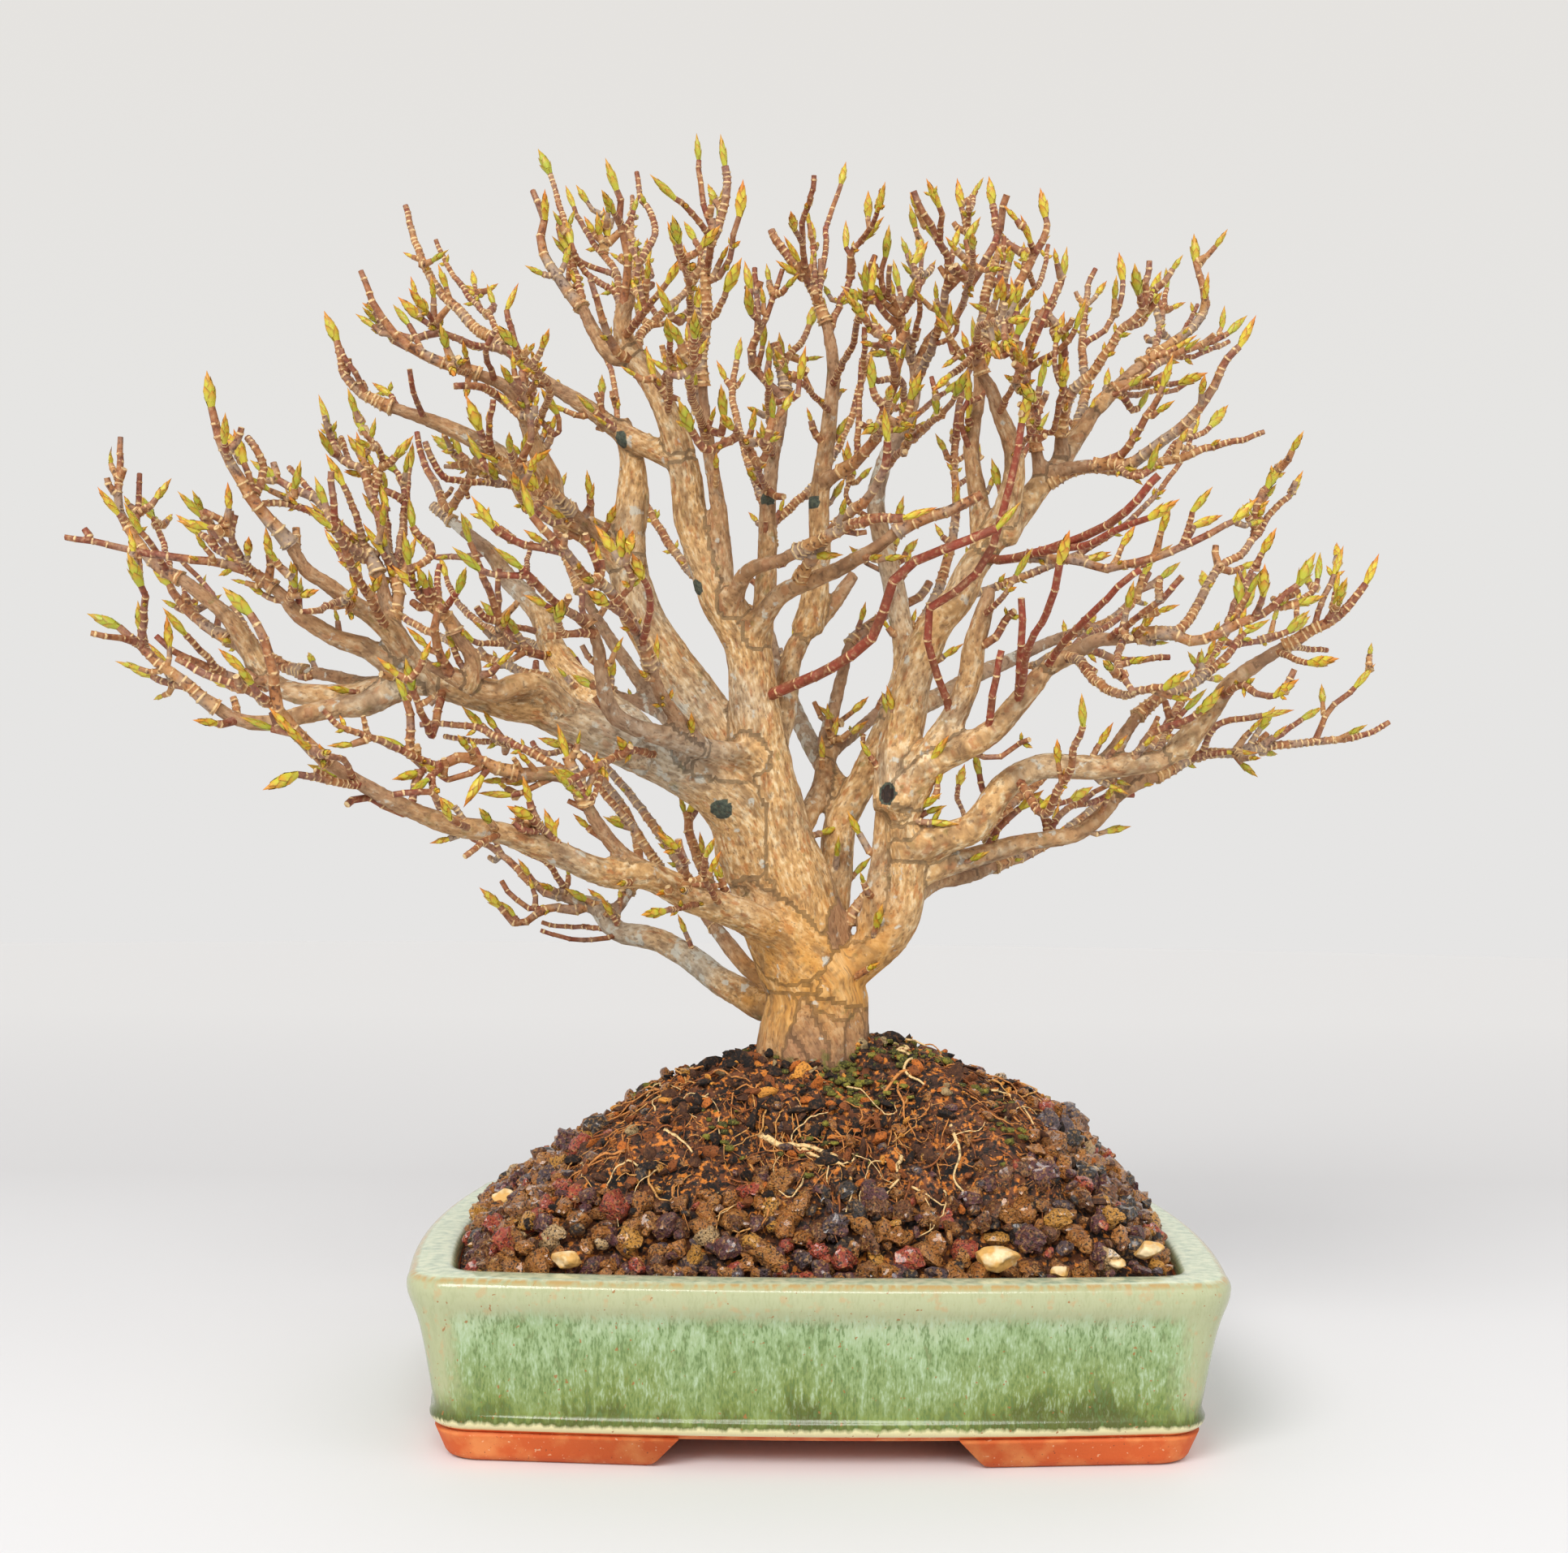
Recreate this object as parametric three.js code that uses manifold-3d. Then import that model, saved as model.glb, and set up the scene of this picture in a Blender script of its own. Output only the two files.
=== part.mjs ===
// Trident maple bonsai in its glazed pot, in millimetres, +Z up, the front of the pot towards -Y.
import * as THREE from "three";
import { mergeVertices } from "three/addons/utils/BufferGeometryUtils.js";
import Module from "manifold-3d";

const wasm = await Module();
wasm.setup();

// Pot: a rounded rectangle with bowed sides, standing on four corner feet
const POT_HALF_LENGTH = 90;
const POT_HALF_DEPTH = 68;
const POT_BOW = 4;
const POT_CORNER = 14;
const POT_HEIGHT = 40.3;
const FOOT_HEIGHT = 6;
const FLOOR_THICKNESS = 6;
const RIM_WIDTH = 10;
const FOOT_TOP_INSET = 7.5;
const FOOT_SOLE_INSET = 10;
const FOOT_WIDTH = 12;
const FOOT_SOLE_ROUND = 1.5;
const FRONT_GAP = { top: 30, sole: 36 };
const SIDE_GAP = { top: 26, sole: 31 };
const DRAIN_RADIUS = 7;
const DRAIN_SPACING = 45;
const CLEARANCE = 0.3;

// Inset of the pot's outer face from its widest outline, level by level: [height, inset]
const POT_OUTER = [[FOOT_HEIGHT, 10], [8.5, 7], [23, 3.6], [POT_HEIGHT - 2.5, 0], [POT_HEIGHT, 1.6]];
const POT_INNER = [[12, 16], [27, 12.5], [POT_HEIGHT + 0.6, RIM_WIDTH]];

// Root ball: a mound inside the rim, steeper to the right, with humps as [x, y, reach, height]
const MOUND_TOP = 87;
const MOUND_EDGE = 39.5;
const MOUND_END_RISE = 4;
const MOUND_FALL = { front: 1.35, left: 1.35, right: 2.15 };
const MOUND_HUMPS = [[-38, 2, 11, 3], [58, 0, 13, 5]];
const MOUND_FRONT_FLAT = 0.94;
const MOUND_END_NARROWNESS = 5;
const MOUND_SWELL = 1.3;
const MOUND_SEGMENTS = 48;
const MOUND_RINGS = [0.16, 0.34, 0.54, 0.72];
const MOUND_BOTTOM = 12.3;
const MOUND_WAIST = 24;

// Lava gravel: a band round the mound out to the pot's wall, with every third point raised as a grain
const GRAVEL_START = 0.74;
const GRAVEL_RINGS = [GRAVEL_START, 0.83, 0.92, 1];
const GRAVEL_DEPTH = 4.6;
const GRAVEL_LIFT = 0.5;
const GRAVEL_INNER_GAP = 0.008;
const CUTTER_WIDENING = 0.05;
const GRAIN_COLUMNS = 78;
const GRAIN_ROWS = 6;
const GRAIN_HOLLOW = { least: -1.7, most: -0.5 };
const GRAIN_RISE = { least: 1, most: 2.9 };
const GRAIN_STRAY = 0.3;

// Pale pebbles lying in the gravel along the front: [x, y, half length, half width, half height]
const PEBBLES = [
  [-55.4, -54.5, 3.5, 2.6, 2.2],
  [38.6, -55, 5.4, 3.4, 2.9],
  [73, -49.5, 3.9, 3, 2.1],
  [-73.5, -21, 3, 2.4, 2.2],
  [52.6, -56, 2.4, 1.7, 1.5],
  [65.6, -54, 1.9, 1.6, 1.4],
];

// Drain screens on the pot's floor
const SCREEN_SIDE = 24;
const SCREEN_THICKNESS = 1;
const SCREEN_HOLES = 3;
const SCREEN_PITCH = 6.5;
const SCREEN_HOLE = 4;

// Trunk foot and surface roots: height and radius up the trunk, then the roots' spread
const TRUNK_FOOT = [[60, 11.5], [76, 12.5], [88, 13], [98, 12.6], [106, 9]];
const TRUNK_LEAN = [-1, -1, 0, 1, 2];
const ROOT_COUNT = 9;
const ROOT_RADIUS = { start: 5, end: 1.2 };
const ROOT_REACH = { least: 24, most: 42 };

// Buds and the shape of a shoot
const BUD_LENGTH = 9;
const BUD_RADIUS = 1.45;
const BUD_POINT = 0.2;
const RING_STEP = 15;
const RING_STEP_BY_RADIUS = 2;

// The limbs are set out as seen from EYE on the upright plane through the pot's middle.
// Each route starts on the limb that carries it and ends at its own depth behind that plane.
const EYE = new THREE.Vector3(-13.65, -488, 130);

// name, carried by, radius at start, radius at end, depth of the tip, end, route as x,z
// (an indented line goes on with the row above it)
const LIMBS = `
T1 T0 10 3.4 -5 - 0,97 -6,110 -12,124 -16,136 -18,146 -24,160 -32,172 -39,182 -45,193 -48,205 -47,218
  -47,229 -50,240
T2 T0 9 2.2 -18 cut 5,100 -3,120 -8,134 -11,146 -14,158 -16,171 -18,184 -24,194 -28,204 -32,215 -34,228
  -37,238 -42,249 -49,259 -50,266 -48,272
T3 T0 4.8 1.6 30 cut 6,108 5,130 6,140 11,149 15,158 19,168 21,174 22,180 21,187 19,198 16,210 14,221
  17,232 22,241 24,251 22,260 20,266 20,272
T4 T0 5 4.3 -14 - 4,97 11,105 18,111 22,118 23,129 22,139 20,147
T5 T4 3.3 3 -10 - 13,107 14,112 15,122 17,134 17,145
T7 T2 2.9 1.4 42 - -5,132 1,149 2,160 4,168 6,176 8,184 12,188 19,193 25,196 28,200
FK T2 3.8 2 14 cut -10,155 -8,169 -7,179 -4,186 1,191 5,196 9,202
RU T4 5.4 3.6 -12 - 20,143 20,153 22,166 25,179 30,190 35,196 38,203 42,208 46,213
RV T4 4 2.4 -28 - 21,143 26,153 31,161 35,168 38,176 39,184 41,191 43,199
CD RU 3.6 1.3 8 cut 45,212 50,218 55,224 60,230 66,239 70,245 75,250 82,251 88,254
BM RU 3.4 1.3 -22 bud 44,211 48,222 49,230 48,236 45,243 43,249 40,254 39,260 38,268
BH RU 2.8 1 5 bud 41,207 40,220 38,235 40,248 40,258 41,268 42,276 45,285 44,291 42,304
RS1 T2 1.7 1.2 -58 bud -14,170 1,177 8,181 15,188 17,195 20,202 26,206 38,211 45,214 51,221
RS2 RV 1.3 1 -62 bud 34,165 27,192 35,198 40,203 43,208 45,215 48,226 50,236 53,250
DR0 RV 3.8 2.5 -32 - 22,146 28,154 36,158 44,163 51,171 59,181
RL1 T4 3.9 2.8 -22 - 22,133 32,136 38,138 42,142 46,148 51,152 56,154 63,154 73,154 80,155 86,156 92,159
RL2 T4 3 1.9 -4 - 22,126 32,129 45,133 52,135 58,136 64,137 70,141 75,147 79,153 84,159
RL3 T4 2.6 1.2 44 bud 22,121 30,125 36,126 41,128 43,132 44,138 48,144 54,149 62,157
BKR T3 3 1.2 66 bud 18,166 30,171 40,177 47,180 55,184 65,188 70,189 76,193 80,198 85,201 91,206
LM1 T1 8.5 3.2 -36 - -14,130 -19,142 -26,149 -33,153 -43,157 -53,161 -63,165 -70,168 -77,169 -85,171
  -94,173 -101,173 -107,172
LM2 LM1 5.2 1.6 34 cut -44,158 -48,163 -56,170 -63,177 -67,184 -69,190 -73,195 -78,200 -82,206 -87,210
  -92,214 -97,218
LM3 LM1 3.4 2 -46 - -60,164 -66,170 -70,173 -75,173 -81,171 -87,173 -93,176 -98,178
UL T1 4 0.9 -14 bud -48,203 -58,212 -66,216 -72,219 -76,226 -82,232 -90,236 -97,239 -103,241 -109,243
  -115,246 -119,250 -121,257 -125,267
FR T2 3.2 1.8 -56 - -15,156 -26,157 -33,159 -40,161 -46,163 -51,166 -53,171 -54,176 -55,183 -57,188
  -59,190
V1 T2 3.4 1.6 18 cut -16,172 -14,190 -13,205 -13,218 -12,230 -10,240 -9,250 -12,260
V2 T2 2.6 1 -34 bud -24,193 -24,206 -25,216 -27,228 -29,240 -30,255 -29,266 -29,282 -26,290 -24,298
  -25,308 -26,314
V3 FK 3.4 1.3 8 cut -3,187 -1,196 0,208 0,222 1,230 2,238 3,249 3,256 2,262 0,269 -4,277 -10,284 -13,289
V4 V3 2 1.1 -20 bud 0,224 6,228 10,231 14,236 16,243 19,251 19,260
HZ1 T2 2.5 1.1 -62 bud -22,191 -18,202 -10,205 0,210 8,214 16,216 22,216 30,219
HZ2 T2 2.9 1.4 -44 cut -18,184 -10,196 -2,200 5,203 10,206 15,209 20,213 26,216 33,218 41,222
HZ3 HZ2 1.9 1 -70 bud -6,198 0,208 5,215 12,221 16,228 17,236 16,245
A0 LM1 3 1.6 -48 - -99,172 -107,178 -113,182 -120,184 -125,187 -130,190 -134,195 -139,199 -144,202
A1 A0 1.4 0.9 -52 cut -142,201 -152,203 -160,204 -169,205 -178,207 -188,209
A3 A0 1.2 0.9 -62 cut -142,200 -146,207 -148,212 -154,216
F0 LM1 3 2.5 -30 - -103,172 -115,170 -126,170 -132,171 -137,174 -140,178
FU LM1 2.4 1.3 -8 cut -105,172 -114,173 -122,175 -130,176 -135,178 -139,181 -143,186 -146,192
B1 F0 2.6 0.8 -26 cut -139,177 -142,182 -148,190 -153,194 -158,198 -164,201 -169,206 -173,212 -175,216
  -175,228 -175,234
C1 F0 2.2 0.9 -14 bud -139,177 -144,182 -149,185 -154,188 -157,190 -160,194 -163,198 -167,203
E0 LM1 3 0.9 -56 bud -104,171 -112,168 -119,167 -128,165 -135,163 -142,163 -147,165 -153,169 -157,172
  -162,176 -166,179 -170,183 -174,186 -178,188 -183,190
E3 E0 1.1 0.8 -70 bud -169,182 -168,189 -168,195 -170,199 -173,206
F1 F0 1.5 0.9 -42 cut -136,173 -144,174 -150,176 -155,178 -160,180 -165,184
G0 LM1 3 0.8 -70 bud -96,172 -102,180 -106,185 -110,189 -118,194 -123,198 -128,201 -133,209 -139,215
  -145,224 -149,231 -152,240 -154,252
H0 G0 2.3 0.9 -38 bud -103,181 -107,190 -109,197 -111,203 -114,207 -120,212 -126,219 -136,224 -143,229
I1 H0 1.3 0.9 -54 cut -112,204 -118,208 -124,214 -130,217 -139,218
J0 H0 1.8 0.8 -30 bud -106,188 -105,195 -106,201 -108,206 -110,214 -112,220 -115,227 -118,228 -121,231
  -124,240 -126,246
K1 H0 1.2 0.8 -50 bud -113,206 -117,218 -119,222 -121,226 -124,231
K2 G0 1.4 0.9 -84 cut -108,187 -113,196 -116,201 -119,208 -121,213 -122,222 -122,226
L1 J0 1.1 0.8 -12 bud -107,204 -108,213 -109,221 -110,228
M1 J0 1 0.8 -20 bud -106,201 -104,217 -105,225 -108,228 -112,232
V5 J0 1.2 0.8 0 bud -105,196 -104,210 -103,220 -103,225 -102,234
LX LM3 2.2 1.3 -52 bud -87,173 -86,179 -90,185 -93,190 -98,194 -102,198 -107,203
LM4 LM2 1.5 0.9 -16 bud -70,176 -79,184 -80,190 -82,196 -84,200 -86,206 -88,210 -90,217
LM5 LM2 1.1 0.9 4 cut -68,186 -79,189 -80,196 -80,202
LM6 LM2 1.3 0.8 48 bud -83,206 -88,205 -93,205 -97,205 -98,207 -103,213
LM8 LM2 1.6 0.9 60 bud -66,182 -74,184 -84,188 -91,195 -95,206
LK LM1 1.3 0.9 -68 bud -93,172 -96,160 -98,164 -100,169 -102,174 -103,180
W1 UL 1.8 1 30 cut -84,233 -93,217 -96,223 -99,228 -101,236
T2X UL 2.2 0.9 -50 bud -54,209 -60,215 -68,222 -78,228 -83,232 -86,239 -89,246
T2D T2X 1.1 0.8 -84 bud -68,221 -73,217 -75,221 -77,227
VV1 UL 1.3 0.8 10 bud -76,226 -85,228 -90,230 -98,236
VV3 UL 1.2 0.9 -30 cut -74,222 -85,224 -90,224 -94,225 -97,229 -99,234
R1 UL 2.8 0.9 -24 cut -67,217 -67,224 -70,230 -73,237 -75,243 -79,248 -86,251 -95,254 -102,257 -108,262
  -112,268 -116,277
R4 R1 0.9 0.8 -52 bud -88,252 -91,252 -94,256
S1 R1 1.1 0.9 -86 bud -72,236 -68,248 -72,253 -75,256 -82,264
P1 T2 3 0.9 20 cut -35,229 -40,232 -50,237 -60,244 -70,250 -76,255 -81,259 -86,262 -92,268 -96,272
  -100,279 -102,284 -105,294
P2 P1 1.1 0.8 30 cut -80,258 -83,265 -88,270 -91,274 -94,278 -97,285
Q1 P1 1.3 0.8 -4 bud -79,257 -89,259 -94,261 -99,264 -103,267 -107,271
AF1 T2 1.6 0.9 -32 cut -46,254 -52,258 -55,266 -57,272 -58,276
AA1 T2 2.4 0.9 -8 cut -47,256 -52,256 -57,262 -60,268 -64,273 -69,280 -71,286 -70,291 -73,298
AB1 AA1 1.3 0.8 10 bud -59,267 -62,277 -64,285 -65,290 -68,300 -72,309
AC1 T2 1.4 0.8 22 bud -49,264 -51,270 -52,278 -57,284 -60,289 -62,292 -65,300
AD1 T2 1.4 0.8 -28 bud -48,268 -49,281 -51,290 -51,296 -53,301 -55,307
AE1 T2 1.4 0.8 0 cut -47,270 -48,273 -46,280 -43,285 -42,288 -43,292 -46,297 -47,303
AE2 AE1 1 0.8 40 cut -46,278 -48,288 -48,297
AG1 T2 1.3 0.8 -50 bud -48,262 -44,268 -41,272 -38,276 -35,282
AH1 T2 1.6 0.9 20 cut -43,250 -46,260 -40,267 -34,273 -31,278 -30,285 -28,289
AI1 AH1 1.1 0.8 20 bud -30,284 -28,289 -30,295 -31,302 -32,314
AR1 T2 1.5 0.8 -60 bud -40,245 -39,250 -35,258 -30,264 -26,268 -24,273 -22,278 -20,282
AS1 T2 1 0.8 -70 bud -38,240 -38,253 -38,257 -38,261 -39,267
AJ1 V2 1 0.8 -44 bud -29,275 -25,277 -23,283 -22,288 -21,293 -20,302
AK1 V2 1.1 0.8 -56 bud -29,279 -28,286 -34,294 -40,299 -44,303
AL1 V2 1.3 1 -98 bud -29,236 -30,240 -32,245 -33,250 -32,255 -32,268
AL2 V2 1.1 0.9 -88 bud -30,260 -33,268 -33,274 -35,281 -38,293
AN1 V1 1.3 0.9 28 cut -11,244 -17,256 -16,263 -16,270 -17,279
AO1 V1 1.3 0.8 8 cut -10,246 -18,256 -14,266 -12,272 -10,279
AP2 V1 1.4 0.9 34 bud -9,248 -10,254 -5,260 -3,265 -1,271
AN2 V1 1 0.8 -86 bud -12,232 -13,243 -13,254
AN3 V1 1 0.8 -78 bud -13,222 -18,233 -25,242
AP3 V3 1 0.8 -30 bud 2,243 -4,249 -8,252 -12,259
AP5 V3 1.1 0.8 -14 cut -3,276 -5,286 -5,291 -3,297 -2,303
AP7 V3 1.1 0.8 36 bud -1,272 1,284 1,289 2,293 4,298 6,307
AP8 V3 1.2 0.8 16 bud 2,262 5,271 7,276 8,281 6,285 6,292
BA1 AP8 1.2 0.8 4 bud 7,277 8,284 12,288 16,293
BC1 V3 1.2 0.8 -40 bud 3,250 6,256 8,260 9,265 11,270 11,282
BB1 T3 1.5 0.8 10 bud 23,256 20,262 19,270 16,273 15,278 16,282 17,291
BD1 V4 1.2 0.9 -84 bud 19,250 17,260 12,265 7,272
BE1 T3 1.2 0.8 44 bud 20,269 23,273 26,277 29,282
BF1 T3 1.6 1 -8 cut 24,250 29,262 31,272 32,282 30,285 28,290 25,294 23,299
BG1 T3 1.5 0.8 30 bud 24,253 28,263 32,265 35,269 37,274 38,281 37,288 36,292 35,296 34,303
BG3 BG1 1 0.8 -60 bud 36,270 38,279 38,289
BI1 BH 2 0.8 -6 bud 40,256 44,264 48,269 50,276 52,280 54,284 56,288 57,291 56,295 55,301
BI5 BH 1.2 0.8 30 cut 40,257 42,267 44,272 46,276 46,281
BJ1 BH 1.1 0.9 -80 bud 40,252 40,265 46,266 53,267
BJ2 BI1 0.9 0.8 -50 bud 47,268 50,270 54,275
BM3 BM 1.1 0.8 -54 bud 45,243 48,249 51,253 52,259
BM4 BM 0.9 0.8 -70 bud 48,232 55,243 50,251
BN1 T3 1.3 0.8 -24 cut 20,238 20,251 14,251 11,254 11,260 11,264
BN2 V4 1 0.8 -90 bud 14,236 16,241 18,250
BO1 T3 1.3 0.8 -48 bud 16,227 25,238 30,242 34,247 37,254
BP1 T3 1.2 0.8 52 bud 19,235 24,242 30,247 36,252
BK1 CD 2 0.9 -12 bud 55,225 54,236 52,246 52,255 53,262 55,267 59,273 61,279 62,286
BL1 CD 1.8 0.9 30 cut 63,235 65,241 67,250 66,257 66,264 67,274 69,280
BL2 BL1 1.1 0.8 24 bud 66,260 72,265 75,270 76,277 75,285
BL3 BK1 1.1 0.8 -26 bud 52,254 58,258 62,261 64,264 67,273
BL4 BK1 1 0.8 -40 bud 54,240 58,238 60,245 61,250 62,258
BL5 BK1 0.9 0.8 -54 bud 52,248 51,254 49,260
CA1 CD 2.2 0.9 20 bud 70,245 79,254 85,259 91,263 96,268 97,272 95,280 94,290
CB1 CD 2 0.9 -30 cut 60,231 61,242 63,248 68,253 71,257 74,262 76,265 80,268 82,272 82,277 83,282
CB3 CA1 1.2 0.8 40 bud 84,258 86,268 87,274 87,281
CC1 CD 2.1 0.9 -40 bud 57,226 62,229 70,230 79,231 86,236 94,243 99,250 103,258 108,263 110,269
CC2 CD 1.5 0.8 16 bud 79,251 85,256 91,259 99,262 103,264 108,269
CD1 CD 1.2 0.8 36 cut 73,248 80,248 84,249 89,249 92,251
CE1 CC1 1.4 0.8 -30 bud 68,230 76,233 80,239 83,244 86,249 89,259
CF1 CD 1.9 0.8 -16 cut 55,224 66,229 74,229 80,228 86,231 91,232 98,235 107,237 112,239
CF2 CF1 1 0.8 0 bud 86,231 90,236 97,239 103,246
CG1 RU 1.5 1.1 -68 cut 41,206 48,206 64,211 71,214 79,220 85,228
CG2 CG1 1.2 0.8 -78 bud 56,208 68,210 75,214 83,217 91,222
CI1 CG1 1.6 0.8 -52 bud 52,207 60,206 66,206 70,204 77,205 85,207 92,210 100,214 105,217 111,223
DR1 RL1 2.9 0.9 -38 bud 90,158 95,164 99,169 103,175 108,179 114,183 119,186 124,189 128,191 132,194
  135,198 139,203 141,209
DR10 DR1 1.3 0.8 -56 bud 101,172 106,175 110,173 114,172 118,174 121,177
DR2 DR0 2.3 0.8 -50 bud 58,180 65,183 70,186 75,186 80,187 86,188 95,186 100,188 105,190 109,192 113,194
  116,197 120,200 123,204 125,209
DR2C DR2 1 0.8 -32 bud 114,195 120,196 125,200 126,209
CH1 DR2 1.5 0.8 -20 bud 86,187 91,189 94,193 96,197 101,205 106,208 110,213 115,220 120,225 122,230
DR3 DR2 1 0.9 -64 cut 72,186 78,190 84,195 87,197 91,202
DR4 DR2 1.2 0.8 12 cut 61,181 67,187 72,189 77,193 80,197 83,203
RS6 DR0 1.2 0.9 -72 cut 57,179 62,186 67,191 71,195 76,200 81,204
DR7 DR0 1.5 1 -10 - 58,179 64,183 70,183 75,181 80,181 88,182
DR8 DR2 1.6 0.9 -76 bud 62,182 65,181 68,177 72,174 77,172 80,173 84,174 89,175 94,179
DR8B DR2 1.1 0.9 -84 cut 76,186 75,181 77,176 79,173
DR9 RL1 2.2 0.9 -4 bud 72,154 76,161 81,168 88,173 95,176 99,179 103,183 106,187 110,190 114,192
DR9B DR9 1.1 0.8 14 bud 105,185 114,187 119,189 124,193
DR9C RL1 1.2 0.9 50 bud 84,157 92,172 99,182 106,197 107,206
DR11 RL1 1.3 0.8 -34 bud 78,155 83,162 87,164 92,166 97,169 102,175
DR12 RL2 2 0.9 10 cut 76,148 85,152 95,157 104,158 115,160 126,161 138,163 143,166
DR12B DR12 1.1 0.8 -12 bud 96,157 99,164 103,166 108,167 120,169
DR12C DR12 1.1 0.8 26 bud 104,158 109,160 115,162 119,165 127,170
RL4 RL1 1.5 0.9 -62 bud 50,151 57,142 60,148 63,152 64,158 67,166 66,173
RL5 RL2 1.2 0.9 16 cut 56,136 63,144 68,145 73,147 79,147
RS4 DR0 1.2 1 -46 cut 50,170 51,184 51,196
RS5 DR0 1.2 1 -88 bud 50,170 53,185 57,192 59,198 60,203 63,214
LA1 T0 4.8 0.9 -88 bud -6,104 -18,116 -32,121 -42,126 -51,126 -64,131 -78,136 -91,138 -106,144 -115,149
  -124,155 -131,162 -135,168 -136,177 -141,189 -149,197
LA2 LA1 2.4 1.4 -46 bud -40,125 -47,130 -51,134 -54,138 -57,143 -59,148 -61,152 -65,164
LA6 LA1 1.2 0.9 -86 cut -131,162 -137,168 -145,172 -153,175 -160,179
LA7 LA1 1.2 0.8 -52 bud -60,129 -64,133 -68,137 -77,140
LAD LA1 1.1 0.8 -54 bud -33,122 -33,130 -40,137
LAE LA1 1 0.8 -64 bud -24,119 -28,127 -25,136
LAF LA1 1 0.8 -50 bud -28,120 -34,118 -44,116
LC1 LA2 1.4 0.9 -36 cut -60,150 -67,154 -73,157 -80,160 -84,162 -90,163 -99,163
LC2 LA2 2.1 1 -58 bud -60,150 -67,151 -74,151 -82,153 -88,155 -93,153 -98,153 -101,157 -101,163 -103,170
  -106,178
LC7 LC2 1.1 0.8 -72 cut -95,153 -107,158 -116,161 -120,163 -123,166
LCX LM1 1.2 0.9 -76 bud -38,155 -46,157 -51,155 -56,152 -60,150 -64,148 -66,153
FR2 FR 2.3 1 -80 bud -29,158 -34,164 -38,169 -40,173 -42,179 -44,184 -46,188 -50,194 -53,198 -58,200
  -63,206 -68,211 -72,216 -75,225
FR3 FR 1.3 0.9 -84 bud -58,189 -62,191 -65,193 -68,196 -72,200 -76,204 -82,208
FR5 FR 1.3 1 -66 cut -56,186 -63,186 -68,185
FR9 FR2 1.1 0.8 -96 bud -43,184 -42,194 -44,200 -47,207
LB1 T0 4.6 2.6 46 - -5,94 -12,94 -18,97 -25,101 -30,105 -35,108 -39,110 -44,111 -49,112 -52,115 -54,118
  -58,119 -63,121
LB2 T0 3 1.2 34 bud -8,98 -15,102 -20,107 -24,112 -28,118 -27,125 -30,132 -32,140 -28,148
LB3 LB1 1.8 0.9 42 bud -56,118 -61,117 -65,118 -69,116 -72,114 -75,114 -78,117 -84,123
LB4 LB1 1.6 0.8 60 bud -61,120 -66,121 -69,123 -72,125 -76,129 -80,132 -84,134 -88,136 -93,138
LB9 LB1 2 1 70 bud -51,115 -47,121 -44,130 -46,139 -52,148 -60,156 -70,160
LBA LB2 1.9 1 28 cut -28,119 -36,123 -39,128 -45,137 -50,143 -55,149 -58,156
BX1 T3 3 1 92 bud 8,145 -2,160 -10,178 -14,196 -12,212 -18,230 -22,246 -20,262
BX2 T2 3.2 1 88 bud -9,138 -24,150 -38,166 -50,182 -60,198 -66,214 -70,232 -78,246
BX3 T7 2.2 0.9 96 bud 2,156 14,166 26,180 36,196 44,214 50,230 58,244
BX4 BX2 2 0.9 70 bud -38,166 -54,172 -72,176 -88,182 -104,190 -116,200 -124,212
BX5 BX1 1.8 0.9 100 bud -14,190 -30,200 -42,216 -50,234 -52,250 -58,264
BX6 RL3 1.9 0.9 84 bud 40,127 56,134 72,146 84,160 94,176 104,190 110,200
BX7 BX1 1.7 0.9 74 bud -12,214 0,226 8,242 12,256 20,268 18,282
BX8 BX3 1.6 0.9 70 bud 36,196 52,202 66,208 80,218 90,230 96,244
BX9 LB2 1.8 0.9 84 bud -24,113 -36,132 -50,150 -66,166 -80,172 -94,178
BXA T3 1.8 0.9 58 bud 21,182 30,198 34,216 34,234 36,250 44,266 50,276
`;

// Small seeded random numbers, the same on every run
function seeded(seed) {
  let state = seed;
  return () => {
    state = (state + 0x6d2b79f5) | 0;
    let t = Math.imul(state ^ (state >>> 15), 1 | state);
    t = (t + Math.imul(t ^ (t >>> 7), 61 | t)) ^ t;
    return ((t ^ (t >>> 14)) >>> 0) / 4294967296;
  };
}

function mix(a, b, share) {
  return a + (b - a) * share;
}

// Reads a value at a place from a list of [place, value] in rising order
function along(table, place) {
  const last = table.length - 1;
  if (place <= table[0][0]) return table[0][1];
  if (place >= table[last][0]) return table[last][1];
  const k = table.findIndex((row) => row[0] >= place);
  const share = (place - table[k - 1][0]) / (table[k][0] - table[k - 1][0]);
  return mix(table[k - 1][1], table[k][1], share);
}

// Solids: a closed geometry becomes a manifold, and a manifold becomes a geometry
function toSolid(geometry) {
  const bare = geometry.index ? geometry.toNonIndexed() : geometry.clone();
  bare.deleteAttribute("normal");
  bare.deleteAttribute("uv");
  const merged = mergeVertices(bare, 1e-4);
  const mesh = new wasm.Mesh({
    numProp: 3,
    vertProperties: new Float32Array(merged.attributes.position.array),
    triVerts: new Uint32Array(merged.index.array),
  });
  mesh.merge();
  return new wasm.Manifold(mesh);
}

function toGeometry(solid) {
  const mesh = solid.getMesh();
  const geometry = new THREE.BufferGeometry();
  geometry.setAttribute("position", new THREE.BufferAttribute(new Float32Array(mesh.vertProperties), 3));
  geometry.setIndex(new THREE.BufferAttribute(new Uint32Array(mesh.triVerts), 1));
  geometry.computeVertexNormals();
  return geometry;
}

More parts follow.
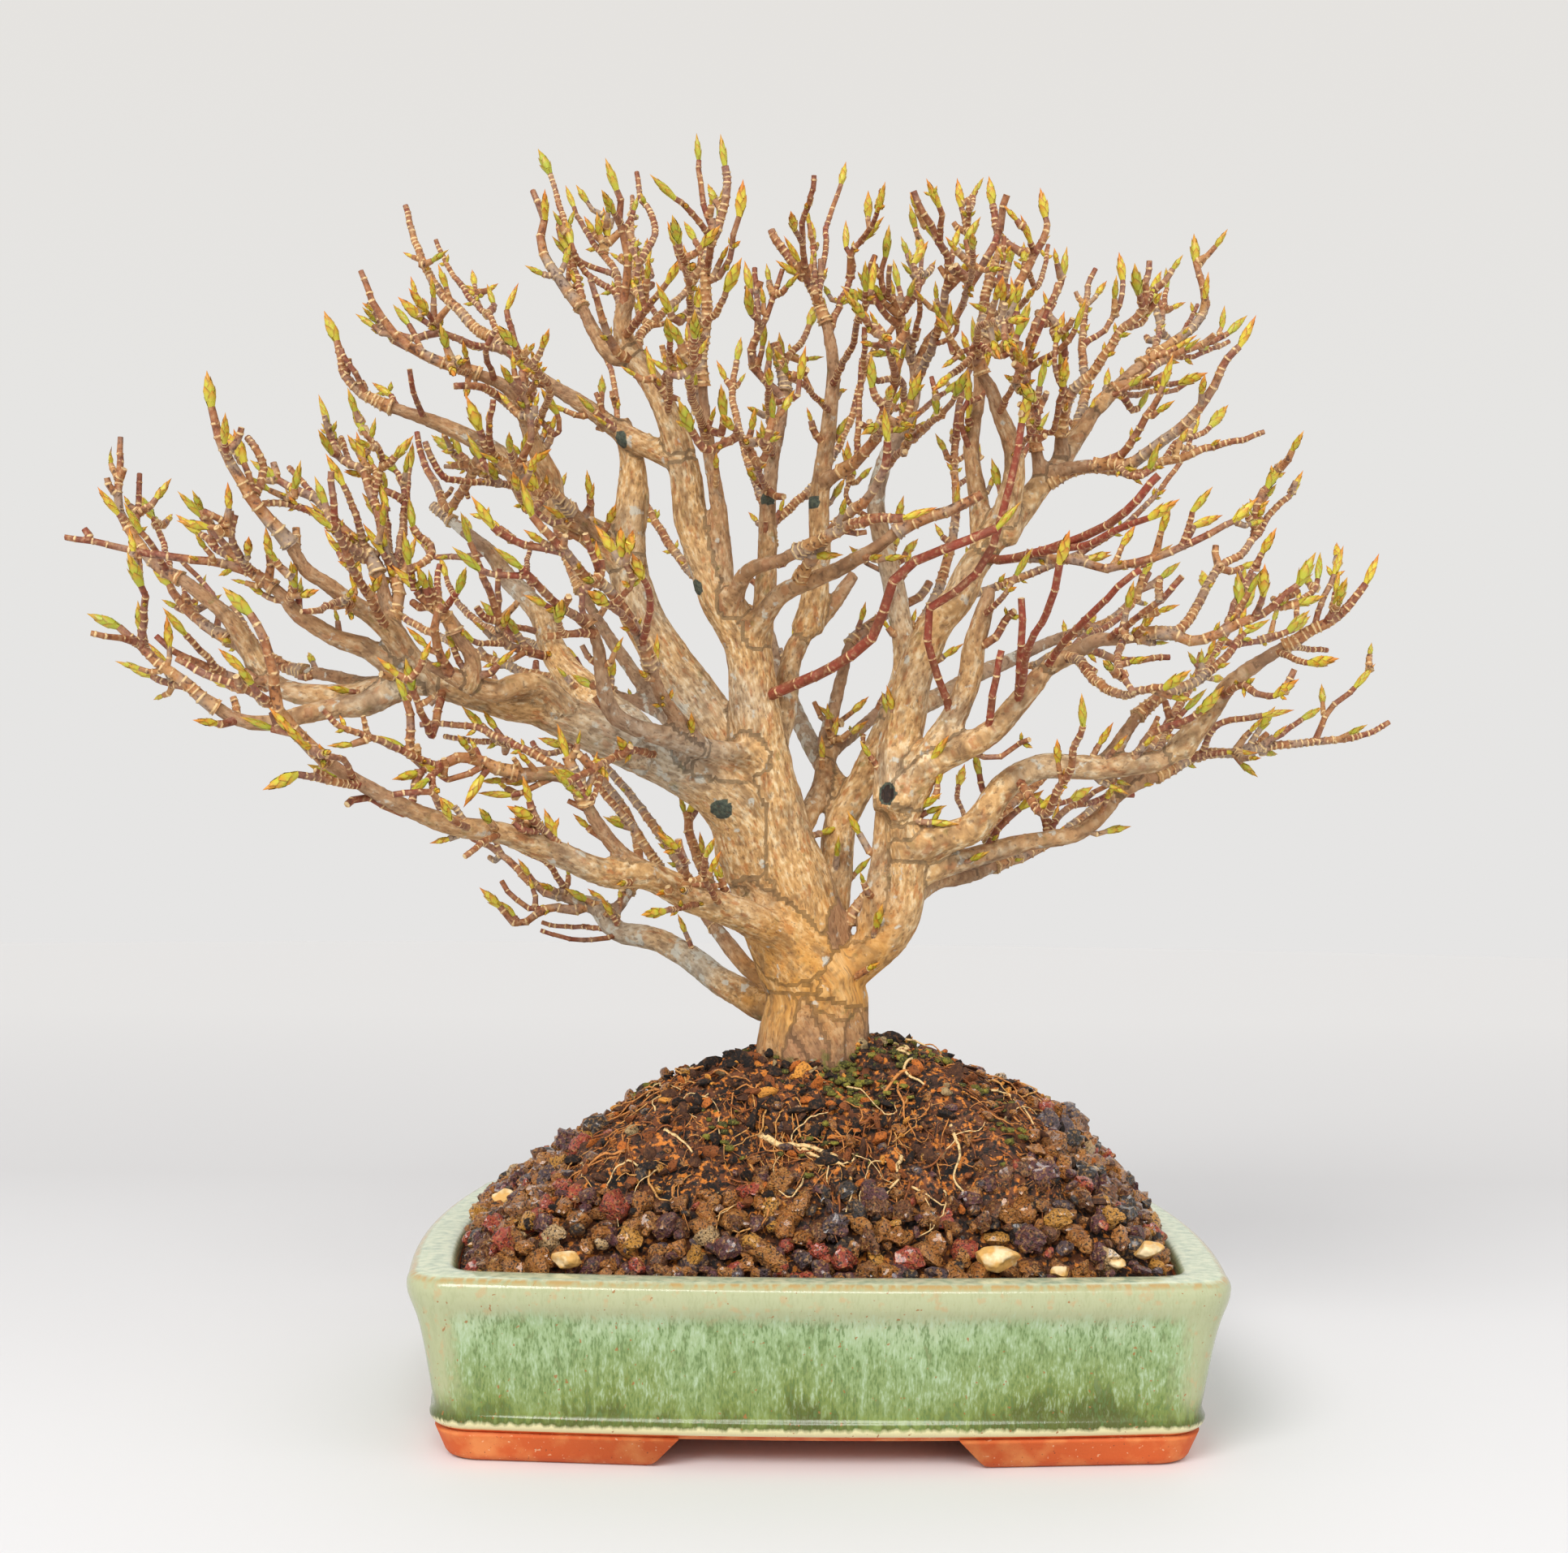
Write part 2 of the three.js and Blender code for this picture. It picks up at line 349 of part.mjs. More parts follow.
// Joins solids in pairs, so that no step works on a large body more often than needed
function joinAll(solids) {
  let layer = solids;
  while (layer.length > 1) {
    const next = [];
    for (let k = 0; k < layer.length; k += 2) {
      next.push(k + 1 < layer.length ? layer[k].add(layer[k + 1]) : layer[k]);
    }
    layer = next;
  }
  return layer[0];
}

// Keeps the largest of the separate bodies that a join or cut leaves
function largestBody(solid) {
  const bodies = solid.decompose();
  return bodies.reduce((best, body) => (body.volume() > best.volume() ? body : best), bodies[0]);
}

// Bends a straight cylinder along a curve, with a radius for each ring
const FRAME_STATIONS = 200;

function bentTube(curve, places, radii, sides) {
  const rings = places.length - 1;
  const geometry = new THREE.CylinderGeometry(1, 1, 1, sides, rings);
  const frames = curve.computeFrenetFrames(FRAME_STATIONS, false);
  const position = geometry.attributes.position;
  const point = new THREE.Vector3();
  for (let k = 0; k < position.count; k += 1) {
    const ring = Math.round((position.getY(k) + 0.5) * rings);
    const station = Math.round(places[ring] * FRAME_STATIONS);
    curve.getPointAt(places[ring], point);
    point.addScaledVector(frames.normals[station], position.getX(k) * radii[ring]);
    point.addScaledVector(frames.binormals[station], -position.getZ(k) * radii[ring]);
    position.setXYZ(k, point.x, point.y, point.z);
  }
  return toSolid(geometry);
}

// Pot outline: its half width in a direction, from arcs at the corners and bowed sides
function outlineShape(inset) {
  const halfLength = POT_HALF_LENGTH - inset;
  const halfDepth = POT_HALF_DEPTH - inset;
  const corner = Math.max(POT_CORNER - inset * 0.5, 4);
  const shape = new THREE.Shape();
  shape.moveTo(-halfLength + corner, -halfDepth);
  shape.quadraticCurveTo(0, -halfDepth - 2 * POT_BOW, halfLength - corner, -halfDepth);
  shape.quadraticCurveTo(halfLength, -halfDepth, halfLength, -halfDepth + corner);
  shape.quadraticCurveTo(halfLength + 2 * POT_BOW, 0, halfLength, halfDepth - corner);
  shape.quadraticCurveTo(halfLength, halfDepth, halfLength - corner, halfDepth);
  shape.quadraticCurveTo(0, halfDepth + 2 * POT_BOW, -halfLength + corner, halfDepth);
  shape.quadraticCurveTo(-halfLength, halfDepth, -halfLength, halfDepth - corner);
  shape.quadraticCurveTo(-halfLength - 2 * POT_BOW, 0, -halfLength, -halfDepth + corner);
  shape.quadraticCurveTo(-halfLength, -halfDepth, -halfLength + corner, -halfDepth);
  return shape;
}

const OUTLINE_STEPS = 5;

// A stack of outlines, one for each [height, inset] level
function outlineStack(levels) {
  const steps = levels.length - 1;
  const geometry = new THREE.ExtrudeGeometry(outlineShape(0), {
    depth: steps,
    steps,
    bevelEnabled: false,
    curveSegments: OUTLINE_STEPS,
  });
  const rings = levels.map(([, inset]) => outlineShape(inset).getPoints(OUTLINE_STEPS));
  const base = outlineShape(0).getPoints(OUTLINE_STEPS);
  const position = geometry.attributes.position;
  for (let k = 0; k < position.count; k += 1) {
    const level = Math.round(position.getZ(k));
    const x = position.getX(k);
    const y = position.getY(k);
    const corner = base.findIndex((p) => Math.hypot(p.x - x, p.y - y) < 1e-3);
    const moved = rings[level][corner];
    position.setXYZ(k, moved.x, moved.y, levels[level][0]);
  }
  return toSolid(geometry);
}

// Distance from the centre to an outline in a direction
function outlineReach(points, angle) {
  const dx = Math.cos(angle);
  const dy = Math.sin(angle);
  let reach = 0;
  for (let k = 0; k < points.length; k += 1) {
    const a = points[k];
    const b = points[(k + 1) % points.length];
    const ex = b.x - a.x;
    const ey = b.y - a.y;
    const det = dx * ey - dy * ex;
    if (Math.abs(det) < 1e-9) continue;
    const distance = (a.x * ey - a.y * ex) / det;
    const share = (a.x * dy - a.y * dx) / det;
    if (distance > 0 && share >= -1e-6 && share <= 1 + 1e-6) reach = Math.max(reach, distance);
  }
  return reach;
}

// Mound: its height at a direction and a share of the way to the wall
const wallPoints = outlineShape(RIM_WIDTH + 0.5).getPoints(12);

function humpHeight(angle, share) {
  const out = share * outlineReach(wallPoints, angle);
  return MOUND_HUMPS.reduce((sum, [x, y, reach, height]) => {
    const far = Math.hypot(out * Math.cos(angle) - x, out * Math.sin(angle) - y) / reach;
    return sum + height * Math.exp(-far * far);
  }, 0);
}

function moundHeight(angle, share) {
  const atEnd = Math.abs(Math.cos(angle)) ** MOUND_END_NARROWNESS;
  const endFall = Math.cos(angle) > 0 ? MOUND_FALL.right : MOUND_FALL.left;
  const fall = mix(MOUND_FALL.front, endFall, atEnd);
  const edge = MOUND_EDGE + MOUND_END_RISE * atEnd;
  const out = Math.min(share / mix(MOUND_FRONT_FLAT, 1, atEnd), 1);
  const swell = Math.sin(3 * angle + 7 * share) + Math.sin(7 * angle - 5 * share + 1.3);
  const level = edge + (MOUND_TOP - edge) * (1 - out ** fall);
  return level + MOUND_SWELL * 0.5 * swell * share * (1 - share) * 4 + humpHeight(angle, share);
}

function soilHeight(angle, share) {
  const under = share > GRAVEL_START - 0.01 ? GRAVEL_DEPTH : 0;
  return moundHeight(angle, share) - under;
}

// Turns a lathed body of (share, level) points into the mound's shape; level 1 is the top surface.
// Its columns run to evenly spaced points of the wall, so that they meet the pot's corners.
function moundBody(profile, columns, place) {
  const outline = profile.map(([share, level]) => new THREE.Vector2(share, level));
  const geometry = new THREE.LatheGeometry(outline, columns);
  const wall = outlineShape(RIM_WIDTH).getSpacedPoints(columns);
  const position = geometry.attributes.position;
  for (let k = 0; k < position.count; k += 1) {
    const column = Math.floor(k / profile.length) % columns;
    const angle = Math.atan2(wall[column].y, wall[column].x);
    const share = Math.hypot(position.getX(k), position.getZ(k));
    const [reach, height] = place(angle, share, position.getY(k), column);
    position.setXYZ(k, reach * Math.cos(angle), reach * Math.sin(angle), height);
  }
  return toSolid(geometry);
}

const WALL_GAP = 0.35;

function wallReach(angle, height) {
  return outlineReach(outlineShape(along(POT_INNER, height) + WALL_GAP).getPoints(12), angle);
}

// Soil under the gravel; a lifted and widened copy is what the gravel's underside is cut with
function soilSolid(lift, widening) {
  const top = [...MOUND_RINGS, ...GRAVEL_RINGS].map((share) => [share, 1]);
  const edge = widening > 0 ? [[1 + widening, 1]] : [];
  const outer = 1 + widening;
  const profile = [[0, 1], ...top, ...edge, [outer, 0.5], [outer, 0], [0.5, 0], [0, 0]].reverse();
  return moundBody(profile, MOUND_SEGMENTS, (angle, share, level) => {
    if (level === 1) {
      const height = soilHeight(angle, Math.min(share, 1));
      return [share * wallReach(angle, soilHeight(angle, 1)), height + lift];
    }
    const height = level === 0 ? MOUND_BOTTOM : MOUND_WAIST;
    return [share * wallReach(angle, height), height];
  });
}

// Limbs: reads the routes, seats each start on its carrier and gives every route its depth
function readLimbs() {
  const rows = LIMBS.trim().replace(/\n +/g, " ").split("\n");
  return rows.map((row) => {
    const [name, carrier, start, end, depth, finish, ...route] = row.split(" ");
    return {
      name,
      carrier,
      start: Number(start),
      end: Number(end),
      depth: Number(depth),
      finish,
      route: route.map((pair) => pair.split(",").map(Number)),
    };
  });
}

function fromEye(x, z, depth) {
  const share = (depth - EYE.y) / -EYE.y;
  return new THREE.Vector3(mix(EYE.x, x, share), depth, mix(EYE.z, z, share));
}

// A limb goes outward first and turns up towards its tip
const SAMPLES = 60;
const DEPTH_EASE = 1.5;

function seatLimbs(limbs) {
  const trunk = TRUNK_FOOT.map(([height], k) => ({ x: TRUNK_LEAN[k], z: height, depth: 0 }));
  const carriers = new Map([["T0", trunk]]);
  for (const limb of limbs) {
    const [x0, z0] = limb.route[0];
    const host = carriers.get(limb.carrier);
    const seat = host.reduce((best, p) => {
      const far = Math.hypot(p.x - x0, p.z - z0);
      return far < best.far ? { far, p } : best;
    }, { far: Infinity, p: host[0] }).p;
    const flat = limb.route.map(([x, z]) => new THREE.Vector3(x, 0, z));
    flat[0].set(seat.x, 0, seat.z);
    const sight = new THREE.CatmullRomCurve3(flat, false, "centripetal");
    const samples = [];
    for (let k = 0; k <= SAMPLES; k += 1) {
      const p = sight.getPointAt(k / SAMPLES);
      const outward = 1 - (1 - k / SAMPLES) ** DEPTH_EASE;
      samples.push({ x: p.x, z: p.z, depth: mix(seat.depth, limb.depth, outward) });
    }
    carriers.set(limb.name, samples);
    const points = flat.map((p, k) => {
      const near = samples.reduce((best, s, i) => {
        const far = Math.hypot(s.x - p.x, s.z - p.z) + (k === 0 ? i : 0);
        return far < best.far ? { far, s } : best;
      }, { far: Infinity, s: samples[0] }).s;
      return fromEye(p.x, p.z, near.depth);
    });
    limb.curve = new THREE.CatmullRomCurve3(points, false, "centripetal");
    limb.length = limb.curve.getLength();
  }
  return limbs;
}

function sidesFor(radius) {
  if (radius > 7) return 8;
  if (radius > 4) return 6;
  if (radius > 2.4) return 5;
  if (radius > 1.7) return 4;
  return 3;
}

// One limb: rings at even steps, and a bud as the swollen end of a shoot
function limbSolid(limb) {
  const budShare = limb.finish === "bud" ? Math.min(BUD_LENGTH / limb.length, 0.6) : 0;
  const woody = 1 - budShare * 0.6;
  const step = RING_STEP + RING_STEP_BY_RADIUS * (limb.start + limb.end);
  const count = Math.max(1, Math.round((limb.length * woody) / step));
  const places = [];
  const radii = [];
  for (let k = 0; k <= count; k += 1) {
    const share = (k / count) * woody;
    places.push(share);
    radii.push(mix(limb.start, limb.end, share));
  }
  if (budShare > 0) {
    radii[count] = BUD_RADIUS;
    places.push(1);
    radii.push(BUD_POINT);
  }
  return bentTube(limb.curve, places, radii, sidesFor(limb.start));
}

// Trunk foot and the roots that run out over the mound and down into it
function trunkFoot(extra) {
  const points = TRUNK_FOOT.map(([height], k) => new THREE.Vector3(TRUNK_LEAN[k], 0, height));
  points[0].z -= extra;
  const curve = new THREE.CatmullRomCurve3(points);
  const count = TRUNK_FOOT.length - 1;
  const places = TRUNK_FOOT.map((_, k) => k / count);
  return bentTube(curve, places, TRUNK_FOOT.map(([, radius]) => radius + extra), 10);
}

function rootSolids(extra) {
  const random = seeded(4107);
  const solids = [];
  for (let k = 0; k < ROOT_COUNT; k += 1) {
    const angle = ((k + 0.35 * random()) / ROOT_COUNT) * 2 * Math.PI;
    const reach = mix(ROOT_REACH.least, ROOT_REACH.most, random());
    const thick = mix(0.75, 1.1, random());
    const points = [0.1, 0.4, 0.7, 1].map((share) => {
      const bend = angle + 0.3 * (random() - 0.5) * share;
      const out = share * reach;
      const rim = outlineReach(wallPoints, bend);
      const surface = moundHeight(bend, out / rim);
      const sunk = mix(-3, 2.4, share);
      return new THREE.Vector3(out * Math.cos(bend), out * Math.sin(bend), surface - sunk);
    });
    if (extra > 0) {
      const onward = new THREE.Vector3().subVectors(points[3], points[2]).normalize();
      points.push(points[3].clone().add(onward));
    }
    const curve = new THREE.CatmullRomCurve3(points);
    const places = [0, 0.33, 0.66, 1];
    const radii = places.map((share) => mix(ROOT_RADIUS.start, ROOT_RADIUS.end, share) * thick + extra);
    solids.push(bentTube(curve, places, radii, 4));
  }
  return solids;
}

function makeTree() {
  const limbs = seatLimbs(readLimbs()).map(limbSolid);
  return largestBody(joinAll([trunkFoot(0), ...rootSolids(0), ...limbs]));
}

// Root ball: the soil block with the mound on top, and holes for the trunk, roots and screens
function makeRootBall(screens) {
  const hollow = joinAll([trunkFoot(0.4), ...rootSolids(0.4), ...screens]);
  return largestBody(soilSolid(0, 0).subtract(hollow));
}

function pebbleSolid([x, y, halfLength, halfWidth, halfHeight], extra) {
  const geometry = new THREE.SphereGeometry(1, 8, 6);
  geometry.rotateX(Math.PI / 2);
  geometry.scale(halfLength + extra, halfWidth + extra, halfHeight + extra);
  const angle = Math.atan2(y, x);
  const share = Math.hypot(x, y) / outlineReach(wallPoints, angle);
  geometry.translate(x, y, moundHeight(angle, share) + halfHeight * 0.45);
  return toSolid(geometry);
}

// Lava gravel: each grain stands alone among hollows, has its own height and lies a little astray
function makeGravel() {
  const random = seeded(905);
  const start = GRAVEL_START + GRAVEL_INNER_GAP;
  const rows = [];
  for (let row = 0; row <= GRAIN_ROWS; row += 1) {
    const stray = row > 0 && row < GRAIN_ROWS ? GRAIN_STRAY / GRAIN_ROWS : 0;
    const grains = [];
    for (let column = 0; column < GRAIN_COLUMNS; column += 1) {
      const range = (row + column) % 3 === 0 ? GRAIN_RISE : GRAIN_HOLLOW;
      const height = mix(range.least, range.most, random());
      grains.push({ height, shift: stray * (random() - 0.5) * (1 - start) });
    }
    rows.push({ share: mix(start, 1, row / GRAIN_ROWS), grains });
  }
  const top = rows.map(({ share }) => [share, 1]).reverse();
  const profile = [[start, 0], [1, 0], ...top, [start, 0]];
  const band = moundBody(profile, GRAIN_COLUMNS, (angle, share, level, column) => {
    const rim = wallReach(angle, soilHeight(angle, 1));
    if (level === 0) return [share * rim, MOUND_WAIST];
    const row = rows[Math.round(((share - start) / (1 - start)) * GRAIN_ROWS)];
    const { height, shift } = row.grains[column];
    return [(share + shift) * rim, moundHeight(angle, share) + height];
  });
  const dimples = joinAll(PEBBLES.map((pebble) => pebbleSolid(pebble, CLEARANCE)));
  return largestBody(band.subtract(soilSolid(GRAVEL_LIFT, CUTTER_WIDENING)).subtract(dimples));
}

function boxSolid(low, high) {
  const size = new THREE.Vector3().subVectors(high, low);
  const geometry = new THREE.BoxGeometry(size.x, size.y, size.z);
  geometry.translate((low.x + high.x) / 2, (low.y + high.y) / 2, (low.z + high.z) / 2);
  return toSolid(geometry);
}

// A channel under the pot between two feet, narrower at the top than at the sole
function footChannel(gap, reach, turned) {
  const shape = new THREE.Shape();
  shape.moveTo(-gap.sole, -1);
  shape.lineTo(gap.sole, -1);
  shape.lineTo(gap.top, FOOT_HEIGHT);
  shape.lineTo(-gap.top, FOOT_HEIGHT);
  shape.closePath();
  const geometry = new THREE.ExtrudeGeometry(shape, { depth: 2 * reach, bevelEnabled: false });
  geometry.translate(0, 0, -reach);
  geometry.rotateX(Math.PI / 2);
  if (turned) geometry.rotateZ(Math.PI / 2);
  return toSolid(geometry);
}

function drainHole(x) {
  const geometry = new THREE.CylinderGeometry(DRAIN_RADIUS, DRAIN_RADIUS, 3 * FLOOR_THICKNESS, 16);
  geometry.rotateX(Math.PI / 2);
  geometry.translate(x, 0, FOOT_HEIGHT + FLOOR_THICKNESS / 2);
  return toSolid(geometry);
}

function makePot() {
  const body = outlineStack(POT_OUTER);
  const feet = outlineStack([
    [0, FOOT_SOLE_INSET + FOOT_SOLE_ROUND],
    [1, FOOT_SOLE_INSET],
    [FOOT_HEIGHT + 1.5, FOOT_TOP_INSET],
  ]);
  const between = outlineStack([
    [-1, FOOT_SOLE_INSET + FOOT_WIDTH],
    [FOOT_HEIGHT, FOOT_TOP_INSET + FOOT_WIDTH + 2],
  ]);
  const channels = footChannel(FRONT_GAP, 100, false).add(footChannel(SIDE_GAP, 120, true));
  const standing = feet.subtract(between).subtract(channels);
  const drains = drainHole(-DRAIN_SPACING).add(drainHole(DRAIN_SPACING));
  return largestBody(body.add(standing).subtract(outlineStack(POT_INNER)).subtract(drains));
}

// Drain screens: square plates with square holes, over the drain holes
function screenSolid(x) {
  const half = SCREEN_SIDE / 2;
  const top = MOUND_BOTTOM + SCREEN_THICKNESS;
  const corner = new THREE.Vector3(x - half, -half, MOUND_BOTTOM);
  let plate = boxSolid(corner, new THREE.Vector3(x + half, half, top));
  const reach = SCREEN_HOLE / 2;
  for (let i = 0; i < SCREEN_HOLES; i += 1) {
    for (let j = 0; j < SCREEN_HOLES; j += 1) {
      const cx = x + (i - (SCREEN_HOLES - 1) / 2) * SCREEN_PITCH;
      const cy = (j - (SCREEN_HOLES - 1) / 2) * SCREEN_PITCH;
      const low = new THREE.Vector3(cx - reach, cy - reach, MOUND_BOTTOM - 1);
      const high = new THREE.Vector3(cx + reach, cy + reach, top + 1);
      plate = plate.subtract(boxSolid(low, high));
    }
  }
  return plate;
}

function screenSpace(x) {
  const half = SCREEN_SIDE / 2 + CLEARANCE;
  const top = MOUND_BOTTOM + SCREEN_THICKNESS + CLEARANCE;
  const corner = new THREE.Vector3(x - half, -half, MOUND_BOTTOM - 1);
  return boxSolid(corner, new THREE.Vector3(x + half, half, top));
}

// Materials
const BARK = new THREE.MeshStandardMaterial({ color: "#a98a68", roughness: 0.85 });
const GLAZE = new THREE.MeshStandardMaterial({ color: "#86a878", roughness: 0.2 });
const SOIL = new THREE.MeshStandardMaterial({ color: "#3a2a1e", roughness: 0.95 });
const LAVA = new THREE.MeshStandardMaterial({ color: "#6a4030", roughness: 0.9 });
const PALE_STONE = new THREE.MeshStandardMaterial({ color: "#d9b078", roughness: 0.6 });
const SCREEN = new THREE.MeshStandardMaterial({ color: "#2c2f2c", roughness: 0.6 });

const bonsai = new THREE.Group();

function addPiece(name, solid, material) {
  const mesh = new THREE.Mesh(toGeometry(solid), material);
  mesh.name = name;
  bonsai.add(mesh);
}

addPiece("pot", makePot(), GLAZE);
addPiece("root_ball", makeRootBall([screenSpace(-DRAIN_SPACING), screenSpace(DRAIN_SPACING)]), SOIL);
addPiece("lava_gravel", makeGravel(), LAVA);
addPiece("tree", makeTree(), BARK);
addPiece("drain_screen_left", screenSolid(-DRAIN_SPACING), SCREEN);
addPiece("drain_screen_right", screenSolid(DRAIN_SPACING), SCREEN);
PEBBLES.forEach((pebble, k) => addPiece(`pale_pebble_${k + 1}`, pebbleSolid(pebble, 0), PALE_STONE));

// The origin is under the middle of the whole, on the surface that the feet stand on
const bounds = new THREE.Box3().setFromObject(bonsai, true);
const middle = bounds.getCenter(new THREE.Vector3());
bonsai.position.set(-middle.x, -middle.y, -bounds.min.z);

export default bonsai;
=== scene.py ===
"""Trident maple bonsai in a green glazed pot: the tree, its root ball, the lava grit and the pot.

Every class holds its sizes in millimetres, in the pot's own frame: the middle of the pot is x = 0, y = 0,
and the surface that the feet stand on is z = 0. Frame.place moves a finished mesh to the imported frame, in
metres. A profile is a row of heights and insets from the rim's outline. A pair of sizes is the least and
the greatest, or the one at the start and the one at the end.
"""

import logging
import math
import random
import re
from dataclasses import dataclass, field
from enum import Enum
from typing import Callable, Iterable, Optional, Sequence

import bmesh
import bpy
import numpy as np
from mathutils import Matrix, Vector, noise
from mathutils.kdtree import KDTree

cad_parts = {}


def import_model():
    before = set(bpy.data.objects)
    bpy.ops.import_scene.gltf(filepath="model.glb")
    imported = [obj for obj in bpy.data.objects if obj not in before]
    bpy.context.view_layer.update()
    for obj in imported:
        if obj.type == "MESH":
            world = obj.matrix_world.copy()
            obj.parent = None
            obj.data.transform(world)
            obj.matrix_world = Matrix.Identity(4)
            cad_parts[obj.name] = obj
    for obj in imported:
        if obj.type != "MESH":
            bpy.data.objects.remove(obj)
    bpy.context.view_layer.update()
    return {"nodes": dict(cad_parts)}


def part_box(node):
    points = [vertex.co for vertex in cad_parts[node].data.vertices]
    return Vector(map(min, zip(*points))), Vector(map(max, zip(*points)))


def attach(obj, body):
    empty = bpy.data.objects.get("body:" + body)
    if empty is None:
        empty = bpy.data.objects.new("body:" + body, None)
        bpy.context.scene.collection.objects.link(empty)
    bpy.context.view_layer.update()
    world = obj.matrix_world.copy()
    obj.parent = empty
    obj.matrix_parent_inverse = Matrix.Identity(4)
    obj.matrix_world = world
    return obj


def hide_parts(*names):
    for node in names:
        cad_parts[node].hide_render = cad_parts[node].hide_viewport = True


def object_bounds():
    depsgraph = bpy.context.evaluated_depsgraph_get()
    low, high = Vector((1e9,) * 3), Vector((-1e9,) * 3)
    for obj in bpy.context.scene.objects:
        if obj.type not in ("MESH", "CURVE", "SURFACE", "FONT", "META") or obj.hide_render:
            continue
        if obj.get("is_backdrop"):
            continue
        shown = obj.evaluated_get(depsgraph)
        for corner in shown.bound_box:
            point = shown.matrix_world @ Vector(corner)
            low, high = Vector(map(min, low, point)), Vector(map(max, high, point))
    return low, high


log = logging.getLogger("bonsai")

MM = 0.001

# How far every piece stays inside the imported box, in millimetres
BOX_MARGIN = 0.02

# The limbs were sighted from this point on the upright plane through the pot's middle
EYE = np.array([-13.65, -488.0, 130.0])

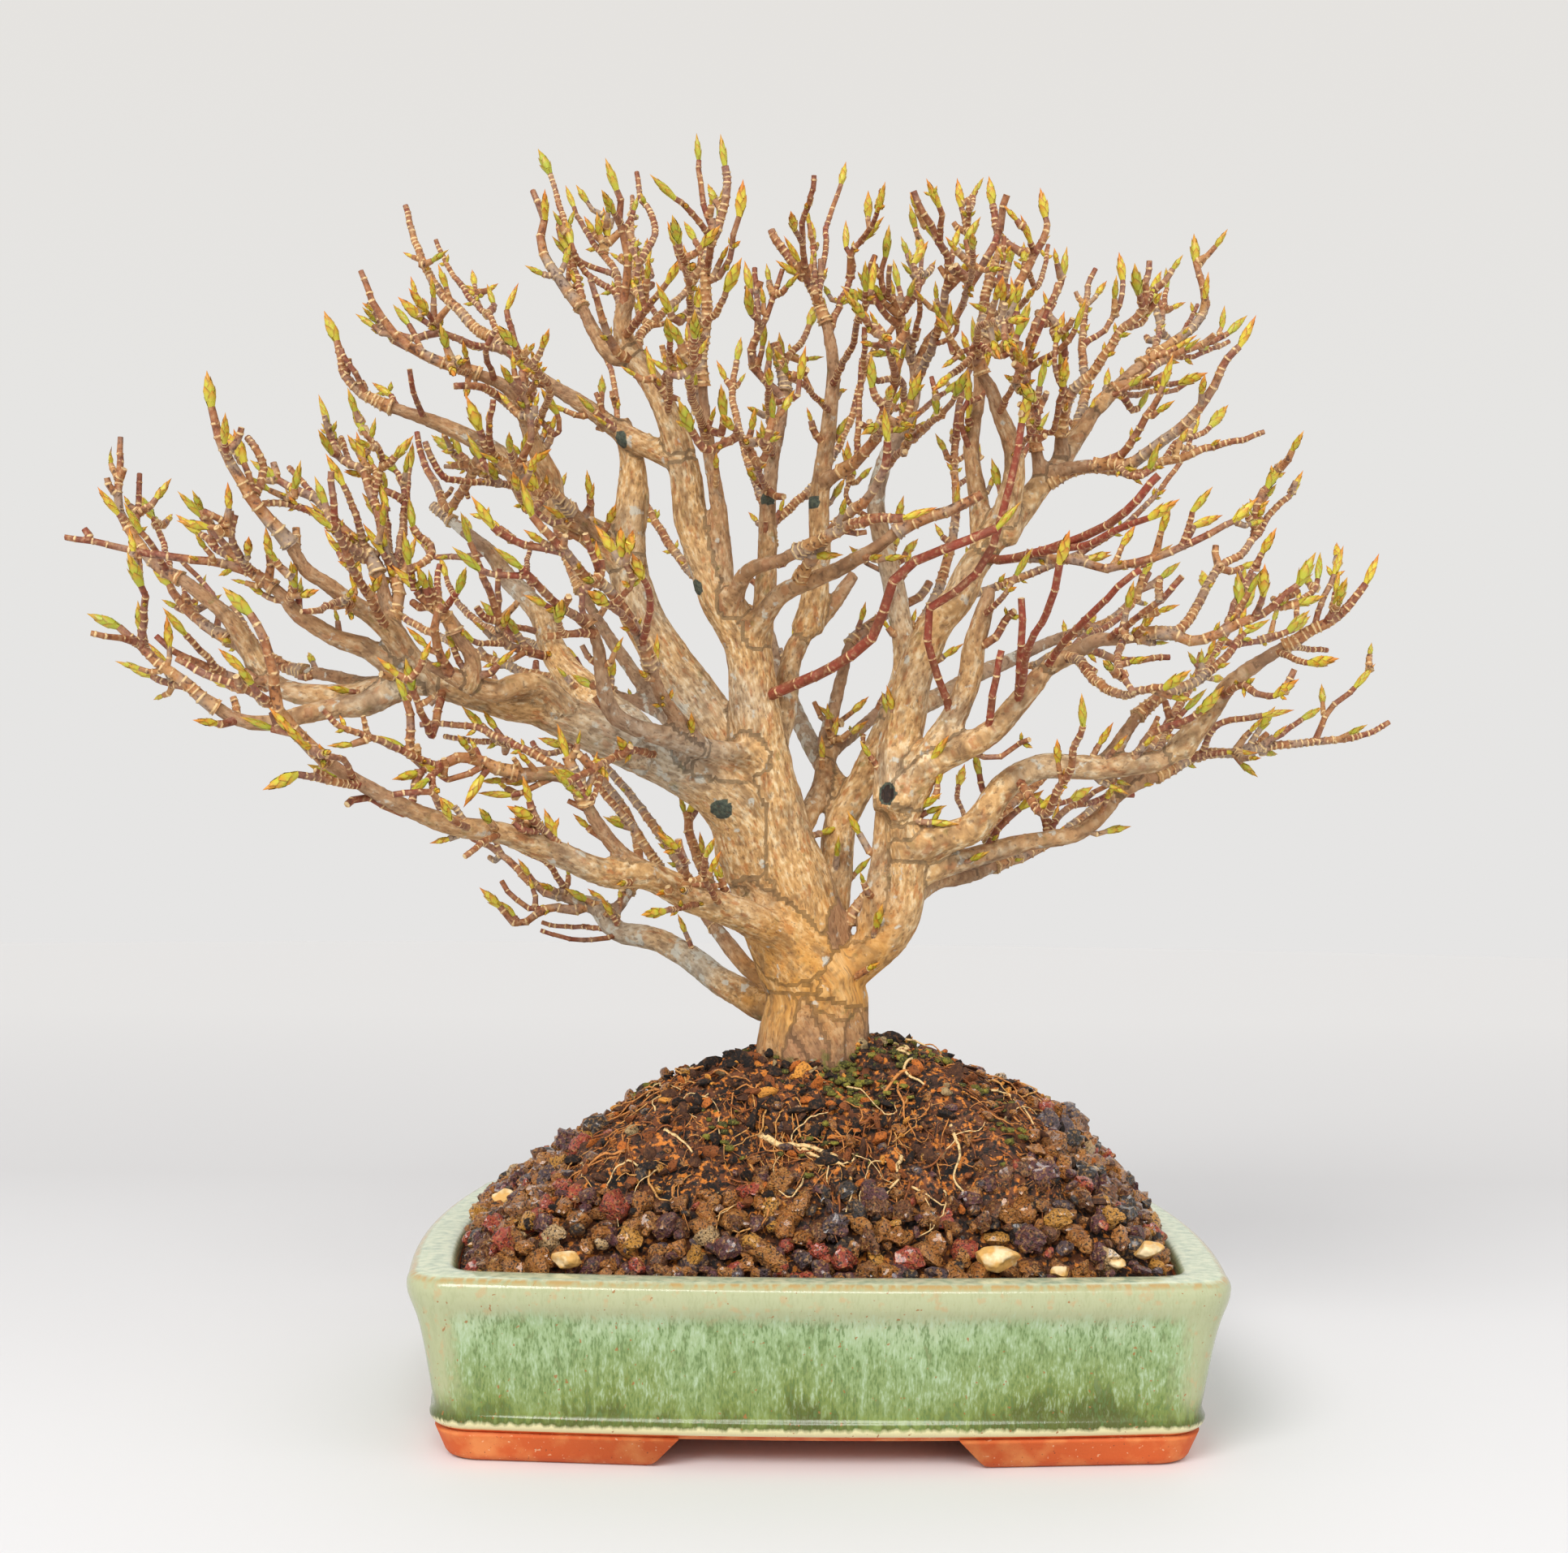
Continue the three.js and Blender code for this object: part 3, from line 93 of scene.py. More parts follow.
# name, carried by, radius at start, radius at end, depth of the tip behind the plane, end, route as x,z
LIMBS = """
T1 T0 10 3.4 -5 - 0,97 -6,110 -12,124 -16,136 -18,146 -24,160 -32,172 -39,182 -45,193 -48,205 -47,218
  -47,229 -50,240
T2 T0 9 2.2 -18 cut 5,100 -3,120 -8,134 -11,146 -14,158 -16,171 -18,184 -24,194 -28,204 -32,215 -34,228
  -37,238 -42,249 -49,259 -50,266 -48,272
T3 T0 4.8 1.6 30 cut 6,108 5,130 6,140 11,149 15,158 19,168 21,174 22,180 21,187 19,198 16,210 14,221
  17,232 22,241 24,251 22,260 20,266 20,272
T4 T0 5 4.3 -14 - 4,97 11,105 18,111 22,118 23,129 22,139 20,147
T5 T4 3.3 3 -10 - 13,107 14,112 15,122 17,134 17,145
T6 T0 2 1.7 -6 - 6,108 11,119 15,124
T7 T2 2.9 1.4 42 - -5,132 1,149 2,160 4,168 6,176 8,184 12,188 19,193 25,196 28,200
FK T2 3.8 2 14 cut -10,155 -8,169 -7,179 -4,186 1,191 5,196 9,202
RU T4 5.4 3.6 -12 - 20,143 20,153 22,166 25,179 30,190 35,196 38,203 42,208 46,213
RV T4 4 2.4 -28 - 21,143 26,153 31,161 35,168 38,176 39,184 41,191 43,199
CD RU 3.6 1.3 8 cut 45,212 50,218 55,224 60,230 66,239 70,245 75,250 82,251 88,254
BM RU 3.4 1.3 -22 bud 44,211 48,222 49,230 48,236 45,243 43,249 40,254 39,260 38,268
BH RU 2.8 1 5 bud 41,207 40,220 38,235 40,248 40,258 41,268 42,276 45,285 44,291 42,304
RS1 T2 1.7 1.2 -58 bud -14,170 1,177 8,181 15,188 17,195 20,202 26,206 38,211 45,214 51,221
RS2 RV 1.3 1 -62 bud 34,165 27,192 35,198 40,203 43,208 45,215 48,226 50,236 53,250
DR0 RV 3.8 2.5 -32 - 22,146 28,154 36,158 44,163 51,171 59,181
RL1 T4 3.9 2.8 -22 - 22,133 32,136 38,138 42,142 46,148 51,152 56,154 63,154 73,154 80,155 86,156 92,159
RL2 T4 3 1.9 -4 - 22,126 32,129 45,133 52,135 58,136 64,137 70,141 75,147 79,153 84,159
RL3 T4 2.6 1.2 44 bud 22,121 30,125 36,126 41,128 43,132 44,138 48,144 54,149 62,157
BKR T3 3 1.2 66 bud 18,166 30,171 40,177 47,180 55,184 65,188 70,189 76,193 80,198 85,201 91,206
LM1 T1 8.5 3.2 -36 - -14,130 -19,142 -26,149 -33,153 -43,157 -53,161 -63,165 -70,168 -77,169 -85,171
  -94,173 -101,173 -107,172
LM2 LM1 5.2 1.6 34 cut -44,158 -48,163 -56,170 -63,177 -67,184 -69,190 -73,195 -78,200 -82,206 -87,210
  -92,214 -97,218
LM3 LM1 3.4 2 -46 - -60,164 -66,170 -70,173 -75,173 -81,171 -87,173 -93,176 -98,178
UL T1 4 0.9 -14 bud -48,203 -58,212 -66,216 -72,219 -76,226 -82,232 -90,236 -97,239 -103,241 -109,243
  -115,246 -119,250 -121,257 -125,267
FR T2 3.2 1.8 -56 - -15,156 -26,157 -33,159 -40,161 -46,163 -51,166 -53,171 -54,176 -55,183 -57,188
  -59,190
V1 T2 3.4 1.6 18 cut -16,172 -14,190 -13,205 -13,218 -12,230 -10,240 -9,250 -12,260
V2 T2 2.6 1 -34 bud -24,193 -24,206 -25,216 -27,228 -29,240 -30,255 -29,266 -29,282 -26,290 -24,298
  -25,308 -26,314
V3 FK 3.4 1.3 8 cut -3,187 -1,196 0,208 0,222 1,230 2,238 3,249 3,256 2,262 0,269 -4,277 -10,284 -13,289
V4 V3 2 1.1 -20 bud 0,224 6,228 10,231 14,236 16,243 19,251 19,260
HZ1 T2 2.5 1.1 -62 bud -22,191 -18,202 -10,205 0,210 8,214 16,216 22,216 30,219
HZ2 T2 2.9 1.4 -44 cut -18,184 -10,196 -2,200 5,203 10,206 15,209 20,213 26,216 33,218 41,222
HZ3 HZ2 1.9 1 -70 bud -6,198 0,208 5,215 12,221 16,228 17,236 16,245
A0 LM1 3 1.6 -48 - -99,172 -107,178 -113,182 -120,184 -125,187 -130,190 -134,195 -139,199 -144,202
A1 A0 1.4 0.9 -52 cut -142,201 -152,203 -160,204 -169,205 -178,207 -188,209
A2 A0 1.3 0.9 -40 bud -143,201 -150,206 -153,209 -157,212 -161,215
A3 A0 1.2 0.9 -62 cut -142,200 -146,207 -148,212 -154,216
A4 A3 0.9 0.8 -58 cut -147,210 -146,215
A5 A0 1.2 0.9 -60 bud -132,192 -131,197 -132,204
F0 LM1 3 2.5 -30 - -103,172 -115,170 -126,170 -132,171 -137,174 -140,178
FU LM1 2.4 1.3 -8 cut -105,172 -114,173 -122,175 -130,176 -135,178 -139,181 -143,186 -146,192
B1 F0 2.6 0.8 -26 cut -139,177 -142,182 -148,190 -153,194 -158,198 -164,201 -169,206 -173,212 -175,216
  -175,228 -175,234
B2 B1 1 0.8 -32 bud -173,212 -178,219 -181,222
B3 B1 1 0.8 -20 cut -171,209 -170,217 -170,225
B4 B1 1 0.8 -12 bud -161,200 -165,211 -168,216 -170,220
B5 B1 1 0.8 -40 bud -162,201 -168,209 -171,212 -174,218
C1 F0 2.2 0.9 -14 bud -139,177 -144,182 -149,185 -154,188 -157,190 -160,194 -163,198 -167,203
C2 C1 1 0.8 0 cut -155,189 -158,195 -159,198
E0 LM1 3 0.9 -56 bud -104,171 -112,168 -119,167 -128,165 -135,163 -142,163 -147,165 -153,169 -157,172
  -162,176 -166,179 -170,183 -174,186 -178,188 -183,190
E1 E0 1.1 0.8 -66 cut -170,182 -176,184 -181,185
E2 E0 1.2 0.8 -44 bud -157,172 -163,173 -168,175 -173,177
E3 E0 1.1 0.8 -70 bud -169,182 -168,189 -168,195 -170,199 -173,206
F1 F0 1.5 0.9 -42 cut -136,173 -144,174 -150,176 -155,178 -160,180 -165,184
F2 F1 1 0.8 -50 bud -148,176 -154,181 -158,185 -160,187 -164,192
G0 LM1 3 0.8 -70 bud -96,172 -102,180 -106,185 -110,189 -118,194 -123,198 -128,201 -133,209 -139,215
  -145,224 -149,231 -152,240 -154,252
G1 G0 1 0.8 -60 bud -139,215 -143,225 -145,230 -147,237
G2 G0 1 0.8 -78 bud -148,229 -149,233 -149,241
G3 G0 1.1 0.8 -78 cut -116,193 -121,193 -125,191 -129,191
H0 G0 2.3 0.9 -38 bud -103,181 -107,190 -109,197 -111,203 -114,207 -120,212 -126,219 -136,224 -143,229
H1 H0 1 0.8 -30 cut -125,218 -130,224 -133,227
I1 H0 1.3 0.9 -54 cut -112,204 -118,208 -124,214 -130,217 -139,218
I2 I1 0.9 0.8 -54 bud -131,217 -134,222
J0 H0 1.8 0.8 -30 bud -106,188 -105,195 -106,201 -108,206 -110,214 -112,220 -115,227 -118,228 -121,231
  -124,240 -126,246
J1 J0 1 0.8 -40 bud -121,230 -124,232 -126,237
J2 J0 1 0.8 -22 cut -117,228 -119,232 -120,235
K1 H0 1.2 0.8 -50 bud -113,206 -117,218 -119,222 -121,226 -124,231
K2 G0 1.4 0.9 -84 cut -108,187 -113,196 -116,201 -119,208 -121,213 -122,222 -122,226
L1 J0 1.1 0.8 -12 bud -107,204 -108,213 -109,221 -110,228
M1 J0 1 0.8 -20 bud -106,201 -104,217 -105,225 -108,228 -112,232
V5 J0 1.2 0.8 0 bud -105,196 -104,210 -103,220 -103,225 -102,234
LX LM3 2.2 1.3 -52 bud -87,173 -86,179 -90,185 -93,190 -98,194 -102,198 -107,203
LX1 LX 1.1 0.8 -66 bud -94,191 -90,197 -88,203
LX2 LX 1.1 0.8 -44 cut -95,192 -95,199 -95,203
LX3 LX 1 0.8 -60 bud -101,197 -103,206 -104,212
LX4 LM3 1.6 1 -58 cut -92,175 -95,182 -96,188 -94,193
LM4 LM2 1.5 0.9 -16 bud -70,176 -79,184 -80,190 -82,196 -84,200 -86,206 -88,210 -90,217
LM5 LM2 1.1 0.9 4 cut -68,186 -79,189 -80,196 -80,202
LM6 LM2 1.3 0.8 48 bud -83,206 -88,205 -93,205 -97,205 -98,207 -103,213
LM7 LM2 1.2 0.8 52 cut -71,193 -73,203 -72,209
LM8 LM2 1.6 0.9 60 bud -66,182 -74,184 -84,188 -91,195 -95,206
LK LM1 1.3 0.9 -68 bud -93,172 -96,160 -98,164 -100,169 -102,174 -103,180
W1 UL 1.8 1 30 cut -84,233 -93,217 -96,223 -99,228 -101,236
T2X UL 2.2 0.9 -50 bud -54,209 -60,215 -68,222 -78,228 -83,232 -86,239 -89,246
T2A T2X 1 0.8 -56 cut -82,231 -83,238 -82,245
T2B T2X 1 0.8 -40 bud -71,224 -75,232 -73,238
T2C T2X 1 0.8 -60 bud -75,226 -77,229 -78,237
T2D T2X 1.1 0.8 -84 bud -68,221 -73,217 -75,221 -77,227
U2 UL 1 0.8 -24 cut -99,240 -102,246 -103,252
U3 UL 1 0.8 -6 bud -106,242 -109,247 -113,249
VV1 UL 1.3 0.8 10 bud -76,226 -85,228 -90,230 -98,236
VV2 VV1 1 0.8 20 bud -83,227 -88,227 -94,229
VV3 UL 1.2 0.9 -30 cut -74,222 -85,224 -90,224 -94,225 -97,229 -99,234
R1 UL 2.8 0.9 -24 cut -67,217 -67,224 -70,230 -73,237 -75,243 -79,248 -86,251 -95,254 -102,257 -108,262
  -112,268 -116,277
R1B R1 1 0.8 -34 cut -82,250 -84,257 -82,262
R1C R1 1 0.8 -14 bud -100,256 -104,264 -108,269
R2 R1 1.6 1 -40 cut -74,240 -80,245 -83,247 -87,248 -92,248
R3 R1 1.1 0.9 -46 bud -76,244 -73,247 -71,252 -73,258
R4 R1 0.9 0.8 -52 bud -88,252 -91,252 -94,256
S1 R1 1.1 0.9 -86 bud -72,236 -68,248 -72,253 -75,256 -82,264
P1 T2 3 0.9 20 cut -35,229 -40,232 -50,237 -60,244 -70,250 -76,255 -81,259 -86,262 -92,268 -96,272
  -100,279 -102,284 -105,294
P2 P1 1.1 0.8 30 cut -80,258 -83,265 -88,270 -91,274 -94,278 -97,285
P3 P2 0.9 0.8 36 bud -86,268 -87,272 -88,278
P4 P1 1.1 0.8 6 bud -76,255 -78,263 -79,267 -79,270 -76,275
P5 P1 0.9 0.8 14 bud -99,277 -101,278 -100,281
Q1 P1 1.3 0.8 -4 bud -79,257 -89,259 -94,261 -99,264 -103,267 -107,271
Q2 Q1 1 0.8 -14 bud -95,262 -100,268 -104,273
AF1 T2 1.6 0.9 -32 cut -46,254 -52,258 -55,266 -57,272 -58,276
AA1 T2 2.4 0.9 -8 cut -47,256 -52,256 -57,262 -60,268 -64,273 -69,280 -71,286 -70,291 -73,298
AA2 AA1 0.9 0.8 -14 bud -70,290 -69,294 -70,299
AB1 AA1 1.3 0.8 10 bud -59,267 -62,277 -64,285 -65,290 -68,300 -72,309
AC1 T2 1.4 0.8 22 bud -49,264 -51,270 -52,278 -57,284 -60,289 -62,292 -65,300
AD1 T2 1.4 0.8 -28 bud -48,268 -49,281 -51,290 -51,296 -53,301 -55,307
AD2 AD1 1 0.8 -38 bud -51,290 -54,295 -56,299
AE1 T2 1.4 0.8 0 cut -47,270 -48,273 -46,280 -43,285 -42,288 -43,292 -46,297 -47,303
AE2 AE1 1 0.8 40 cut -46,278 -48,288 -48,297
AG1 T2 1.3 0.8 -50 bud -48,262 -44,268 -41,272 -38,276 -35,282
AH1 T2 1.6 0.9 20 cut -43,250 -46,260 -40,267 -34,273 -31,278 -30,285 -28,289
AH2 AH1 1 0.8 32 bud -41,266 -45,273 -46,281
AI1 AH1 1.1 0.8 20 bud -30,284 -28,289 -30,295 -31,302 -32,314
AR1 T2 1.5 0.8 -60 bud -40,245 -39,250 -35,258 -30,264 -26,268 -24,273 -22,278 -20,282
AS1 T2 1 0.8 -70 bud -38,240 -38,253 -38,257 -38,261 -39,267
AJ1 V2 1 0.8 -44 bud -29,275 -25,277 -23,283 -22,288 -21,293 -20,302
AJ2 V2 0.9 0.8 -30 bud -26,289 -26,293 -25,300
AJ3 V2 1 0.8 -20 bud -29,281 -31,284 -35,291
AK1 V2 1.1 0.8 -56 bud -29,279 -28,286 -34,294 -40,299 -44,303
AL1 V2 1.3 1 -98 bud -29,236 -30,240 -32,245 -33,250 -32,255 -32,268
AL2 V2 1.1 0.9 -88 bud -30,260 -33,268 -33,274 -35,281 -38,293
AN1 V1 1.3 0.9 28 cut -11,244 -17,256 -16,263 -16,270 -17,279
AO1 V1 1.3 0.8 8 cut -10,246 -18,256 -14,266 -12,272 -10,279
AO2 AO1 0.9 0.8 0 bud -14,264 -18,268 -19,275
AP2 V1 1.4 0.9 34 bud -9,248 -10,254 -5,260 -3,265 -1,271
AN2 V1 1 0.8 -86 bud -12,232 -13,243 -13,254
AN3 V1 1 0.8 -78 bud -13,222 -18,233 -25,242
AP3 V3 1 0.8 -30 bud 2,243 -4,249 -8,252 -12,259
AP4 V3 1.1 0.8 0 bud -3,275 -6,281 -10,288
AP5 V3 1.1 0.8 -14 cut -3,276 -5,286 -5,291 -3,297 -2,303
AP6 V3 1 0.8 22 bud -2,273 -2,284 -3,292
AP7 V3 1.1 0.8 36 bud -1,272 1,284 1,289 2,293 4,298 6,307
AP8 V3 1.2 0.8 16 bud 2,262 5,271 7,276 8,281 6,285 6,292
AP9 AP5 0.9 0.8 -20 bud -4,286 -7,289 -8,294
BA1 AP8 1.2 0.8 4 bud 7,277 8,284 12,288 16,293
BA2 BA1 0.9 0.8 -6 bud 10,286 13,291 16,302
BC1 V3 1.2 0.8 -40 bud 3,250 6,256 8,260 9,265 11,270 11,282
BB1 T3 1.5 0.8 10 bud 23,256 20,262 19,270 16,273 15,278 16,282 17,291
BB2 BB1 0.9 0.8 2 cut 17,272 17,280
BD1 V4 1.2 0.9 -84 bud 19,250 17,260 12,265 7,272
BE1 T3 1.2 0.8 44 bud 20,269 23,273 26,277 29,282
BE2 T3 1.1 0.8 16 cut 23,257 24,265 25,269 24,274
BE3 BE1 0.9 0.8 44 bud 24,274 25,281 25,285 24,290
BF1 T3 1.6 1 -8 cut 24,250 29,262 31,272 32,282 30,285 28,290 25,294 23,299
BF2 BF1 1 0.8 -16 bud 30,286 30,291 30,295 28,298 26,303
BF3 BF1 0.9 0.8 0 bud 29,287 27,289 25,294
BF4 BF1 1 0.8 10 bud 32,279 33,284 35,291
BG1 T3 1.5 0.8 30 bud 24,253 28,263 32,265 35,269 37,274 38,281 37,288 36,292 35,296 34,303
BG2 BG1 0.9 0.8 24 cut 37,288 37,292 37,297
BG3 BG1 1 0.8 -60 bud 36,270 38,279 38,289
BI1 BH 2 0.8 -6 bud 40,256 44,264 48,269 50,276 52,280 54,284 56,288 57,291 56,295 55,301
BI2 BI1 1 0.8 -14 bud 54,284 52,288 50,294
BI3 BI1 1 0.8 4 bud 51,278 51,282 51,287
BI4 BI1 1 0.8 12 cut 52,279 54,275 56,279 57,286
BI5 BH 1.2 0.8 30 cut 40,257 42,267 44,272 46,276 46,281
BJ1 BH 1.1 0.9 -80 bud 40,252 40,265 46,266 53,267
BJ2 BI1 0.9 0.8 -50 bud 47,268 50,270 54,275
BM2 BM 1.2 0.8 -40 bud 38,260 37,256 32,252 28,248
BM3 BM 1.1 0.8 -54 bud 45,243 48,249 51,253 52,259
BM4 BM 0.9 0.8 -70 bud 48,232 55,243 50,251
BN1 T3 1.3 0.8 -24 cut 20,238 20,251 14,251 11,254 11,260 11,264
BN2 V4 1 0.8 -90 bud 14,236 16,241 18,250
BO1 T3 1.3 0.8 -48 bud 16,227 25,238 30,242 34,247 37,254
BP1 T3 1.2 0.8 52 bud 19,235 24,242 30,247 36,252
BK1 CD 2 0.9 -12 bud 55,225 54,236 52,246 52,255 53,262 55,267 59,273 61,279 62,286
BK2 BK1 1 0.8 10 cut 53,259 56,266 59,271
BL1 CD 1.8 0.9 30 cut 63,235 65,241 67,250 66,257 66,264 67,274 69,280
BL2 BL1 1.1 0.8 24 bud 66,260 72,265 75,270 76,277 75,285
BL3 BK1 1.1 0.8 -26 bud 52,254 58,258 62,261 64,264 67,273
BL4 BK1 1 0.8 -40 bud 54,240 58,238 60,245 61,250 62,258
BL5 BK1 0.9 0.8 -54 bud 52,248 51,254 49,260
CA1 CD 2.2 0.9 20 bud 70,245 79,254 85,259 91,263 96,268 97,272 95,280 94,290
CA2 CA1 1 0.8 28 cut 90,263 93,267 95,271
CB1 CD 2 0.9 -30 cut 60,231 61,242 63,248 68,253 71,257 74,262 76,265 80,268 82,272 82,277 83,282
CB2 CB1 0.9 0.8 -38 bud 81,270 80,275 79,282
CB3 CA1 1.2 0.8 40 bud 84,258 86,268 87,274 87,281
CB4 CB1 0.9 0.8 -20 bud 82,270 84,275 86,280
CC1 CD 2.1 0.9 -40 bud 57,226 62,229 70,230 79,231 86,236 94,243 99,250 103,258 108,263 110,269
CC2 CD 1.5 0.8 16 bud 79,251 85,256 91,259 99,262 103,264 108,269
CC3 CC2 0.9 0.8 24 cut 88,257 94,258 99,260 103,262
CC4 CD 1 0.8 -10 bud 82,251 90,251 98,254
CD1 CD 1.2 0.8 36 cut 73,248 80,248 84,249 89,249 92,251
CE1 CC1 1.4 0.8 -30 bud 68,230 76,233 80,239 83,244 86,249 89,259
CF1 CD 1.9 0.8 -16 cut 55,224 66,229 74,229 80,228 86,231 91,232 98,235 107,237 112,239
CF2 CF1 1 0.8 0 bud 86,231 90,236 97,239 103,246
CG1 RU 1.5 1.1 -68 cut 41,206 48,206 64,211 71,214 79,220 85,228
CG2 CG1 1.2 0.8 -78 bud 56,208 68,210 75,214 83,217 91,222
CI1 CG1 1.6 0.8 -52 bud 52,207 60,206 66,206 70,204 77,205 85,207 92,210 100,214 105,217 111,223
CI2 CI1 1 0.8 -44 bud 91,210 93,213 95,216 98,217 102,218
DR1 RL1 2.9 0.9 -38 bud 90,158 95,164 99,169 103,175 108,179 114,183 119,186 124,189 128,191 132,194
  135,198 139,203 141,209
DR1A DR1 1 0.8 -46 bud 127,190 129,194 133,203
DR1B DR1 1 0.8 -30 bud 125,189 127,198 129,202 132,211
DR1C DR1 1 0.8 -24 cut 117,185 123,184 128,184
DR1D DR1 1 0.8 -50 bud 115,184 121,181 126,181 131,182
DR10 DR1 1.3 0.8 -56 bud 101,172 106,175 110,173 114,172 118,174 121,177
DR2 DR0 2.3 0.8 -50 bud 58,180 65,183 70,186 75,186 80,187 86,188 95,186 100,188 105,190 109,192 113,194
  116,197 120,200 123,204 125,209
DR2A DR2 1 0.8 -58 bud 110,192 112,199 112,206
DR2B DR2 1 0.8 -40 bud 101,188 106,195 105,204
DR2C DR2 1 0.8 -32 bud 114,195 120,196 125,200 126,209
CH1 DR2 1.5 0.8 -20 bud 86,187 91,189 94,193 96,197 101,205 106,208 110,213 115,220 120,225 122,230
CH2 CH1 0.9 0.8 -10 bud 94,193 97,199 96,204
DR3 DR2 1 0.9 -64 cut 72,186 78,190 84,195 87,197 91,202
DR4 DR2 1.2 0.8 12 cut 61,181 67,187 72,189 77,193 80,197 83,203
RS6 DR0 1.2 0.9 -72 cut 57,179 62,186 67,191 71,195 76,200 81,204
DR7 DR0 1.5 1 -10 - 58,179 64,183 70,183 75,181 80,181 88,182
DR8 DR2 1.6 0.9 -76 bud 62,182 65,181 68,177 72,174 77,172 80,173 84,174 89,175 94,179
DR8B DR2 1.1 0.9 -84 cut 76,186 75,181 77,176 79,173
DR9 RL1 2.2 0.9 -4 bud 72,154 76,161 81,168 88,173 95,176 99,179 103,183 106,187 110,190 114,192
DR9B DR9 1.1 0.8 14 bud 105,185 114,187 119,189 124,193
DR9C RL1 1.2 0.9 50 bud 84,157 92,172 99,182 106,197 107,206
DR11 RL1 1.3 0.8 -34 bud 78,155 83,162 87,164 92,166 97,169 102,175
DR12 RL2 2 0.9 10 cut 76,148 85,152 95,157 104,158 115,160 126,161 138,163 143,166
DR12A DR12 1 0.8 2 bud 125,161 127,167 130,171 134,174 140,181
DR12B DR12 1.1 0.8 -12 bud 96,157 99,164 103,166 108,167 120,169
DR12C DR12 1.1 0.8 26 bud 104,158 109,160 115,162 119,165 127,170
DR12D DR12 1.1 0.8 -8 bud 93,156 100,158 106,158 111,158
DR12E DR12 0.9 0.8 30 bud 126,161 132,162 136,164
RL4 RL1 1.5 0.9 -62 bud 50,151 57,142 60,148 63,152 64,158 67,166 66,173
RL5 RL2 1.2 0.9 16 cut 56,136 63,144 68,145 73,147 79,147
RL6 RL3 1 0.8 54 bud 43,134 38,140 35,147 37,155
RS3 DR0 1.2 1 -40 cut 42,162 44,173 46,183
RS4 DR0 1.2 1 -46 cut 50,170 51,184 51,196
RS5 DR0 1.2 1 -88 bud 50,170 53,185 57,192 59,198 60,203 63,214
LA1 T0 4.8 0.9 -88 bud -6,104 -18,116 -32,121 -42,126 -51,126 -64,131 -78,136 -91,138 -106,144 -115,149
  -124,155 -131,162 -135,168 -136,177 -141,189 -149,197
LA2 LA1 2.4 1.4 -46 bud -40,125 -47,130 -51,134 -54,138 -57,143 -59,148 -61,152 -65,164
LA3 LA1 1.2 0.9 -92 bud -113,148 -118,148 -123,149 -129,150 -138,146
LA4 LA1 1 0.8 -88 cut -115,149 -118,154 -122,155
LA5 LA1 0.9 0.8 -96 bud -121,153 -125,156 -130,159
LA6 LA1 1.2 0.9 -86 cut -131,162 -137,168 -145,172 -153,175 -160,179
LA7 LA1 1.2 0.8 -52 bud -60,129 -64,133 -68,137 -77,140
LA8 LA7 1 0.8 -46 bud -64,133 -66,137 -68,143
LA9 LA7 1 0.8 -40 bud -65,134 -69,137 -73,142
LAA LA1 1 0.8 -70 cut -79,136 -84,133 -87,130
LAB LA1 1 0.8 -76 bud -86,137 -90,139 -94,145
LAC LA2 1 0.8 -40 cut -56,142 -59,143 -62,144
LAD LA1 1.1 0.8 -54 bud -33,122 -33,130 -40,137
LAE LA1 1 0.8 -64 bud -24,119 -28,127 -25,136
LAF LA1 1 0.8 -50 bud -28,120 -34,118 -44,116
LC1 LA2 1.4 0.9 -36 cut -60,150 -67,154 -73,157 -80,160 -84,162 -90,163 -99,163
LC2 LA2 2.1 1 -58 bud -60,150 -67,151 -74,151 -82,153 -88,155 -93,153 -98,153 -101,157 -101,163 -103,170
  -106,178
LC3 LC2 1 0.8 -64 bud -97,153 -99,151 -106,149
LC4 LC2 1 0.8 -70 bud -93,153 -96,150 -102,145
LC5 LC2 1 0.8 -52 bud -81,153 -85,148 -88,142
LC6 LC2 1.1 0.8 -46 bud -64,151 -68,149 -73,146 -80,145 -85,146
LC7 LC2 1.1 0.8 -72 cut -95,153 -107,158 -116,161 -120,163 -123,166
LC8 LC1 1 0.8 -24 cut -76,158 -81,159 -86,159 -93,160
LCX LM1 1.2 0.9 -76 bud -38,155 -46,157 -51,155 -56,152 -60,150 -64,148 -66,153
FR2 FR 2.3 1 -80 bud -29,158 -34,164 -38,169 -40,173 -42,179 -44,184 -46,188 -50,194 -53,198 -58,200
  -63,206 -68,211 -72,216 -75,225
FR3 FR 1.3 0.9 -84 bud -58,189 -62,191 -65,193 -68,196 -72,200 -76,204 -82,208
FR4 FR 1 0.9 -56 cut -58,188 -59,192 -59,198
FR5 FR 1.3 1 -66 cut -56,186 -63,186 -68,185
FR6 FR5 0.9 0.8 -80 bud -64,186 -65,190 -64,195
FR7 FR 1.2 0.9 -44 bud -54,174 -58,172 -62,176
FR8 FR2 1.2 0.9 -92 bud -45,187 -48,190 -52,193 -58,197
FR9 FR2 1.1 0.8 -96 bud -43,184 -42,194 -44,200 -47,207
LB1 T0 4.6 2.6 46 - -5,94 -12,94 -18,97 -25,101 -30,105 -35,108 -39,110 -44,111 -49,112 -52,115 -54,118
  -58,119 -63,121
LB2 T0 3 1.2 34 bud -8,98 -15,102 -20,107 -24,112 -28,118 -27,125 -30,132 -32,140 -28,148
LB3 LB1 1.8 0.9 42 bud -56,118 -61,117 -65,118 -69,116 -72,114 -75,114 -78,117 -84,123
LB4 LB1 1.6 0.8 60 bud -61,120 -66,121 -69,123 -72,125 -76,129 -80,132 -84,134 -88,136 -93,138
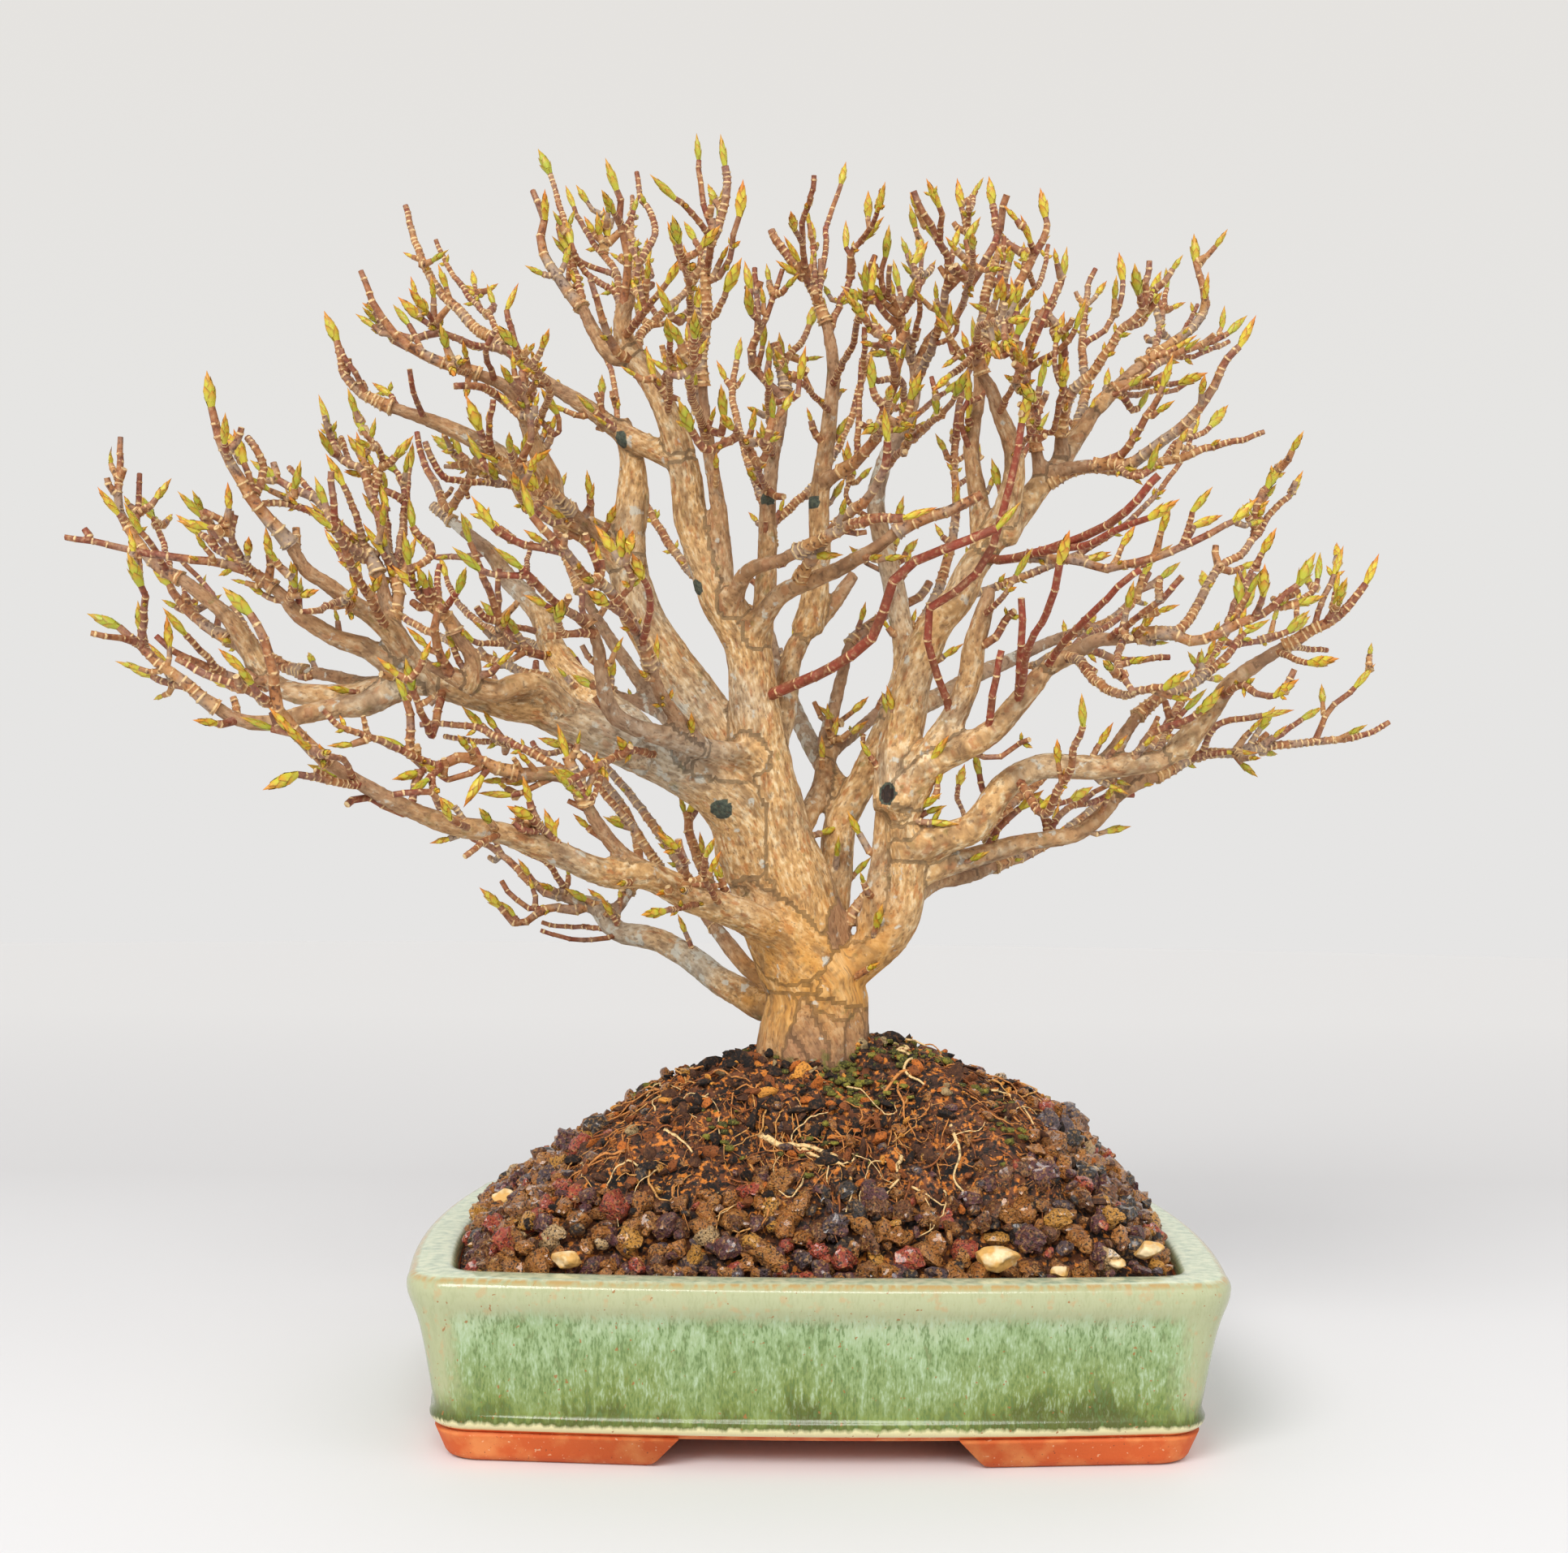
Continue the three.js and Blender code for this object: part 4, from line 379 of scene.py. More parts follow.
LB5 LB1 1.2 0.9 36 cut -61,120 -64,125 -67,129 -71,131 -75,133
LB6 LB3 1 0.9 50 cut -67,117 -72,118 -75,120 -78,124
LB7 LB1 1.1 0.8 54 cut -48,112 -56,113 -62,113 -68,114
LB8 LB1 1 0.8 34 cut -47,112 -54,110 -60,110 -68,112
LB9 LB1 2 1 70 bud -51,115 -47,121 -44,130 -46,139 -52,148 -60,156 -70,160
LBA LB2 1.9 1 28 cut -28,119 -36,123 -39,128 -45,137 -50,143 -55,149 -58,156
BX1 T3 3 1 92 bud 8,145 -2,160 -10,178 -14,196 -12,212 -18,230 -22,246 -20,262
BX2 T2 3.2 1 88 bud -9,138 -24,150 -38,166 -50,182 -60,198 -66,214 -70,232 -78,246
BX3 T7 2.2 0.9 96 bud 2,156 14,166 26,180 36,196 44,214 50,230 58,244
BX4 BX2 2 0.9 70 bud -38,166 -54,172 -72,176 -88,182 -104,190 -116,200 -124,212
BX5 BX1 1.8 0.9 100 bud -14,190 -30,200 -42,216 -50,234 -52,250 -58,264
BX6 RL3 1.9 0.9 84 bud 40,127 56,134 72,146 84,160 94,176 104,190 110,200
BX7 BX1 1.7 0.9 74 bud -12,214 0,226 8,242 12,256 20,268 18,282
BX8 BX3 1.6 0.9 70 bud 36,196 52,202 66,208 80,218 90,230 96,244
BX9 LB2 1.8 0.9 84 bud -24,113 -36,132 -50,150 -66,166 -80,172 -94,178
BXA T3 1.8 0.9 58 bud 21,182 30,198 34,216 34,234 36,250 44,266 50,276
"""


def linear(colour: str) -> tuple[float, float, float, float]:
    """Turns an sRGB colour into the linear one that a shader takes.

    Args:
        colour: Six hex digits with a leading hash.

    Returns:
        Red, green, blue and alpha.
    """
    parts = [int(colour[k:k + 2], 16) / 255 for k in (1, 3, 5)]
    bent = [c / 12.92 if c <= 0.04045 else ((c + 0.055) / 1.055) ** 2.4 for c in parts]
    return (bent[0], bent[1], bent[2], 1.0)


def mix(a: float, b: float, share: float) -> float:
    """Returns the value a share of the way from a to b."""
    return a + (b - a) * share


def smooth(low: float, high: float, value: np.ndarray) -> np.ndarray:
    """Eases values from 0 at low to 1 at high."""
    t = np.clip((value - low) / (high - low), 0, 1)
    return t * t * (3 - 2 * t)


def unit(vector: np.ndarray) -> np.ndarray:
    """Returns the vector at length 1."""
    return vector / max(float(np.linalg.norm(vector)), 1e-9)


def noise_at(points: np.ndarray, size: float, seed: float = 0.0) -> np.ndarray:
    """Reads smooth noise of a feature size at points, one a row, as one value a point, about -1 to 1."""
    scaled = points / size + seed
    return np.array([noise.noise(Vector(p)) for p in scaled])


def coordinates(mesh: bpy.types.Mesh) -> np.ndarray:
    """Returns a mesh's vertices, one a row.

    Args:
        mesh: The mesh.

    Returns:
        The places, in the unit of the mesh.
    """
    flat = np.empty(len(mesh.vertices) * 3)
    mesh.vertices.foreach_get("co", flat)
    return flat.reshape(-1, 3)


def set_coordinates(mesh: bpy.types.Mesh, points: np.ndarray) -> None:
    """Moves a mesh's vertices to new places, one a row."""
    mesh.vertices.foreach_set("co", points.astype(np.float32).ravel())
    mesh.update()


def normals(mesh: bpy.types.Mesh) -> np.ndarray:
    """Returns a mesh's vertex normals, one a row.

    Args:
        mesh: The mesh.

    Returns:
        The unit normals.
    """
    flat = np.empty(len(mesh.vertices) * 3)
    mesh.vertex_normals.foreach_get("vector", flat)
    return flat.reshape(-1, 3)


def paint(mesh: bpy.types.Mesh, name: str, values: np.ndarray) -> None:
    """Stores a number, or a vector, on every vertex.

    Args:
        mesh: The mesh.
        name: The attribute's name, which a material reads.
        values: One value, or one row of three, for each vertex.
    """
    vector = values.ndim == 2
    layer = mesh.attributes.get(name)
    if layer is None:
        layer = mesh.attributes.new(name, "FLOAT_VECTOR" if vector else "FLOAT", "POINT")
    layer.data.foreach_set("vector" if vector else "value", values.astype(np.float32).ravel())


def shade_smooth(mesh: bpy.types.Mesh) -> None:
    """Shades every face smooth."""
    mesh.polygons.foreach_set("use_smooth", [True] * len(mesh.polygons))


@dataclass(frozen=True)
class Frame:
    """Where the pot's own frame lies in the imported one, and the box that the whole stays in."""

    middle: np.ndarray
    low: np.ndarray
    high: np.ndarray

    @staticmethod
    def read() -> "Frame":
        """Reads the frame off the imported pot's box and the whole's.

        Returns:
            The frame.
        """
        pot_low, pot_high = (np.array(corner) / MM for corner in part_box("pot"))
        low, high = (np.array(corner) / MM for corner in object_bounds())
        middle = (pot_low + pot_high) / 2
        middle[2] = 0
        return Frame(middle, low - middle, high - middle)

    def place(self, mesh: bpy.types.Mesh) -> None:
        """Moves a mesh from the pot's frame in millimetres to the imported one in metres."""
        held = np.clip(coordinates(mesh), self.low + BOX_MARGIN, self.high - BOX_MARGIN)
        set_coordinates(mesh, (held + self.middle) * MM)

    def spot(self, x: float, y: float, z: float) -> Vector:
        """Returns a point of the pot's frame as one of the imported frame, in metres."""
        return Vector(((x + self.middle[0]) * MM, (y + self.middle[1]) * MM, z * MM))


def add_piece(
    frame: Frame,
    mesh: bpy.types.Mesh,
    name: str,
    materials: Sequence[bpy.types.Material],
    replaces: Sequence[str] = (),
) -> None:
    """Makes a mesh a piece of the object.

    Args:
        frame: The frame that places it.
        mesh: Its mesh, in millimetres in the pot's frame.
        name: The piece's name.
        materials: Its materials, in the order of its faces' indices.
        replaces: The CAD nodes that it stands for.
    """
    frame.place(mesh)
    mesh.name = name
    for material in materials:
        mesh.materials.append(material)
    piece = bpy.data.objects.new(name, mesh)
    bpy.context.scene.collection.objects.link(piece)
    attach(piece, "root")
    if replaces:
        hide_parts(*replaces)
    log.info("%s: %d vertices, %d faces", name, len(mesh.vertices), len(mesh.polygons))


def with_modifier(mesh: bpy.types.Mesh, kind: str, **settings: object) -> bpy.types.Mesh:
    """Applies one modifier to a mesh.

    Args:
        mesh: The mesh, which is used up.
        kind: The modifier's type.
        settings: Its settings.

    Returns:
        The changed mesh.
    """
    holder = bpy.data.objects.new("holder", mesh)
    bpy.context.scene.collection.objects.link(holder)
    modifier = holder.modifiers.new(kind, kind)
    for key, value in settings.items():
        setattr(modifier, key, value)
    shot = holder.evaluated_get(bpy.context.evaluated_depsgraph_get())
    changed = bpy.data.meshes.new_from_object(shot)
    bpy.data.objects.remove(holder)
    bpy.data.meshes.remove(mesh)
    return changed


def from_bmesh(bm: bmesh.types.BMesh, name: str) -> bpy.types.Mesh:
    """Writes a bmesh into a new mesh and frees it.

    Args:
        bm: The bmesh.
        name: The mesh's name.

    Returns:
        The mesh.
    """
    mesh = bpy.data.meshes.new(name)
    bm.to_mesh(mesh)
    bm.free()
    return mesh


def grid_through(rows: np.ndarray) -> bmesh.types.BMesh:
    """Lays a grid of faces through rows of points.

    Args:
        rows: The points, as rows by points by three.

    Returns:
        The grid, with its vertices in the order of the points.
    """
    bm = bmesh.new()
    bmesh.ops.create_grid(bm, x_segments=rows.shape[1] - 1, y_segments=rows.shape[0] - 1, size=1.0)
    for vert, spot in zip(bm.verts, rows.reshape(-1, 3)):
        vert.co = spot
    return bm


def wrapped(rings: np.ndarray, name: str) -> bpy.types.Mesh:
    """Wraps a grid of faces round closed rings of points and closes both ends.

    Args:
        rings: The rings, as rings by points by three.
        name: The mesh's name.

    Returns:
        The closed shell, its vertices ring by ring and its faces outwards.
    """
    count, around = rings.shape[:2]
    bm = grid_through(np.concatenate([rings, rings[:, :1]], axis=1))
    bm.verts.ensure_lookup_table()
    row = around + 1
    seam = {bm.verts[k * row + around]: bm.verts[k * row] for k in range(count)}
    bmesh.ops.weld_verts(bm, targetmap=seam)
    bmesh.ops.holes_fill(bm, edges=[edge for edge in bm.edges if edge.is_boundary])
    bmesh.ops.recalc_face_normals(bm, faces=bm.faces)
    return from_bmesh(bm, name)


@dataclass
class Strand:
    """One round strand: its middle line, its radius along it, and what its surface carries."""

    points: np.ndarray
    radii: np.ndarray
    marks: dict[str, np.ndarray] = field(default_factory=dict)


def strand_mesh(strands: Sequence[Strand], name: str, bevel: int) -> bpy.types.Mesh:
    """Sweeps a circle along many strands, with the ends closed.

    Args:
        strands: The strands.
        name: The mesh's name.
        bevel: The curve's bevel resolution: 0 gives 4 sides, and each step 2 more.

    Returns:
        The mesh, with the strands' marks as attributes.
    """
    curve = bpy.data.curves.new(name, "CURVE")
    curve.dimensions = "3D"
    curve.bevel_depth = 1.0
    curve.bevel_resolution = bevel
    for strand in strands:
        spline = curve.splines.new("POLY")
        spline.points.add(len(strand.points) - 1)
        padded = np.c_[strand.points, np.ones(len(strand.points))]
        spline.points.foreach_set("co", padded.ravel())
        spline.points.foreach_set("radius", strand.radii)
    holder = bpy.data.objects.new(name, curve)
    bpy.context.scene.collection.objects.link(holder)
    tubes = bpy.data.meshes.new_from_object(holder.evaluated_get(bpy.context.evaluated_depsgraph_get()))
    bpy.data.objects.remove(holder)
    bpy.data.curves.remove(curve)
    sides = 4 + 2 * bevel
    bm = bmesh.new()
    bm.from_mesh(tubes)
    bpy.data.meshes.remove(tubes)
    bm.verts.ensure_lookup_table()
    first = 0
    for strand in strands:
        last = first + (len(strand.points) - 1) * sides
        for start, way in ((first, 1), (last, -1)):
            lid = bm.faces.new([bm.verts[start + k] for k in range(sides)][::way])
            for side in lid.edges:
                side.smooth = False
        first = last + sides
    bmesh.ops.recalc_face_normals(bm, faces=bm.faces)
    mesh = from_bmesh(bm, name)
    for key in strands[0].marks:
        values = np.concatenate([np.repeat(strand.marks[key], sides, axis=0) for strand in strands])
        paint(mesh, key, values)
    shade_smooth(mesh)
    return mesh


def scatter(
    templates: Sequence[bpy.types.Mesh],
    places: Iterable[tuple[int, Matrix, float]],
    name: str,
    sharp: float = 180.0,
) -> bpy.types.Mesh:
    """Joins placed copies of templates in one mesh.

    Args:
        templates: The meshes to copy.
        places: For each copy the template's index, its placement and its tone.
        name: The new mesh's name.
        sharp: Above which angle between two faces an edge is sharp, in degrees.

    Returns:
        The joined mesh, with the mark tone. The templates stay.
    """
    bm = bmesh.new()
    for index, matrix, value in places:
        copy = templates[index].copy()
        copy.transform(matrix)
        paint(copy, "tone", np.full(len(copy.vertices), value))
        bm.from_mesh(copy)
        bpy.data.meshes.remove(copy)
    mesh = from_bmesh(bm, name)
    shade_smooth(mesh)
    mesh.set_sharp_from_angle(angle=math.radians(sharp))
    return mesh


class Tip(Enum):
    """How a limb ends."""

    BUD = "bud"
    CUT = "cut"
    HIDDEN = "-"


SAMPLES = 80
DEPTH_EASE = 1.5

# Below the first of these radii the wood is slimmer than it was sighted, by this share
SLIM = 0.8
SLIM_SPAN = (1.2, 2.8)


def smooth_line(points: np.ndarray, count: int) -> np.ndarray:
    """Draws a centripetal curve through points and returns evenly spaced places on it.

    Args:
        points: The points, one a row.
        count: How many spans to return.

    Returns:
        count + 1 points, one a row.
    """
    ends = [2 * points[0] - points[1], *points, 2 * points[-1] - points[-2]]
    line = [points[0]]
    t = np.linspace(0, 1, 13)[1:, None]
    for p0, p1, p2, p3 in zip(ends, ends[1:], ends[2:], ends[3:]):
        d0, d1, d2 = (max(np.linalg.norm(b - a), 1e-6) ** 0.5 for a, b in ((p0, p1), (p1, p2), (p2, p3)))
        leave = d1 * ((p1 - p0) / d0 - (p2 - p0) / (d0 + d1) + (p2 - p1) / d1)
        reach = d1 * ((p2 - p1) / d1 - (p3 - p1) / (d1 + d2) + (p3 - p2) / d2)
        a = 2 * p1 - 2 * p2 + leave + reach
        b = -3 * p1 + 3 * p2 - 2 * leave - reach
        line.extend(a * t**3 + b * t**2 + leave * t + p1)
    return respaced(np.array(line), count)


def arc_lengths(points: np.ndarray) -> np.ndarray:
    """Returns the distance along a line at each of its points."""
    steps = np.linalg.norm(np.diff(points, axis=0), axis=1)
    return np.r_[0, np.cumsum(steps)]


def respaced(points: np.ndarray, count: int) -> np.ndarray:
    """Returns count + 1 evenly spaced places along a line."""
    return at_lengths(points, np.linspace(0, arc_lengths(points)[-1], count + 1))


def at_lengths(points: np.ndarray, places: np.ndarray) -> np.ndarray:
    """Returns the points at given distances along a line, one a row."""
    lengths = arc_lengths(points)
    return np.column_stack([np.interp(places, lengths, points[:, k]) for k in range(points.shape[1])])


@dataclass
class Limb:
    """One limb, branch or shoot: its row of the table, and its middle line in the pot's frame."""

    name: str
    carrier: str
    start: float
    end: float
    depth: float
    tip: Tip
    route: np.ndarray
    path: np.ndarray = field(default_factory=lambda: np.zeros((2, 3)))
    length: float = 0.0

    @staticmethod
    def read(row: str) -> "Limb":
        """Reads a limb from its row of the table.

        Args:
            row: The row, with its words as the table says.

        Returns:
            The limb, without its middle line yet.
        """
        name, carrier, start, end, depth, tip, *route = row.split()
        pairs = np.array([[float(v) for v in pair.split(",")] for pair in route])
        return Limb(name, carrier, float(start), float(end), float(depth), Tip(tip), pairs)

    def radius(self, place: np.ndarray) -> np.ndarray:
        """Returns the radius at distances along the limb, which grows slim towards its thin end."""
        sighted = self.start + (self.end - self.start) * place / self.length
        return sighted * (SLIM + (1 - SLIM) * smooth(*SLIM_SPAN, sighted))


def from_eye(sighted: np.ndarray, depth: np.ndarray) -> np.ndarray:
    """Gives sighted points their depth, so that they keep their place in the view.

    Args:
        sighted: x and z on the upright plane, one pair a row.
        depth: How far behind that plane each point lies.

    Returns:
        The points in space.
    """
    share = (depth - EYE[1]) / -EYE[1]
    x = EYE[0] + (sighted[:, 0] - EYE[0]) * share
    z = EYE[2] + (sighted[:, 1] - EYE[2]) * share
    return np.column_stack([x, depth, z])


@dataclass
class Skeleton:
    """The tree's middle lines, worked out from the sighted table."""

    # Height, radius and lean of the trunk's foot, from the soil up
    foot: tuple[tuple[float, float, float], ...] = (
        (60, 11.5, -1),
        (76, 12.5, -1),
        (88, 13, 0),
        (98, 12.6, 1),
        (106, 9, 2),
    )
    limbs: list[Limb] = field(default_factory=list)

    def grow(self) -> None:
        """Reads the table, seats each limb on its carrier and gives it its depth."""
        foot = np.array([[lean, height, 0] for height, _, lean in self.foot], dtype=float)
        carriers = {"T0": foot}
        for row in re.sub(r"\n  ", " ", LIMBS.strip()).splitlines():
            limb = Limb.read(row)
            host = carriers[limb.carrier]
            seat = host[np.argmin(np.hypot(*(host[:, :2] - limb.route[0]).T))]
            flat = limb.route.copy()
            flat[0] = seat[:2]
            sight = smooth_line(flat, SAMPLES)
            outward = 1 - (1 - np.linspace(0, 1, SAMPLES + 1)) ** DEPTH_EASE
            depth = seat[2] + (limb.depth - seat[2]) * outward
            carriers[limb.name] = np.c_[sight, depth]
            limb.path = from_eye(sight, depth)
            limb.length = float(arc_lengths(limb.path)[-1])
            self.limbs.append(limb)


@dataclass
class Roots:
    """The surface roots that run from the trunk's foot over the mound and down into it."""

    count: int = 17
    # How deep a root lies under the mound, less than 0 over it, at the trunk and at its end
    sunk: tuple[float, float] = (-8.5, 3.4)
    seed: int = 41
    thick: tuple[float, float] = (4.8, 1.2)
    reach: tuple[float, float] = (12.0, 22.0)

    def strands(self, height: Callable[[float, float], float]) -> list[Strand]:
        """Lays the roots over the mound.

        Args:
            height: Gives the mound's height at a place.

        Returns:
            One strand a root.
        """
        rng = random.Random(self.seed)
        strands = []
        for k in range(self.count):
            angle = (k + 0.6 * rng.random()) / self.count * math.tau
            reach = rng.uniform(*self.reach)
            stout = rng.uniform(0.5, 1.05)
            points = []
            for share in np.linspace(0.08, 1, 14):
                bend = angle + 0.35 * math.sin(3 * share + k) * share
                x, y = share * reach * math.cos(bend), share * reach * math.sin(bend)
                sunk = mix(*self.sunk, share**0.5) + 0.7 * math.sin(9 * share + 2 * k)
                points.append((x, y, height(x, y) - sunk))
            radii = np.linspace(*self.thick, len(points)) * stout
            strands.append(Strand(np.array(points), radii))
        return strands


@dataclass
class Wood:
    """The tree's wood: stout limbs grown into one skin, and twigs ringed with bud scars."""

    skeleton: Skeleton
    roots: Roots = field(default_factory=Roots)
    # The radius above which a limb is part of the skin, the skin's mesh size and a twig's start inside it
    stout: float = 1.85
    skin: float = 1.04
    overlap: float = 3.0
    # The shortest stretch that is part of the skin, and from one of its rings to the next
    least_reach: float = 4.0
    step: float = 2.2
    # From one ring of scars to the next, on short, middling and long growth, and on a young red shoot
    scar_steps: tuple[tuple[float, float], ...] = ((1.0, 2.1), (1.3, 3.6), (1.9, 5.4))
    young_step: tuple[float, float] = (4.0, 8.5)
    young: float = 0.2
    # How far a ring reaches before and after its scar, and from one kink to the next
    ring: tuple[float, float] = (0.34, 0.36)
    kink_step: float = 2.6
    scar_rise: float = 0.16
    kink: float = 0.26
    bud: float = 9.0
    seed: int = 7

    def split(self, limb: Limb) -> float:
        """Returns how far along a limb it stays stout.

        Args:
            limb: The limb.

        Returns:
            The distance from its start, in millimetres.
        """
        if limb.start <= self.stout:
            return 0.0
        if limb.end >= self.stout:
            return limb.length
        return limb.length * (limb.start - self.stout) / (limb.start - limb.end)

    def stout_strands(self) -> list[Strand]:
        """Cuts the stout stretch of every limb, swollen where it leaves its carrier.

        Returns:
            One strand a limb that is part of the skin.
        """
        strands = []
        for limb in self.skeleton.limbs:
            reach = self.split(limb)
            if reach < self.least_reach:
                continue
            reach = min(reach + self.overlap, limb.length)
            count = max(4, round(reach / self.step))
            places = np.linspace(0, reach, count + 1)
            collar = 1 + 0.32 * np.exp(-places / (2.2 * limb.start))
            radii = limb.radius(places) * collar
            if limb.tip is Tip.HIDDEN:
                radii *= 1 - 0.25 * smooth(0.85, 1.0, places / limb.length)
            strands.append(Strand(at_lengths(limb.path, places), radii))
        return strands

    def foot_strand(self) -> Strand:
        """Builds the trunk's foot, flared towards the soil.

        Returns:
            The foot as one strand.
        """
        rows = np.array(self.skeleton.foot)
        heights = np.linspace(rows[0, 0], rows[-1, 0], 24)
        radius = np.interp(heights, rows[:, 0], rows[:, 1])
        flare = 1 + 0.12 * (1 - smooth(80, 97, heights))
        lean = np.interp(heights, rows[:, 0], rows[:, 2])
        return Strand(np.c_[lean, np.zeros_like(lean), heights], radius * flare)

    def skin_mesh(self, height: Callable[[float, float], float]) -> bpy.types.Mesh:
        """Grows the stout limbs, the foot and the surface roots into one skin with bark relief.

        Args:
            height: Gives the mound's height at a place.

        Returns:
            The skin, with the marks grain, stoutness, relief, grey, low and gold.
        """
        strands = [self.foot_strand(), *self.roots.strands(height), *self.stout_strands()]
        mesh = strand_mesh(strands, "skin", 4)
        mesh = with_modifier(mesh, "REMESH", mode="VOXEL", voxel_size=self.skin)
        mesh = with_modifier(mesh, "SMOOTH", factor=0.5, iterations=4)
        self.mark_skin(mesh, strands)
        self.raise_bark(mesh)
        shade_smooth(mesh)
        return mesh

    def mark_skin(self, mesh: bpy.types.Mesh, strands: Sequence[Strand]) -> None:
        """Gives every vertex of the skin its place along and around the limb below it.

        Args:
            mesh: The skin.
            strands: The strands that it was grown from.
        """
        spots, sizes, along, owners, tangents = [], [], [], [], []
        for number, strand in enumerate(strands):
            line = respaced(strand.points, max(4, round(arc_lengths(strand.points)[-1] / 1.5)))
            step = arc_lengths(line)
            spots.append(line)
            sizes.append(np.interp(step, arc_lengths(strand.points), strand.radii))
            along.append(step)
            owners.append(np.full(len(line), number))
            tangents.append(np.gradient(line, axis=0))
        spot, size = np.vstack(spots), np.concatenate(sizes)
        place, owner, tangent = np.concatenate(along), np.concatenate(owners), np.vstack(tangents)
        tree = KDTree(len(spot))
        for k, p in enumerate(spot):
            tree.insert(p, k)
        tree.balance()
        points = coordinates(mesh)
        chosen = np.empty(len(points), dtype=int)
        for k, p in enumerate(points):
            near = tree.find_n(p, 5)
            chosen[k] = min(near, key=lambda hit: hit[2] - size[hit[1]])[1]
        offset = points - spot[chosen]
        heading = tangent[chosen] / np.linalg.norm(tangent[chosen], axis=1)[:, None]
        rise = (offset * heading).sum(axis=1)
        side = offset - heading * rise[:, None]
        grain = side.copy()
        grain[:, 2] = place[chosen] + rise + 37.0 * owner[chosen]
        grain[:, 0] += 0.6 * side[:, 2]
        paint(mesh, "grain", grain)
        paint(mesh, "stoutness", size[chosen])

    def raise_bark(self, mesh: bpy.types.Mesh) -> None:
        """Lifts bark flakes, knobs and fine cross folds out of the skin.

        Args:
            mesh: The skin.
        """
        points, out = coordinates(mesh), normals(mesh)
        flat = np.empty(len(points) * 3)
        mesh.attributes["grain"].data.foreach_get("vector", flat)
        grain = flat.reshape(-1, 3)
        size = np.empty(len(points))
        mesh.attributes["stoutness"].data.foreach_get("value", size)
        long_grain = grain * (1, 1, 0.32)
        strength = np.interp(size, (1.5, 4, 9), (0.12, 0.34, 0.62))
        plates = noise_at(long_grain, 2.6)
        cracks = -np.exp(-((noise_at(long_grain, 1.7, 5.0) / 0.1) ** 2))
        lumps = noise_at(points, 7.0, 3.0)
        folds = noise_at(grain * (0.4, 0.4, 1), 1.3, 9.0) * np.interp(size, (1.5, 5), (1, 0.3))
        lift = strength * (0.55 * plates + 0.45 * cracks + 0.9 * lumps + 0.5 * folds)
        set_coordinates(mesh, points + out * lift[:, None])
        # The relief mark is low where the skin is sunk; the bark's material paints shade there
        paint(mesh, "relief", plates + 0.8 * cracks + 0.5 * folds)
        big_limb = np.exp(-((points[:, 0] + 42) ** 2 / 500 + (points[:, 2] - 158) ** 2 / 260))
        behind = smooth(4.0, 30.0, points[:, 1])
        paint(mesh, "grey", 0.24 + 0.45 * behind + 0.4 * big_limb + 0.4 * noise_at(points, 16.0, 20.0))
        away = np.hypot(points[:, 0], points[:, 1])
        rooted = smooth(13.0, 19.0, away) * smooth(97.0, 89.0, points[:, 2])
        paint(mesh, "low", smooth(88.0, 80.0, points[:, 2]) * 0.6 + rooted * 0.5)
        paint(mesh, "gold", np.exp(-(((points[:, 2] - 100) / 22) ** 2)) * smooth(30.0, 18.0, away))

    def ringed(
        self, path: np.ndarray, radii: tuple[float, float], age: tuple[float, float], rng: random.Random
    ) -> Strand:
        """Makes one twig with a raised, pale ring at each scar and a slight kink between them.

        Args:
            path: The twig's middle line.
            radii: Its radius at the start and at the end.
            age: Its age at the start and at the end, 0 for a young red shoot and 1 for old wood.
            rng: The random numbers.

        Returns:
            The strand, with the marks scar and age.
        """
        length = float(arc_lengths(path)[-1])
        places, swell, scar = [0.0], [1.1], [0.0]
        place = rng.uniform(0.4, 1.2)
        low, high = rng.choice(self.scar_steps) if age[0] > self.young else self.young_step
        while place < length - 0.6:
            rise = self.scar_rise * rng.uniform(0.5, 1.6) * (1 if age[0] > self.young else 0.6)
            places += [place - self.ring[0], place, place + self.ring[1]]
            swell += [1.0, 1 + rise, 1.0]
            scar += [0.0, 1.0, 0.0]
            place += rng.uniform(low, high)
        places.append(length)
        swell.append(1.0)
        scar.append(0.0)
        along = np.clip(np.array(places), 0, length)
        share = along / length
        points = at_lengths(path, along)
        count = max(2, round(length / self.kink_step))
        knots = np.array([[rng.uniform(-1, 1) for _ in range(3)] for _ in range(count + 1)]) * self.kink
        knots[0] = 0
        at = np.linspace(0, 1, count + 1)
        drift = np.column_stack([np.interp(share, at, knots[:, k]) for k in range(3)])
        girth = (radii[0] + (radii[1] - radii[0]) * share) * np.array(swell)
        girth *= 1 + 0.3 * np.exp(-along / (1.6 * radii[0]))
        marks = {"scar": np.array(scar), "age": age[0] + (age[1] - age[0]) * share}
        return Strand(points + drift, girth, marks)


@dataclass(frozen=True)
class BudPlace:
    """Where one bud sits. Its tone is 0 for a green bud and 1 for an orange one."""

    foot: np.ndarray
    heading: np.ndarray
    length: float
    tone: float


